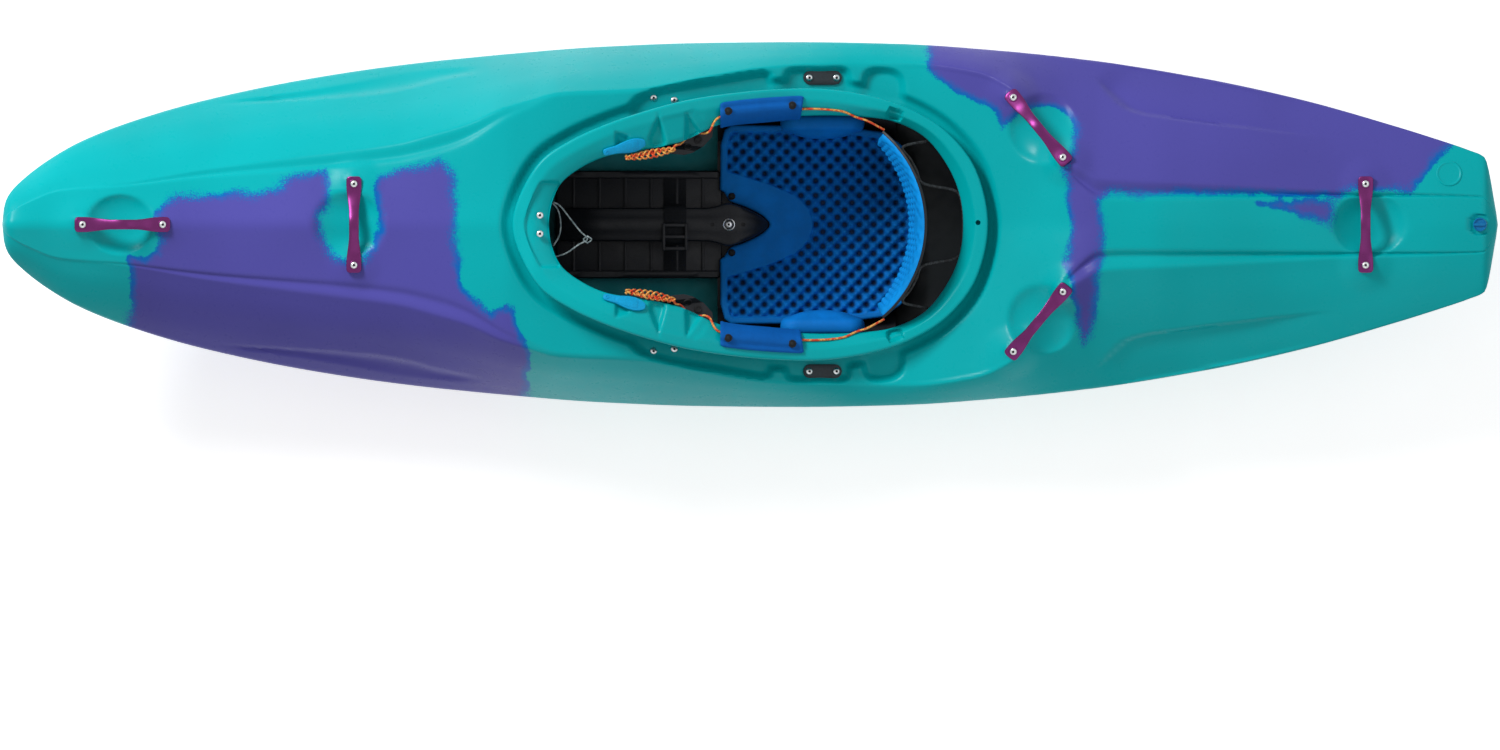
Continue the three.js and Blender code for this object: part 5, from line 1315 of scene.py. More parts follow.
    def build(self) -> bpy.types.Object:
        """Makes the skin with the cockpit's opening cut through it."""
        outer, q = self.sheet(self.stations(), self.form.columns)
        dye = self.dye(outer.reshape(-1, 3), q.reshape(-1)).reshape(q.shape)
        shares = np.concatenate([[0.012], np.linspace(0.022, 0.982, 160), [0.99]])
        liner = self.liner(shares, 48, reach=0.014, margin=0.008)
        bm = bmesh.new()
        bm.verts.layers.float.new("dye")
        self.closed_sheet(bm, outer, dye, inward=False)
        self.closed_sheet(bm, liner, None, inward=True)
        hull = new_object("hull_skin", bm, sharp_degrees=50.0)
        hull.data.materials.append(self.skin)
        hull.data.materials.append(self.lining)
        cut_away(hull, self.mouth())
        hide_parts("hull_shell")
        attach(hull, "boat")
        log.info("hull skin: %d faces", len(hull.data.polygons))
        return hull

    def inset(self, points: np.ndarray, distance: float) -> np.ndarray:
        """A sheet moved inwards along its own normals, towards the hull's long axis."""
        along = np.gradient(points, axis=0)
        ring = np.concatenate([points[:, -2:-1], points, points[:, 1:2]], axis=1)
        normal = np.cross(ring[:, 2:] - ring[:, :-2], along)
        normal /= np.maximum(np.linalg.norm(normal, axis=2, keepdims=True), 1e-9)
        axis = points.copy()
        axis[..., 1] = 0.0
        axis[..., 2] = points[..., 2].mean(axis=1, keepdims=True)
        sign = np.where((normal * (axis - points)).sum(axis=2, keepdims=True) > 0, 1.0, -1.0)
        return points + normal * sign * distance


# The photograph's upper view: metres to a pixel, and the column and row where the boat's middle lies
METRES_PER_PIXEL = 0.001785
MIDDLE_COLUMN = 750.0
MIDDLE_ROW = 224.5


def plan_places(*pixels: tuple[float, float]) -> list[tuple[float, float]]:
    """Places in plan, in metres, from pixel coordinates read off the photograph's upper view.

    Args:
        pixels: the column and row of each place.

    Returns:
        Places along X and Y.
    """
    return [((px - MIDDLE_COLUMN) * METRES_PER_PIXEL, (MIDDLE_ROW - py) * METRES_PER_PIXEL)
            for px, py in pixels]


@dataclass
class Rim:
    """The cockpit rim: a rolled lip, the throat that slopes into the opening, and the neck under it."""

    form: RimForm
    deck: Deck
    skin: Material
    lip_wall: float = 0.006
    neck_root: float = 0.013
    panel_depth: float = 0.0022
    slot_depth: float = 0.014
    hole: tuple[float, float, float] = (0.407, 0.0035, 0.0045)
    # Flat hollows: the panel about the flange's two notches, and the moulded slot beside the backrest
    panel: Pairs = field(default_factory=lambda: plan_places(
        (648, 139), (653, 124), (662, 117), (686, 112), (694, 108), (702, 113), (710, 126), (700, 131),
        (671, 139)))
    slot: Pairs = field(default_factory=lambda: plan_places(
        (887, 112), (888.5, 108), (891, 107.5), (900, 109.5), (902.5, 112), (902, 119), (899, 121),
        (889, 119), (886.5, 116)))
    # Notches in the rim's slope, pointed at their upper end: from x, y to x, y, half width and depth
    dents: Sequence[tuple[float, float, float, float, float, float]] = (
        (-0.1630, 0.1930, -0.1655, 0.150, 0.019, 0.012), (-0.1130, 0.1990, -0.1010, 0.160, 0.0185, 0.0115),
        (-0.2400, 0.1660, -0.2290, 0.150, 0.0170, 0.008))

    def section(self, station: int) -> list[tuple[float, float]]:
        """The rim's closed section at a station, as inset and rise, with its corners rounded."""
        width = self.form.width(station)
        drop, wall = self.form.lip_drop, self.lip_wall
        neck, thick = self.form.neck_inset, self.form.neck_wall
        foot = min(-drop - wall * 1.6, self.roots[station])
        corners = [
            (0.0, -drop), (0.0, -self.form.lip_round), (0.0, 0.0), (self.form.lip_round, 0.0),
            (min(self.form.top_width, width * 0.55), 0.0), (width * 0.78, -self.form.throat_drop * 0.45),
            (width, -self.form.throat_drop * 0.9), (width, -self.form.throat_drop - wall * 0.9),
            (width * 0.8, -self.form.throat_drop * 0.55 - wall), (neck + thick, -wall * 1.5),
            (neck + thick, foot), (neck, foot), (neck, -wall * 1.4), (wall, -wall * 1.4),
            (wall, -drop),
        ]
        radii = [0.0018, 0.004, 0.011, 0.004, 0.012, 0.012, 0.003, 0.003, 0.006, 0.004, 0.0, 0.0, 0.004,
                 0.006, 0.0018]
        steps = [2, 1, 5, 1, 4, 3, 3, 2, 1, 1, 0, 0, 1, 1, 2]
        return rounded_loop(corners, radii, steps, divisions=(1, 1, 1, 3, 4, 3, 1, 1, 1, 1, 1, 1, 1, 1, 1))

    def surface(self) -> np.ndarray:
        """Rows of places round the rim, one row for each station."""
        middle = self.form.neck_inset + self.form.neck_wall / 2
        tops = np.array([self.form.point(station, middle, 0.0) for station in range(self.form.stations)])
        deck = self.deck.press(self.form.hull.on_deck(tops[:, :2]))
        self.roots = deck - self.neck_root - tops[:, 2]
        rows = []
        for station in range(self.form.stations):
            rows.append([self.form.point(station, inset, rise) for inset, rise in self.section(station)])
        places = np.array(rows)
        self.press(places)
        return places

    def press(self, places: np.ndarray) -> None:
        """Presses the rim's own hollows into its upper faces."""
        flat = places.reshape(-1, 3)
        x, y = flat[:, 0], flat[:, 1]
        plan = np.stack([x, np.abs(y)], axis=1)
        top = self.form.top(self.form.hull.share_of(x)) * self.form.hull.height
        upper = flat[:, 2] > top - self.form.throat_drop * 1.05
        gap, _, _ = distance_to_line(np.stack([x, y], axis=1), self.form.outer, closed=True)
        # The crescent step at the front of the rim, where the front screws stand
        crescent = ease((gap - 0.021) / 0.004) * ease((0.079 - np.abs(y)) / 0.006) * (x < -0.34) * upper
        flat[:, 2] -= self.form.step_drop * crescent
        panel = depth_inside(plan, np.array(self.panel))
        flat[:, 2] -= self.panel_depth * ease((panel + 0.003) / 0.011) * upper
        slot = depth_inside(plan, np.array(self.slot))
        flat[:, 2] -= self.slot_depth * ease((slot + 0.001) / 0.0035) * upper
        for ax, ay, bx, by, half, depth in self.dents:
            away, _, run = distance_to_line(plan, np.array([(ax, ay), (bx, by)]), closed=False)
            reach = half * (0.22 + 0.78 * run)
            flat[:, 2] -= depth * ease((reach - away) / (half * 0.6)) * upper

    def drain(self) -> bpy.types.Object:
        """The small hole that is drilled through the back of the rim, as the solid that cuts it."""
        bm = bmesh.new()
        x, y, radius = self.hole
        bmesh.ops.create_cone(bm, cap_ends=True, segments=24, radius1=radius, radius2=radius, depth=0.12,
                              matrix=Matrix.Translation((x, y, self.form.hull.height * 0.72)))
        return new_object("rim_hole_cutter", bm, smooth=False)

    def build(self) -> bpy.types.Object:
        """Makes the rim and returns it."""
        places = self.surface()
        closed = np.concatenate([places, places[:1]], axis=0)
        closed = np.concatenate([closed, closed[:, :1]], axis=1)
        bm = bmesh.new()
        layer = bm.verts.layers.float.new("dye")
        verts = grid_of(bm, closed)
        for vert in verts:
            vert[layer] = -0.1
        bmesh.ops.remove_doubles(bm, verts=verts, dist=1e-6)
        bmesh.ops.recalc_face_normals(bm, faces=bm.faces)
        rim = new_object("cockpit_rim", bm, sharp_degrees=60.0)
        cut_away(rim, self.drain())
        rim.data.materials.append(self.skin)
        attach(rim, "boat")
        log.info("cockpit rim: %d faces", len(rim.data.polygons))
        return rim


def rounded_loop(corners: Sequence[tuple[float, float]], radii: Sequence[float], steps: Sequence[int],
                 divisions: Sequence[int]) -> list[tuple[float, float]]:
    """A closed loop of corners with each one rounded.

    Args:
        corners: the loop's corners in order.
        radii: how far each corner is cut back.
        steps: how many stretches each corner's curve has.
        divisions: how many stretches the straight part after each corner has.

    Returns:
        The loop's places, the same number for the same steps.
    """
    result: list[tuple[float, float]] = []
    count = len(corners)
    for i, (corner, radius, parts, pieces) in enumerate(zip(corners, radii, steps, divisions)):
        p = Vector((*corner, 0))
        before, after = Vector((*corners[i - 1], 0)), Vector((*corners[(i + 1) % count], 0))
        room = min((before - p).length, (after - p).length) * 0.49
        cut = min(radius, room)
        if parts and cut > 0:
            a = p + (before - p).normalized() * cut
            b = p + (after - p).normalized() * cut
            for k in range(parts + 1):
                t = k / parts
                q = a * (1 - t) ** 2 + p * 2 * t * (1 - t) + b * t * t
                result.append((q.x, q.y))
        else:
            result.append(corner)
        near, far = result[-1], ((p + after) / 2).to_tuple()[:2]
        for k in range(1, pieces):
            t = k / pieces
            result.append((near[0] + 2 * (far[0] - near[0]) * t * 0.8,
                           near[1] + 2 * (far[1] - near[1]) * t * 0.8))
    return result


# Hardware


@dataclass(frozen=True)
class Woven:
    """Cloth or webbing with a plain weave laid on the piece's own coordinates."""

    name: str
    colour: Colour
    threads: float = 900.0
    roughness: float = 0.8
    relief: float = 0.35

    def material(self) -> Material:
        """The finish as a material."""
        n = Nodes(self.name)
        waves = []
        for direction in ("X", "Y"):
            wave = n.add("ShaderNodeTexWave", bands_direction=direction)
            wave.inputs["Scale"].default_value = self.threads / 6.0
            wave.inputs["Distortion"].default_value = 0.6
            n.link(n.place(), wave.inputs["Vector"])
            waves.append(wave.outputs["Fac"])
        weave = n.math("MULTIPLY", waves[0], waves[1])
        worn = n.noise(35.0, 4.0)
        dark = tuple(c * 0.78 for c in self.colour[:3]) + (1.0,)
        light = tuple(min(1.0, c * 1.15) for c in self.colour[:3]) + (1.0,)
        n.dress(n.mix(n.spread(n.math("ADD", weave, worn), 0.4, 1.3), dark, light), self.roughness)
        n.shine(0.2)
        n.bump(weave, self.relief, 0.0004)
        return n.material


@dataclass(frozen=True)
class Foam:
    """Closed-cell foam with painted shade: the lower its attribute `rise`, the darker its colour. Its
    attribute `rise` is 0 in a hollow and 1 on a crown.
    """

    name: str
    colour: Colour
    deep: Colour
    roughness: float = 0.7

    def material(self) -> Material:
        """The finish as a material."""
        n = Nodes(self.name)
        rise = n.spread(n.attribute("rise"), 0.05, 0.75)
        shade = n.spread(n.noise(26.0, 3.0), 0.3, 0.7, 0.9, 1.08)
        grain = n.spread(n.noise(300.0), 0.3, 0.7, self.roughness - 0.08, self.roughness + 0.08)
        # Painted shade: hollows and low places blend towards the darker colour
        n.dress(n.vary(shade, n.mix(rise, self.deep, self.colour)), grain)
        n.shine(0.2)
        n.bump(n.noise(1400.0, 2.0), 0.12, 0.0004)
        return n.material


@dataclass(frozen=True)
class Braid:
    """Braided cord: flecks of one colour over a ground of another."""

    name: str
    ground: Colour
    fleck: Colour
    pitch: float = 900.0

    def material(self) -> Material:
        """The finish as a material."""
        n = Nodes(self.name)
        cells = n.add("ShaderNodeTexVoronoi")
        cells.inputs["Scale"].default_value = self.pitch / 3.0
        n.link(n.place(), cells.inputs["Vector"])
        fleck = n.spread(cells.outputs["Distance"], 0.25, 0.5)
        n.dress(n.mix(n.math("MULTIPLY", fleck, n.spread(n.noise(120.0), 0.42, 0.56)), self.ground,
                      self.fleck), 0.75)
        n.bump(cells.outputs["Distance"], 0.5, 0.0005)
        return n.material


def made(finish: type, *values: object) -> Material:
    """A field that holds a finish's material, made with the boat's own set."""
    return field(default_factory=lambda: finish(*values).material())


@dataclass
class Finishes:
    """Every finish on the boat."""

    skin: Material = made(MouldedSkin)
    lining: Material = made(Lining)
    anodised: Material = made(
        Plain, "anodised_magenta", srgb(103, 41, 94), 0.32, 0.9, 700.0, 0.05, 0.06)
    steel: Material = made(
        Plain, "stainless", srgb(196, 198, 200), 0.28, 1.0, 500.0, 0.04, 0.08)
    # Own dark grey of the thigh studs, and painted shade in the screws' sockets and the spine's holes
    dark_metal: Material = made(
        Plain, "socket_shade", srgb(38, 38, 40), 0.6, 0.4, 500.0, 0.04, 0.08)
    black: Material = made(
        Plain, "black_outfit", srgb(26, 28, 33), 0.46, 0.0, 380.0, 0.16, 0.2)
    plate: Material = made(
        Plain, "dark_plate", srgb(52, 57, 62), 0.5, 0.1, 450.0, 0.12, 0.15)
    rubber: Material = made(
        Plain, "black_rubber", srgb(22, 23, 25), 0.7, 0.0, 300.0, 0.2, 0.2)
    # Each foam's second colour is the painted shade in its hollows
    waffle: Material = made(
        Foam, "waffle_foam", srgb(0, 130, 224), srgb(2, 26, 58))
    pad: Material = made(
        Foam, "smooth_foam", srgb(0, 128, 222), srgb(0, 64, 124))
    band_foam: Material = made(
        Foam, "band_foam", srgb(0, 150, 236), srgb(0, 52, 104))
    grey_foam: Material = made(
        Foam, "grey_foam", srgb(52, 54, 58), srgb(30, 31, 34))
    cover: Material = made(
        Woven, "cover_cloth", srgb(0, 104, 196), 900.0, 0.7, 0.2)
    webbing: Material = made(
        Woven, "black_webbing", srgb(30, 32, 36), 700.0, 0.85, 0.5)
    tab: Material = made(
        Plain, "bright_tab", srgb(0, 166, 222), 0.45, 0.0, 300.0, 0.06, 0.08)
    plug: Material = made(
        Plain, "plug_plastic", srgb(2, 122, 184), 0.4, 0.0, 300.0, 0.06, 0.08)
    draw_cord: Material = made(
        Braid, "orange_cord", srgb(228, 70, 34), srgb(246, 190, 96))
    black_cord: Material = made(
        Braid, "black_cord", srgb(20, 21, 24), srgb(58, 62, 66))
    grey_cord: Material = made(
        Braid, "grey_cord", srgb(112, 130, 134), srgb(168, 182, 184))
    aluminium: Material = made(
        Plain, "sheet_aluminium", srgb(150, 154, 158), 0.42, 0.8, 200.0, 0.08, 0.1)


@dataclass
class ButtonScrews:
    """Every button-head screw, each built where the frame holds it."""

    finishes: Finishes
    head_radius: float = 0.0064
    head_height: float = 0.0034
    shank_radius: float = 0.003
    shank_length: float = 0.017
    socket_radius: float = 0.0023
    socket_depth: float = 0.0019

    def stand(self, node: str) -> Matrix:
        """The frame of a screw's seat, with z out of its head, read off the frame's node."""
        obj = frame["nodes"][node]
        places = np.array([tuple(obj.matrix_world @ v.co) for v in obj.data.vertices])
        places = np.unique(places.round(7), axis=0)
        middle = places.mean(axis=0)
        _, _, turned = np.linalg.svd(places - middle)
        axis = turned[0]
        out = places - middle
        away = np.linalg.norm(out - np.outer(out @ axis, axis), axis=1)
        heights = out @ axis
        wide = away > (self.head_radius + self.shank_radius) / 2
        if heights[wide].mean() < heights[~wide].mean():
            axis, heights = -axis, -heights
        centre = middle + axis * heights[wide].min()
        return along(Vector(centre), Vector(axis))

    def build(self, node: str, black: bool = False, washer: float = 0.0) -> bpy.types.Object:
        """Makes one screw: a domed head with a six-sided socket, and its shank.

        Args:
            node: the frame's node that it stands for.
            black: whether it is a dark screw.
            washer: the radius of a flat ring under its head, or none.
        """
        shape = Shape()
        stand = self.stand(node)
        radius, height, socket = self.head_radius, self.head_height, self.socket_radius
        dome = [(radius * math.cos(a), height * 0.18 + height * 0.82 * math.sin(a))
                for a in (math.radians(d) for d in (0, 18, 36, 54, 66))]
        shape.turned([(0, -self.shank_length), (self.shank_radius, -self.shank_length + 0.001),
                      (self.shank_radius, 0), (radius * 0.97, 0)] + dome
                     + [(socket * 1.12, height), (socket, height - 0.0003),
                        (socket, height - self.socket_depth),
                        (0, height - self.socket_depth - 0.0004)], stand, steps=24)
        # A dark six-sided plate at the socket's floor: painted shade in the socket
        hexagon = [(socket * math.cos(math.radians(60 * k)), socket * math.sin(math.radians(60 * k)))
                   for k in range(6)]
        floor = height - self.socket_depth
        shape.drawn(hexagon, floor - 0.0002, floor + 0.0003, stand, material=1)
        if washer:
            shape.turned([(radius * 0.98, 0.0), (washer, 0.0), (washer, 0.0009), (washer - 0.001, 0.0017),
                          (radius * 0.98, 0.0017), (radius * 0.98, 0.0)], stand, steps=28)
        main = self.finishes.rubber if black else self.finishes.steel
        return shape.finish(node + "_head", "boat", "screw", [main, self.finishes.dark_metal], [node])

    def build_all(self) -> None:
        """Makes every screw that the frame holds."""
        for node in sorted(frame["nodes"]):
            if "_screw" in node or node.startswith("rail_bolt"):
                dark = node.startswith("seat_pad_screw")
                self.build(node, black=dark)


@dataclass
class GrabHandle:
    """An arched handle of anodised bar with flared feet, on two screws."""

    finishes: Finishes
    form: HullForm
    length: float = 0.172
    width: float = 0.027
    waist: float = 0.0175
    thickness: float = 0.0055
    rise: float = 0.017
    foot: float = 0.027
    edge: float = 0.0012

    def half_width(self, s: float) -> float:
        """Half the bar's width at a place along it, counted from -1 to 1."""
        half, length = self.width / 2, self.length / 2
        from_end = (1 - abs(s)) * length
        corner = 0.0065
        widening = float(ease(np.array((length * 0.78 - from_end) / (length * 0.6))))
        flare = self.waist / 2 + (half - self.waist / 2) * widening
        if from_end < corner:
            return max(half - corner + math.sqrt(max(corner**2 - (corner - from_end) ** 2, 0.0)), 0.002)
        return flare

    def lift(self, x: float) -> float:
        """Height of the bar's underside at a place along it."""
        reach = self.length / 2 - self.foot
        return self.rise * (math.cos(min(abs(x) / reach, 1.0) * math.pi) + 1) / 2

    def build(self, spot: HandleSpot) -> bpy.types.Object:
        """Makes one handle."""
        stations = np.concatenate([[-1, -0.997, -0.988, -0.972, -0.95, -0.93], np.linspace(-0.9, 0.9, 45),
                                   [0.93, 0.95, 0.972, 0.988, 0.997, 1]])
        rows = []
        for s in stations:
            x = s * self.length / 2
            half, low = self.half_width(float(s)), self.lift(x) + 0.0001
            high = low + self.thickness
            e = min(self.edge, half * 0.5)
            crown = 0.0008
            rows.append([(x, -half + e, low), (x, half - e, low), (x, half - e * 0.3, low + e * 0.3),
                         (x, half, low + e), (x, half, high - e), (x, half - e * 0.3, high - e * 0.3),
                         (x, half - e, high),
                         (x, half * 0.4, high + crown), (x, -half * 0.4, high + crown), (x, -half + e, high),
                         (x, -half + e * 0.3, high - e * 0.3), (x, -half, high - e), (x, -half, low + e),
                         (x, -half + e * 0.3, low + e * 0.3)])
        shape = Shape().lofted(np.array(rows), spot.frame(self.form))
        stand = spot.frame(self.form)
        for end in (-1, 1):
            seat = stand @ Matrix.Translation((end * spot.reach, 0, self.thickness + 0.0001))
            shape.turned([(0.0066, 0.0), (0.0086, 0.0), (0.0086, 0.0009), (0.0078, 0.0014), (0.0066, 0.0014),
                          (0.0066, 0.0)], seat, steps=28)
        return shape.finish(f"grab_handle_{spot.word}", "boat", "handle", [self.finishes.anodised],
                            [f"handle_{spot.word}"], sharp_degrees=60.0)


@dataclass
class DrainPlug:
    """The round drain plug with its grip bar and its stem; the seal under it is left to the frame's own
    piece.
    """

    finishes: Finishes
    radius: float = 0.0126
    head: float = 0.009
    bar: tuple[float, float] = (0.021, 0.0048)

    def build(self) -> None:
        """Makes the plug, with knurled sides and a bar across a dished top."""
        low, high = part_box("drain_plug")
        centre = Vector(((low[0] + high[0]) / 2, 0.0, high[2] - self.head))
        steps = 72
        rows = []
        for radius, height, knurl in ((0.0, 0.0, 0), (self.radius * 0.96, 0.0, 1), (self.radius, 0.0012, 1),
                                      (self.radius, self.head * 0.7, 1),
                                      (self.radius * 0.92, self.head * 0.86, 0.5),
                                      (self.radius * 0.84, self.head * 0.88, 0),
                                      (self.radius * 0.76, self.head * 0.6, 0), (0.0, self.head * 0.55, 0)):
            rows.append([(radius * (1 - 0.045 * knurl * (k % 4 == 0)) * math.cos(math.tau * k / steps),
                          radius * (1 - 0.045 * knurl * (k % 4 == 0)) * math.sin(math.tau * k / steps),
                          height)
                         for k in range(steps)])
        stand = Matrix.Translation(centre)
        shape = Shape().lofted(np.array(rows), stand, ends=False)
        long, wide = self.bar
        shape.drawn(rounded_bar(long, wide, wide * 0.4), self.head * 0.5, self.head, stand, bevel=0.0008)
        shape.turned([(0, -0.022), (0.008, -0.022), (0.008, 0.0), (0, 0.0)], stand, steps=32)
        shape.finish("drain_plug_head", "plug", "plug", [self.finishes.plug], ["drain_plug"])


@dataclass
class SidePlates:
    """The dark plates in the rear deck pockets that the seat's screws pull on."""

    finishes: Finishes

    def build(self) -> None:
        """Makes both plates with soft edges."""
        for side in Side:
            node = f"seat_plate_{side.word}"
            Shape().copied(node, bevel=0.0009).finish(f"side_plate_{side.word}", "boat", "outfit",
                                                      [self.finishes.plate], [node], sharp_degrees=30.0)


# Outfitting


@dataclass
class SeatPad:
    """The blue seat foam: an egg-crate top, plain round the spine's end and along its edges."""

    finishes: Finishes
    front: float = -0.054
    rear: float = 0.296
    half: float = 0.178
    floor: float = 0.0296
    thickness: float = 0.021
    pitch: float = 0.0184
    relief: float = 0.0095
    rim: float = 0.011
    # The notch round the spine's end and the plain ground about it, as X and half width
    notch: Pairs = ((-0.054, 0.062), (-0.0465, 0.057), (-0.0414, 0.048), (-0.0352, 0.04), (-0.0115, 0.032),
                    (0.0077, 0.0234), (0.0235, 0.014), (0.0326, 0.005), (0.0345, 0.0))
    plain: Pairs = ((-0.056, 0.092), (-0.028, 0.09), (0.0, 0.081), (0.03, 0.072), (0.06, 0.06),
                    (0.085, 0.047), (0.101, 0.03), (0.109, 0.013), (0.111, 0.0))

    def outline(self) -> np.ndarray:
        """The pad's outline in plan."""
        starboard = [(x, y) for x, y in reversed(self.notch)] + [
            (self.front + 0.001, self.half * 0.8), (self.front + 0.008, self.half * 0.95),
            (self.front + 0.02, self.half), (0.15, self.half), (0.24, self.half * 0.93),
            (0.272, self.half * 0.8),
            (0.289, self.half * 0.62), (self.rear, self.half * 0.3)]
        return np.array(starboard + [(x, -y) for x, y in reversed(starboard) if y > 0])

    def swell(self, y: np.ndarray) -> np.ndarray:
        """Height of the pad's top across the boat, without its relief."""
        sides = smooth_line(((0.0, 0.0), (0.3, 0.0005), (0.62, 0.005), (0.85, 0.017), (1.0, 0.021)))
        return self.floor + self.thickness + sides(np.abs(y) / self.half)

    def build(self) -> bpy.types.Object:
        """Makes the pad as one closed skin, its top drawn through the relief."""
        outline = self.outline()
        across, down = 300, 320
        xs = np.linspace(self.front, self.rear, across)
        ys = np.linspace(-self.half, self.half, down)
        grid = np.stack(np.meshgrid(xs, ys, indexing="ij"), axis=-1).reshape(-1, 2)
        depth = depth_inside(grid, outline)
        plain = np.array(list(self.plain) + [(x, -y) for x, y in reversed(self.plain) if y > 0])
        away = -depth_inside(grid, plain)
        u, v = (grid[:, 0] + grid[:, 1]) / math.sqrt(2), (grid[:, 0] - grid[:, 1]) / math.sqrt(2)
        egg = 0.5 + 0.25 * (np.cos(math.tau * u / self.pitch) + np.cos(math.tau * v / self.pitch))
        egg = np.clip(egg, 0, 1) ** 0.85
        cut = ease((depth - self.rim) / 0.004) * ease(away / 0.004)
        rise = 1.0 - cut * (1.0 - egg)
        z = self.swell(grid[:, 1]) - self.relief * (1 - rise) * 1.35
        edge = np.clip(depth / 0.006, 0.0, 1.0)
        z -= 0.006 * (1 - np.sqrt(np.clip(1 - (1 - edge) ** 2, 0, 1)))
        bm = bmesh.new()
        layer = bm.verts.layers.float.new("rise")
        places = np.concatenate([grid, z[:, None]], axis=1).reshape(across, down, 3)
        verts = grid_of(bm, places)
        # Painted shade: the foam is darkened in the relief's hollows and towards the pad's edge
        for vert, value in zip(verts, rise * (0.35 + 0.65 * edge)):
            vert[layer] = float(value)
        outside = [vert for vert, value in zip(verts, depth) if value < -0.0003]
        bmesh.ops.delete(bm, geom=outside, context="VERTS")
        rims = [e for e in bm.edges if e.is_boundary]
        skirt = bmesh.ops.extrude_edge_only(bm, edges=rims)["geom"]
        low = [g for g in skirt if isinstance(g, bmesh.types.BMVert)]
        for vert in low:
            rise = float(self.swell(np.array([vert.co.y]))[0]) - self.floor - self.thickness
            vert.co.z = self.floor + 0.55 * rise
            # Painted shade on the pad's sides
            vert[layer] = 0.1
        foot = [e for e in bm.edges if e.is_boundary]
        bmesh.ops.holes_fill(bm, edges=foot, sides=0)
        bmesh.ops.recalc_face_normals(bm, faces=bm.faces)
        shape = Shape()
        shape.bm.free()
        shape.bm = bm
        pad = shape.finish("seat_pad_foam", "boat", "foam", [self.finishes.waffle], ["seat_pad"],
                           sharp_degrees=75.0)
        return pad


@dataclass
class HipPads:
    """The smooth blue pads on the seat's wings, crowned and drawn in at their sides."""

    finishes: Finishes
    length: float = 0.150
    height: float = 0.088
    thickness: float = 0.026
    rows: int = 14

    def build(self) -> None:
        """Makes both pads from rounded rings that swell towards the paddler."""
        low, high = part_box("hip_pad_starboard")
        middle = Vector(((low[0] + high[0]) / 2, (low[1] + high[1]) / 2 + 0.002, (low[2] + high[2]) / 2))
        lean = math.radians(3.0)
        inward = Vector((0, -math.cos(lean), math.sin(lean)))
        upward = Vector((0, math.sin(lean), math.cos(lean)))
        stand = basis(Vector((-1, 0, 0)), upward, inward, middle - inward * self.thickness * 0.5)
        rows = []
        for inset, height, pull in ((0.004, 0.0, 1.0), (0.0, 0.006, 1.0), (0.0, 0.014, 1.0),
                                    (0.001, 0.019, 1.0), (0.003, 0.0235, 1.0), (0.006, 0.0262, 1.0),
                                    (0.008, 0.028, 0.94), (0.008, 0.0315, 0.8), (0.008, 0.036, 0.6),
                                    (0.008, 0.0395, 0.35),
                                    (0.008, 0.041, 0.0)):
            ring = rounded_bar(self.length - 2 * inset, self.height - 2 * inset, 0.026, steps=9)
            rows.append([(x * pull, y * pull, height) for x, y in ring])
        floor = [(0.0, 0.0, 0.0)] * len(rows[0])
        grid = np.array([floor] + rows)
        for side in Side:
            shape = Shape().lofted(grid, SIDEWAYS[side] @ stand, ends=False)
            pad = shape.finish(f"hip_cushion_{side.word}", "boat", "foam", [self.finishes.pad],
                               [f"hip_pad_{side.word}"], sharp_degrees=80.0)
            self.even(pad)

    def even(self, pad: bpy.types.Object) -> None:
        """Gives a pad one even value of its foam's shade."""
        values = pad.data.attributes.new("rise", "FLOAT", "POINT")
        values.data.foreach_set("value", [0.8] * len(pad.data.vertices))


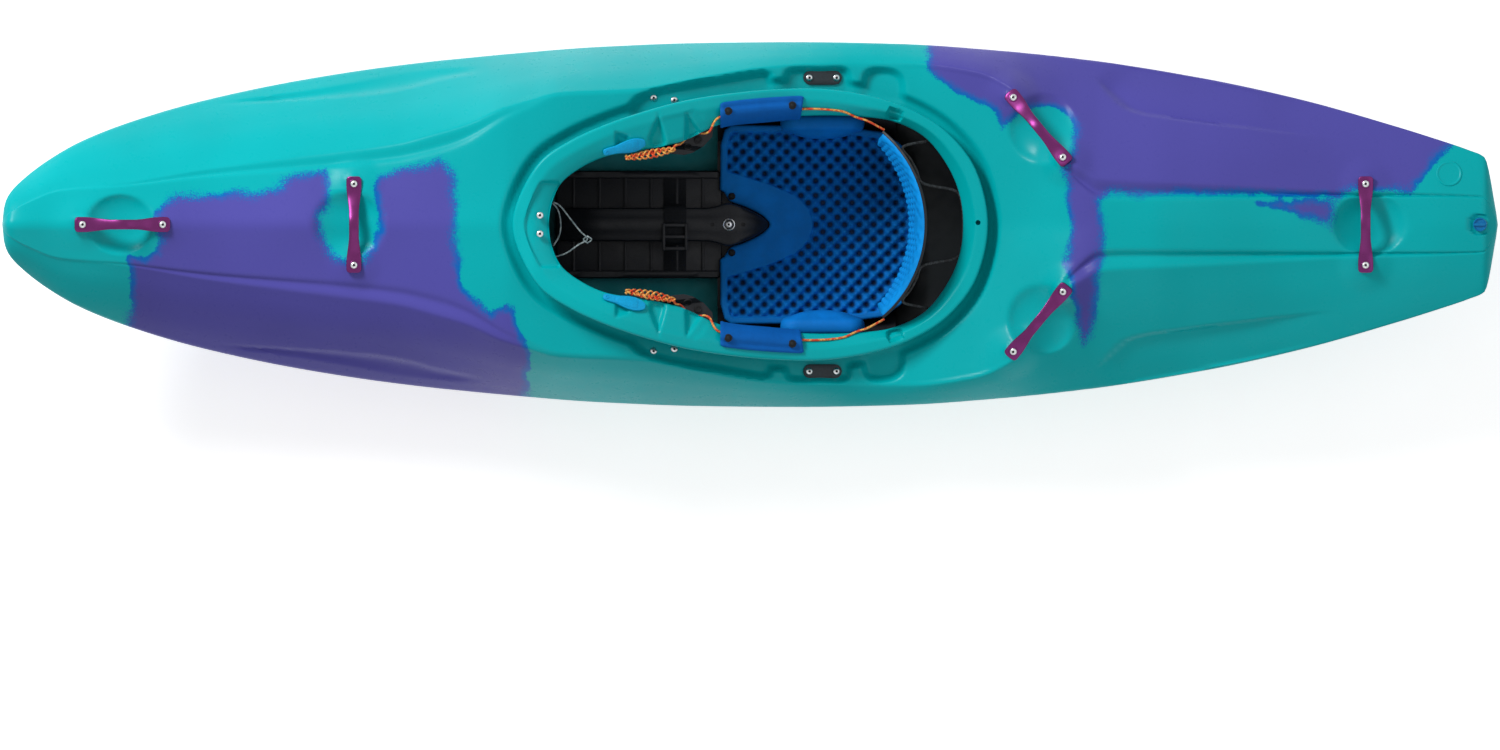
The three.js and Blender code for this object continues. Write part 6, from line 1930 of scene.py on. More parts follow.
@dataclass
class LegBeam:
    """The black tray with its ribs, the spine that runs back over the seat, and the strap over both."""

    finishes: Finishes
    form: HullForm
    front: float = -0.345
    rear: float = -0.064
    half: float = 0.096
    floor: float = 0.0296
    thickness: float = 0.010
    spine_half: float = 0.030
    spine_top: float = 0.0913
    runner: float = 0.014
    ring: tuple[float, float] = (-0.0378, 0.0108)
    nose: Pairs = ((-0.074, 0.03), (-0.058, 0.0335), (-0.045, 0.0375), (-0.0352, 0.0385), (-0.022, 0.0345),
                   (-0.0115, 0.0305), (0.0077, 0.0218), (0.0187, 0.0155), (0.0265, 0.0098), (0.0312, 0.0045),
                   (0.033, 0.0004))

    def build(self) -> None:
        """Makes the tray and the spine as one moulding."""
        shape = Shape()
        middle = (self.front + self.rear) / 2
        stand = Matrix.Translation((middle, 0, self.floor))
        long = self.rear - self.front + 0.015
        stand = stand @ Matrix.Translation((0.0065, 0, 0))
        shape.drawn(rounded_bar(long, self.half * 2, 0.012), 0.0, self.thickness, stand, bevel=0.0025)
        for side in (-1, 1):
            outer, inner = side * (self.half - 0.0006), side * (self.half - self.runner)
            top = self.floor + self.thickness + 0.004
            rows = []
            for x in np.linspace(self.front + 0.002, self.rear + 0.006, 20):
                keel = float(self.form.lines["keel"](np.array([self.form.share_of(x)]))[0]) * self.form.height
                low = min(keel + self.form.wall + 0.0008, self.floor - 0.001)
                rows.append([(x, outer, low), (x, outer, top - 0.002), (x, outer - side * 0.002, top),
                             (x, inner + side * 0.002, top), (x, inner, top - 0.002), (x, inner, low)])
            shape.lofted(np.array(rows), Matrix())
        for x in np.linspace(self.front + 0.03, self.rear - 0.02, 6):
            rib = Matrix.Translation((float(x), 0, self.floor + self.thickness))
            shape.drawn(rounded_bar(0.005, self.half * 1.86, 0.002), -0.001, 0.0028, rib, bevel=0.0008)
        shape.lofted(self.spine(), Matrix())
        x, radius = self.ring
        top = Matrix.Translation((x, 0, self.spine_top))
        shape.turned([(radius - 0.0022, -0.001), (radius - 0.0022, 0.0012), (radius - 0.0012, 0.0018),
                      (radius, 0.0012),
                      (radius, -0.001), (radius - 0.0022, -0.001)], top, steps=40, material=1)
        # Dark discs at the spine's two holes: painted shade standing in for the holes
        for spot in (-0.0673, -0.0115):
            hole = Matrix.Translation((spot, 0, self.spine_top + 0.00005))
            shape.turned([(0, 0.0), (0.0026, 0.0), (0.003, 0.0003), (0.0034, 0.0)], hole, steps=20,
                         material=2)
        shape.finish("leg_beam_moulding", "boat", "outfit",
                     [self.finishes.black, self.finishes.steel, self.finishes.dark_metal], ["leg_beam"],
                     sharp_degrees=45.0)
        self.strap()

    def spine(self) -> np.ndarray:
        """The spine as closed upright sections along the boat, with filleted top edges and a crest."""
        stations = [(self.front + 0.001, 0.0285, 0.068), (self.front + 0.02, 0.03, 0.076),
                    (self.front + 0.05, 0.03, 0.086), (self.front + 0.064, 0.03, 0.0905),
                    (-0.26, 0.03, 0.0913),
                    (-0.2, 0.03, 0.0913), (-0.16, 0.03, 0.0913), (-0.108, 0.03, 0.0913)]
        falls = smooth_line(((-0.08, 0.0913), (-0.0215, 0.0913), (0.0, 0.0855), (0.018, 0.074),
                             (0.028, 0.060), (0.033, 0.050)))
        stations += [(x, half, float(falls(np.array([x]))[0])) for x, half in self.nose]
        rows = []
        for x, half, top in stations:
            low = self.floor - 0.0005 if x < self.rear else self.floor
            edge = min(0.008, half * 0.45)
            ridge = half * 0.42
            rows.append([(x, half, low), (x, half, top - edge), (x, half - edge * 0.3, top - edge * 0.35),
                         (x, half - edge, top - 0.0012), (x, ridge, top - 0.0008), (x, ridge * 0.9, top),
                         (x, -ridge * 0.9, top), (x, -ridge, top - 0.0008), (x, -half + edge, top - 0.0012),
                         (x, -half + edge * 0.3, top - edge * 0.35), (x, -half, top - edge), (x, -half, low)])
        return np.array(rows)

    def strap(self) -> None:
        """Makes the webbing strap and its ladder buckle."""
        width, web, x = 0.040, 0.0022, -0.134
        wall, top = self.spine_half + 0.0008, self.spine_top + 0.0004
        foot = self.floor + self.thickness + 0.0004
        line = [(-self.half, foot), (-wall - 0.006, foot), (-wall, foot + 0.006), (-wall, top - 0.004),
                (-wall + 0.004, top), (wall - 0.004, top), (wall, top - 0.004), (wall, foot + 0.006),
                (wall + 0.006, foot), (self.half, foot)]
        rows = []
        for k, (y, z) in enumerate(line):
            before, after = line[max(k - 1, 0)], line[min(k + 1, len(line) - 1)]
            flow = Vector((0, after[0] - before[0], after[1] - before[1])).normalized()
            out = Vector((1, 0, 0)).cross(flow) * web
            centre = Vector((x, y, z))
            half = width / 2
            section = ((-1, 0.1), (-0.98, 0), (0.98, 0), (1, 0.1), (1, 0.9), (0.98, 1), (-0.98, 1), (-1, 0.9))
            rows.append([tuple(centre + Vector((s * half, 0, 0)) + out * t) for s, t in section])
        shape = Shape().lofted(np.array(rows))
        buckle = Matrix.Translation((x, -0.022, top + web))
        long, wide = 0.050, 0.046
        for y in (-1, 0, 1):
            bar = buckle @ Matrix.Translation((0, y * (long / 2 - 0.004) * (1 if y else 0.25), 0))
            shape.drawn(rounded_bar(wide, 0.007, 0.003), 0.0, 0.0052, bar, bevel=0.0014, material=1)
        for s in (-1, 1):
            rail = buckle @ Matrix.Translation((s * (wide / 2 - 0.003), 0, 0))
            shape.drawn(rounded_bar(0.006, long, 0.0028), 0.0, 0.006, rail, bevel=0.0014, material=1)
        shape.finish("thigh_webbing", "boat", "webbing", [self.finishes.webbing, self.finishes.black],
                     ["leg_strap"],
                     sharp_degrees=50.0)


@dataclass
class Backband:
    """The backrest: a bent black shell, and blue egg-crate foam on its front."""

    finishes: Finishes
    radius: float = 0.214
    centre_x: float = 0.098
    half_angle: float = 50.0
    bottom: float = 0.190
    top: float = 0.323
    end_top: float = 0.276
    end_bottom: float = 0.214
    shell: float = 0.004
    foam: float = 0.034
    pitch: float = 0.0165
    relief: float = 0.0062

    def edges(self, angle: np.ndarray) -> tuple[np.ndarray, np.ndarray]:
        """The band's lower and upper edges at angles from -1 to 1."""
        fall = np.abs(angle) ** 2.4
        low = self.bottom + (self.end_bottom - self.bottom) * fall
        return low, self.top + (self.end_top - self.top) * fall

    def place(self, angle: np.ndarray, radius: np.ndarray, share: np.ndarray) -> np.ndarray:
        """Places on the band from angles, radii and shares of its height."""
        low, high = self.edges(angle)
        turn = np.radians(self.half_angle) * angle
        z = low + (high - low) * share
        return np.stack([self.centre_x + radius * np.cos(turn), radius * np.sin(turn), z], axis=-1)

    def build(self) -> None:
        """Makes the shell and the foam."""
        self.make_shell()
        self.make_foam()

    def make_shell(self) -> None:
        """Makes the black shell with a rolled edge and two rows of cord eyelets."""
        angles = np.linspace(-1, 1, 61)
        near, far = self.radius, self.radius + self.shell
        section = ((near, 0.005), (near + 0.001, 0.0), (far, 0.004), (far + 0.0008, 0.02), (far, 0.04),
                   (far, 0.25),
                   (far, 0.5), (far, 0.75), (far, 0.96), (far + 0.0008, 0.98), (far, 0.996),
                   (near + 0.001, 1.0),
                   (near, 0.995), (near, 0.5))
        rows = np.stack([self.place(angles, np.full(61, r), np.full(61, s)) for r, s in section], axis=1)
        shape = Shape().lofted(rows)
        for turn in (-26, -20, 20, 26, -38, 38):
            a = math.radians(turn)
            direction = Vector((math.cos(a), math.sin(a), 0))
            seat = along(Vector((self.centre_x, 0, 0.262)) + direction * (far - 0.0006), direction)
            shape.turned([(0.0028, 0.0), (0.0052, 0.0), (0.0052, 0.0008), (0.004, 0.0014), (0.0028, 0.001),
                          (0.0028, 0.0)], seat, steps=20, material=1)
        shape.finish("backband_back", "backband", "outfit", [self.finishes.black, self.finishes.steel],
                     ["backband_shell"])

    def swell(self, angle: np.ndarray, share: np.ndarray) -> np.ndarray:
        """The foam's thickness as a share of its most: full at the foot, thin at the top and at both ends."""
        share = np.clip(share, 0, 1)
        body = (1.0 - 0.68 * share) * np.sqrt(np.clip(1 - np.abs(2 * share - 1) ** 7, 0, 1))
        end = np.sqrt(np.clip((1 - np.abs(angle)) / 0.05, 0.0004, 1))
        return body * (1 - 0.3 * np.abs(angle) ** 2.4) * end

    def make_foam(self) -> None:
        """Makes the foam as a closed skin, dimpled on its front."""
        across, tall = 240, 84
        angles = np.linspace(-0.985, 0.985, across)
        shares = np.linspace(0.0, 1.0, tall)
        a, s = np.meshgrid(angles, shares, indexing="ij")
        arc = a * math.radians(self.half_angle) * self.radius
        height = s * 0.12
        u, v = (arc + height) / math.sqrt(2), (arc - height) / math.sqrt(2)
        waves = np.cos(math.tau * u / self.pitch) + np.cos(math.tau * v / self.pitch)
        egg = np.clip(0.5 + 0.25 * waves, 0, 1) ** 0.85
        margin = ease((0.95 - np.abs(a)) / 0.04) * ease((1.03 - s) / 0.05) * ease((s - 0.05) / 0.05)
        plain = ease((np.hypot(arc / 0.02, (s - 0.8) / 0.15) - 0.9) / 0.2)
        rise = 1 - margin * plain * (1 - egg)
        swell = self.swell(a, s)
        thick = self.foam * swell - self.relief * (1 - rise) * np.clip(swell * 1.6, 0, 1)
        front = self.place(a, self.radius - 0.0006 - np.maximum(thick, 0.0005), s)
        back = self.place(a, np.full_like(a, self.radius - 0.0005), s)
        ring = np.concatenate([front, back[:, ::-1][:, ::12]], axis=1)
        shape = Shape().lofted(ring)
        pad = shape.finish("backband_cushion", "backband", "foam", [self.finishes.band_foam],
                           ["backband_pad"],
                           sharp_degrees=75.0)
        # Painted shade: the foam darkens with the dimples' depth below its full face
        values = pad.data.attributes.new("rise", "FLOAT", "POINT")
        places = np.empty(len(pad.data.vertices) * 3)
        pad.data.vertices.foreach_get("co", places)
        places = places.reshape(-1, 3)
        radius = np.hypot(places[:, 0] - self.centre_x, places[:, 1])
        turn = np.arctan2(places[:, 1], places[:, 0] - self.centre_x) / math.radians(self.half_angle)
        low, high = self.edges(turn)
        share = (places[:, 2] - low) / (high - low)
        full = self.radius - 0.0006 - self.foam * self.swell(turn, share)
        rise = np.clip(1 - (radius - full) / (self.relief * 1.1), 0, 1)
        values.data.foreach_set("value", rise.astype(np.float32))


@dataclass
class HipCovers:
    """The blue sleeves over the rim beside the hips, each held by two snaps."""

    finishes: Finishes
    rim: RimForm
    front: float = -0.053
    rear: float = 0.091
    thickness: float = 0.0035
    gap: float = 0.001
    tunnel: float = 0.0095
    snaps: Sequence[tuple[float, float]] = ((-0.039, 0.6), (0.073, 0.6))

    def build(self) -> None:
        """Makes both covers and their snaps."""
        for side in Side:
            shape = Shape().lofted(self.rows(side))
            for x, share in self.snaps:
                centre = self.rim.on_rim(x, share, (self.tunnel + self.thickness) * 0.96, side)
                outer, inner = self.rim.on_rim(x, share, 0.02, side), self.rim.on_rim(x, share, 0.0, side)
                out = (outer - inner).normalized()
                snap = [(0.0, -0.001), (0.0072, -0.001), (0.0072, 0.0006), (0.0058, 0.0018), (0.0048, 0.0018),
                        (0.0044, 0.001), (0.0036, 0.0022), (0.0, 0.0028)]
                shape.turned(snap, along(centre, out), steps=32, material=1)
            shape.finish(f"hip_sleeve_{side.word}", "boat", "cover",
                         [self.finishes.cover, self.finishes.rubber],
                         [f"hip_cover_{side.word}"], sharp_degrees=60.0)

    def rows(self, side: Side) -> np.ndarray:
        """The sleeve's closed sections along the boat, its ends drawn in and its edges bound."""
        rows = []
        count = 40
        for k in range(count + 1):
            t = k / count
            x = self.front + (self.rear - self.front) * t
            bound = 0.0006 * (1 if t < 0.03 or t > 0.97 else 0)
            seam = -0.0004 if 0.03 < t < 0.06 or 0.94 < t < 0.97 else 0.0
            thin = self.thickness * (0.45 if k in (0, count) else 1.0) + bound + seam
            corner = 0.05 * (max(0.0, 1 - min(t, 1 - t) / 0.05)) ** 2
            high = self.tunnel + thin
            hold = self.gap
            on, off = self.rim.on_rim, self.rim.off_rim
            rows.append([
                on(x, 0.27 + corner, hold, side), on(x, 0.43, hold, side), on(x, 0.54, hold, side),
                on(x, 0.62, self.tunnel, side), on(x, 0.92, self.tunnel, side), off(x, hold * 2, 0.002, side),
                off(x, hold * 2, 0.012, side), off(x, hold * 2 + thin * 0.4, 0.0132, side),
                off(x, hold * 2 + thin, 0.012, side), off(x, hold * 3 + thin, 0.0, side),
                on(x, 0.98, high * 0.88, side),
                on(x, 0.92, high, side), on(x, 0.76, high * 1.05, side), on(x, 0.62, high * 0.97, side),
                on(x, 0.54, high * 0.72, side), on(x, 0.47, hold + thin * 1.15, side),
                on(x, 0.43, hold + thin, side),
                on(x, 0.36, hold + thin * 1.05, side), on(x, 0.29 + corner, hold + thin, side),
                on(x, 0.27 + corner, hold + thin * 0.5, side)])
        return np.array([[tuple(p) for p in row] for row in rows])


@dataclass
class PullTabs:
    """The bright blue moulded tabs at the ends of the backrest's cords."""

    finishes: Finishes
    rim: RimForm
    front: float = -0.262
    rear: float = -0.190
    length: float = 0.078
    wide: float = 0.025
    narrow: float = 0.013
    thickness: float = 0.0045
    lift: float = 0.0016
    # How far across the rim the tab's tip and tail lie
    tip_share: float = 0.83
    tail_share: float = 0.79

    def build(self) -> None:
        """Makes both tabs."""
        tip = self.rim.on_rim(self.front, self.tip_share, 0.0002)
        tail = self.rim.on_rim(self.rear, self.tail_share, 0.0002)
        beside = self.rim.on_rim((self.front + self.rear) / 2, 0.4, 0.0002)
        forward = (tail - tip).normalized()
        upward = forward.cross(beside - tip).normalized()
        stand = basis(forward, upward.cross(forward), upward, tip + upward * self.lift)
        long, wide, narrow = self.length, self.wide / 2, self.narrow / 2
        half = [(0.0, narrow * 0.5), (0.002, narrow * 0.85), (0.006, narrow), (long * 0.3, narrow * 1.12),
                (long * 0.5, wide * 0.86), (long * 0.62, wide * 0.98), (long * 0.74, wide),
                (long * 0.86, wide * 0.86),
                (long * 0.93, wide * 0.66), (long * 0.975, wide * 0.52), (long, wide * 0.34)]
        outline = half + [(x, -y) for x, y in reversed(half)]
        start = 0.012
        inner = [(start + (x - start) * 0.94 if x > start else start, y * 0.72)
                 for x, y in outline if 0.008 < x < long * 0.9]
        for side in Side:
            shape = Shape()
            frame_here = SIDEWAYS[side] @ stand
            shape.drawn(outline, 0.0, self.thickness, frame_here, bevel=0.0013, segments=3)
            shape.drawn(inner, self.thickness - 0.0004, self.thickness + 0.0007, frame_here, bevel=0.0005)
            eye = frame_here @ Matrix.Translation((0.0065, 0, self.thickness - 0.0002))
            shape.turned([(0.0018, 0.0), (0.0036, 0.0), (0.0036, 0.0006), (0.003, 0.001), (0.0018, 0.0008),
                          (0.0018, 0.0)], eye, steps=20)
            shape.finish(f"pull_tab_{side.word}_moulding", "boat", "tab", [self.finishes.tab],
                         [f"pull_tab_{side.word}"])


@dataclass
class TensionCords:
    """The orange cords that draw the backrest in, each chained into loops up to its pull tab."""

    finishes: Finishes
    rim: RimForm
    band: Backband
    diameter: float = 0.004
    links: int = 8
    link_half: float = 0.0045
    chain_rear: float = -0.134
    chain_front: float = -0.222
    # The chain's strands: thickness as a share of the cord, turns to a link, half links out from the rim,
    # how far each swings to the side and up, and how high it rides
    strand_share: float = 0.4
    strand_turns: float = 0.375
    strand_out: float = 1.2
    strand_swing: float = 0.0072
    strand_wave: float = 0.0024
    strand_lift: float = 0.0014
    under_rim: Sequence[Point] = (
        (-0.0726, 0.005, -0.0025), (-0.0809, 0.0045, 0.005), (-0.0921, -0.002, 0.0105),
        (-0.11, -0.004, 0.011), (-0.1244, 0.0035, 0.007))
    on_rim: Pairs = ((0.166, 0.84), (0.14, 0.78), (0.10, 0.75), (0.062, 0.76), (0.020, 0.77), (-0.058, 0.77))

    def route(self) -> list[Vector]:
        """The starboard cord's places from the band's end to the tab."""
        radius, gap = self.diameter / 2, 0.0002
        reach = self.band.radius + self.band.shell + 0.0025
        turn = math.radians(self.band.half_angle)
        end = Vector((self.band.centre_x + reach * math.cos(turn), reach * math.sin(turn),
                      (self.band.end_top + self.band.end_bottom) / 2))
        off, on = self.rim.off_rim, self.rim.on_rim
        run = [end, off(0.21, radius * 3, -radius * 2), off(0.192, radius, -radius * 2.5)]
        run += [on(x, share, radius + gap * 4) for x, share in self.on_rim]
        run += [off(x, out, drop) for x, out, drop in self.under_rim]
        return run + [self.chain_place(k / (self.links * 2),
                                       1.2 * (k % 2)) for k in range(self.links * 2 + 1)]

    def chain_place(self, t: float, out: float) -> Vector:
        """A place along the chained part: how far along, and how many half links out."""
        x = self.chain_rear + (self.chain_front - self.chain_rear) * t
        return self.rim.off_rim(x, self.diameter + self.link_half * out, -self.diameter)

    def build(self) -> None:
        """Makes both cords: the drawn part, and over the chained part three strands laid round each other."""
        line = spline(self.route(), 240)
        for side in Side:
            path = mirrored(line, side)
            shape = Shape().piped(path, self.diameter / 2, sides=10)
            cord = shape.finish(f"draw_cord_{side.word}", "boat", "cord", [self.finishes.draw_cord],
                                [f"tension_cord_{side.word}"], sharp_degrees=80.0)
            loops = Shape()
            for phase in (0.0, math.pi * 0.67, math.pi * 1.33):
                loops.piped(mirrored(self.strand(phase), side), self.diameter * self.strand_share, sides=8)
            chain = loops.finish(f"cord_loops_{side.word}", "boat", "cord", [self.finishes.draw_cord],
                                 sharp_degrees=80.0)

    def strand(self, phase: float) -> list[Vector]:
        """One strand of the chain, winding round the chain's own line."""
        places = []
        count = 120
        for k in range(count + 1):
            t = k / count
            spin = math.tau * self.links * self.strand_turns * t + phase
            swell = 0.35 + 0.65 * math.sin(math.pi * min(max(t * 1.04, 0.02), 0.98))
            out = self.strand_out
            centre = self.chain_place(t, out)
            after, before = self.chain_place(min(t + 0.01, 1), out), self.chain_place(max(t - 0.01, 0), out)
            ahead = (after - before).normalized()
            side = ahead.cross(Vector((0, 0, 1))).normalized()
            places.append(centre + side * (math.cos(spin) * self.strand_swing * swell)
                          + Vector((0, 0, 1)) * (math.sin(spin * 2) * self.strand_wave + self.strand_lift))
        return places


@dataclass
class ShockCord:
    """The black cord laced between the backrest and the rim."""

    finishes: Finishes
    rim: RimForm
    band: Backband
    diameter: float = 0.005
    height: float = 0.262

    def route(self) -> list[Vector]:
        """The cord's places from its starboard front end to its port one."""
        radius = self.band.radius + self.band.shell + self.diameter / 2 + 0.0008
        on_band = [Vector((self.band.centre_x + radius * math.cos(math.radians(d)),
                           radius * math.sin(math.radians(d)), self.height)) for d in (38, 32, 26, 20)]
        off = self.rim.off_rim
        at_rim = [off(0.3727, 0.002, 0.011), off(0.3775, -0.001, 0.0098)]
        starboard = [off(0.319, -0.0015, 0.019)] + on_band + at_rim
        return starboard + [Vector((p.x, -p.y, p.z)) for p in reversed(starboard)]

    def build(self) -> None:
        """Makes the cord."""
        path = spline(self.route(), 220)
        shape = Shape().piped(path, self.diameter / 2, sides=10)
        cord = shape.finish("lacing_cord", "boat", "shock", [self.finishes.black_cord], ["shock_cord"],
                            sharp_degrees=80.0)


@dataclass
class ThighBraces:
    """The black braces under the front of the rim, each with two moulded buttons on its pad."""

    finishes: Finishes
    # Each button's place in plan, and its radius
    studs: Sequence[Point] = ((-0.112, 0.139, 0.0085), (-0.0925, 0.151, 0.0075))

    def build(self) -> None:
        """Makes both braces from the frame's own solids, with soft edges."""
        for side in Side:
            node = f"thigh_brace_{side.word}"
            body = f"brace_{side.word}"
            grip = Shape().copied(node, bevel=0.002).finish(f"thigh_grip_{side.word}", body, "outfit",
                                                           [self.finishes.black], [node], sharp_degrees=30.0)
            studs = Shape()
            for x, y, radius in self.studs:
                found, place, normal, _ = grip.ray_cast((x, y * side.value, 1.0), (0, 0, -1))
                if not found:
                    continue
                stand = along(place, normal)
                studs.turned([(0.0, -0.001), (radius, -0.001), (radius, 0.0008), (radius * 0.9, 0.0019),
                              (radius * 0.62, 0.0022), (radius * 0.5, 0.0012), (0.0, 0.0012)], stand, 36)
            studs.finish(f"thigh_studs_{side.word}", body, "outfit", [self.finishes.dark_metal])


@dataclass
class SizePad:
    """The bare round pad moulded on the stern deck, a flat disc inside a low ring."""

    finishes: Finishes
    form: HullForm
    place: tuple[float, float] = (1.248, 0.091)
    radius: float = 0.0225

    def build(self) -> None:
        """Makes the pad, laid along the deck's slope."""
        x, y = self.place
        reach = 0.02
        rise = self.form.deck_height(x + reach, y) - self.form.deck_height(x - reach, y)
        fall = self.form.deck_height(x, y + reach) - self.form.deck_height(x, y - reach)
        normal = Vector((-rise, -fall, 2 * reach)).normalized()
        stand = along(Vector((x, y, self.form.deck_height(x, y))), normal)
        r = self.radius
        profile = [(0.0, -0.003), (r + 0.0006, -0.003), (r + 0.0006, 0.0), (r, 0.0010), (r - 0.0012, 0.0014),
                   (r - 0.0026, 0.0012), (r - 0.0034, 0.0005), (r - 0.0052, 0.0004), (0.0, 0.0005)]
        shape = Shape()
        shape.turned(profile, stand, 64)
        pad = shape.finish("size_pad", "boat", "shell", [self.finishes.skin])
        dye = pad.data.attributes.new("dye", "FLOAT", "POINT")
        for value in dye.data:
            value.value = -0.1


@dataclass
class Inside:
    """What stands inside the hull: the footrest with its foam, the rails, the pillars and the seat's pan."""

    finishes: Finishes
    deck: Deck
    under_skin: float = 0.024

    def lower(self, piece: bpy.types.Object) -> None:
        """Keeps a foam pillar's top below the deck's hollows."""
        tops = self.deck.form.on_deck(np.array([v.co[:2] for v in piece.data.vertices]))
        limit = self.deck.deep_press(tops, 0.014) - self.under_skin
        for vert, most in zip(piece.data.vertices, limit):
            vert.co.z = min(vert.co.z, float(most))

    def build(self) -> None:
        """Makes the foams with soft edges, and dresses the frame's own hard parts."""
        for node, name, body, slot in (
                ("bow_pillar", "bow_pillar_foam", "boat", "dark_foam"),
                ("stern_pillar", "stern_pillar_foam", "boat", "dark_foam"),
                ("footrest_foam", "footrest_cushion", "footrest", "dark_foam")):
            shape = Shape().copied(node, bevel=0.003, segments=3)
            piece = shape.finish(name, body, slot, [self.finishes.grey_foam], [node],
                                 sharp_degrees=50.0)
            values = piece.data.attributes.new("rise", "FLOAT", "POINT")
            values.data.foreach_set("value", [0.7] * len(piece.data.vertices))
            if "pillar" in node:
                self.lower(piece)
        for node, finish in (("seat_pan", self.finishes.black), ("footrest_plate", self.finishes.aluminium),
                             ("footrest_rail_starboard", self.finishes.black),
                             ("footrest_rail_port", self.finishes.black),
                             ("drain_plug_seal", self.finishes.rubber)):
            mesh = frame["nodes"][node].data
            mesh.materials.clear()
            mesh.materials.append(finish)


@dataclass
class Lanyard:
    """The thin grey loop that hangs under the front of the rim, knotted at its rear."""

    finishes: Finishes
    diameter: float = 0.0028

    def build(self) -> None:
        """Makes the loop with its knot."""
        port = [Vector(p) for p in (
            (-0.351, 0.040, 0.372), (-0.340, 0.034, 0.360), (-0.322, 0.012, 0.345), (-0.303, -0.012, 0.336),
            (-0.290, -0.026, 0.332), (-0.306, -0.036, 0.336), (-0.328, -0.051, 0.350),
            (-0.349, -0.058, 0.366))]
        near = [Vector(p) for p in (
            (-0.352, 0.038, 0.372), (-0.343, 0.026, 0.358), (-0.338, 0.004, 0.348), (-0.340, -0.018, 0.352),
            (-0.351, -0.038, 0.368))]
        knot_line = [Vector((-0.290 + 0.0052 * math.cos(a) + 0.002 * math.cos(3 * a),
                             -0.027 + 0.0064 * math.sin(a), 0.333 + 0.003 * math.sin(2 * a)))
                     for a in (math.tau * 1.9 * k / 40 for k in range(41))]
        knot = Shape().piped(knot_line, self.diameter / 2, sides=8).finish(
            "lanyard_knot", "boat", "cord", [self.finishes.grey_cord], sharp_degrees=80.0)
        self.run("lanyard_loop", port, [knot])
        self.run("lanyard_return", near, [])

    def run(self, name: str, points: Sequence[Vector], pieces: Sequence[bpy.types.Object]) -> None:
        """Args:
            name: the piece's name.
            points: the places that it passes through.
            pieces: the separate pieces on it; not used.
        """
        path = spline(points, 60)
        cord = Shape().piped(path, self.diameter / 2, sides=8).finish(
            name, "boat", "cord", [self.finishes.grey_cord], sharp_degrees=80.0)


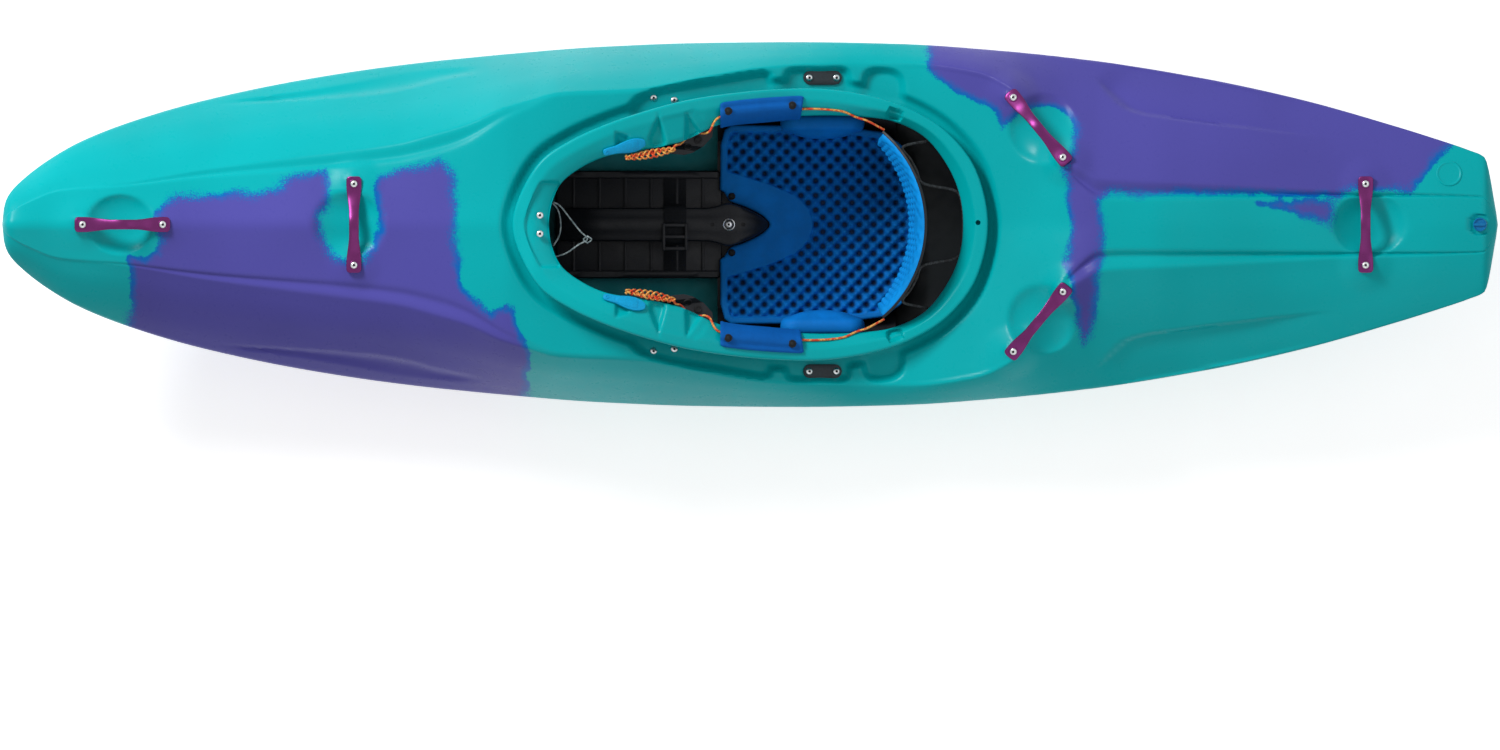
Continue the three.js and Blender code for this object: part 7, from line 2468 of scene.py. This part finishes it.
@dataclass
class Studio:
    """The pale floor, the soft lights and the camera that looks straight down."""

    floor_size: float = 14.0
    camera_height: float = 6.0
    view_width: float = 2.6775
    view_drop: float = -0.2686
    air_level: float = 0.32

    def build(self) -> None:
        """Makes the floor, the lights, the world and the camera."""
        bm = bmesh.new()
        bmesh.ops.create_grid(bm, x_segments=8, y_segments=8, size=self.floor_size / 2)
        floor = new_object("studio_floor", bm, smooth=False)
        floor.data.materials.append(self.paper())
        self.world()
        for name, place, size, power in (
                ("key_panel", (-3.0, 3.0, 3.6), 1.5, 205.0), ("fill_panel", (2.8, 0.6, 3.4), 3.0, 14.0),
                ("near_panel", (0.0, -3.2, 3.4), 3.4, 15.0)):
            self.panel(name, Vector(place), size, power)
        camera = bpy.data.cameras.new("camera")
        camera.type = "ORTHO"
        camera.ortho_scale = self.view_width
        camera.clip_end = 30.0
        holder = bpy.data.objects.new("camera", camera)
        holder.location = (0.0, self.view_drop, self.camera_height)
        bpy.context.scene.collection.objects.link(holder)
        bpy.context.scene.camera = holder
        bpy.context.scene.view_settings.view_transform = "Standard"

    def panel(self, name: str, place: Vector, size: float, power: float) -> None:
        """A square soft light that faces the boat."""
        light = bpy.data.lights.new(name, "AREA")
        light.size = size
        light.energy = power
        holder = bpy.data.objects.new(name, light)
        holder.location = place
        holder.rotation_euler = (Vector((0, 0, 0.2)) - place).to_track_quat("-Z", "Y").to_euler()
        bpy.context.scene.collection.objects.link(holder)

    def paper(self) -> Material:
        """The floor's finish: pale paper that reads as white, and keeps the boat's shadow."""
        n = Nodes("studio_paper")
        speck = n.spread(n.noise(6.0), 0.3, 0.7, 0.86, 0.88)
        colour = n.add("ShaderNodeCombineColor")
        for socket in colour.inputs:
            n.link(speck, socket)
        n.dress(colour.outputs[0], 0.9)
        n.shine(0.0)
        n.shader.inputs["Emission Color"].default_value = (1, 1, 1, 1)
        path = n.add("ShaderNodeLightPath")
        seen = n.math("MAXIMUM",
                      n.math("MAXIMUM", path.outputs["Is Camera Ray"], path.outputs["Is Glossy Ray"]),
                      path.outputs["Is Transmission Ray"])
        n.link(n.math("MULTIPLY", seen, 0.62), n.shader.inputs["Emission Strength"])
        return n.material

    def world(self) -> None:
        """A plain white world: white where it is seen, soft where it lights."""
        world = bpy.data.worlds.new("studio_air")
        world.use_nodes = True
        tree = world.node_tree
        tree.nodes.clear()
        output = tree.nodes.new("ShaderNodeOutputWorld")
        air = tree.nodes.new("ShaderNodeBackground")
        air.inputs["Color"].default_value = (1, 1, 1, 1)
        path = tree.nodes.new("ShaderNodeLightPath")
        seen = path.outputs["Is Camera Ray"]
        for name in ("Is Glossy Ray", "Is Transmission Ray"):
            either = tree.nodes.new("ShaderNodeMath")
            either.operation = "MAXIMUM"
            tree.links.new(seen, either.inputs[0])
            tree.links.new(path.outputs[name], either.inputs[1])
            seen = either.outputs[0]
        level = tree.nodes.new("ShaderNodeMapRange")
        level.inputs["To Min"].default_value = self.air_level
        level.inputs["To Max"].default_value = 1.0
        tree.links.new(seen, level.inputs["Value"])
        tree.links.new(level.outputs["Result"], air.inputs["Strength"])
        tree.links.new(air.outputs[0], output.inputs["Surface"])
        bpy.context.scene.world = world


def main() -> None:
    """Builds the boat in order and reports each piece."""
    logging.basicConfig(level=logging.INFO, format="%(name)s: %(message)s")
    Studio().build()
    form = HullForm()
    rim_form = RimForm(form)
    finishes = Finishes()
    band = Backband(finishes)
    TensionCords(finishes, rim_form, band).build()
    ShockCord(finishes, rim_form, band).build()
    Lanyard(finishes).build()
    deck = Deck(form, rim_form)
    Hull(form, deck, rim_form, finishes.skin, finishes.lining).build()
    Rim(rim_form, deck, finishes.skin).build()
    for spot in HANDLE_SPOTS:
        GrabHandle(finishes, form).build(spot)
    ButtonScrews(finishes).build_all()
    DrainPlug(finishes).build()
    SidePlates(finishes).build()
    SeatPad(finishes).build()
    HipPads(finishes).build()
    LegBeam(finishes, form).build()
    band.build()
    HipCovers(finishes, rim_form).build()
    PullTabs(finishes, rim_form).build()
    ThighBraces(finishes).build()
    SizePad(finishes, form).build()
    Inside(finishes, deck).build()
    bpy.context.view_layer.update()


if __name__ == "__main__":
    main()
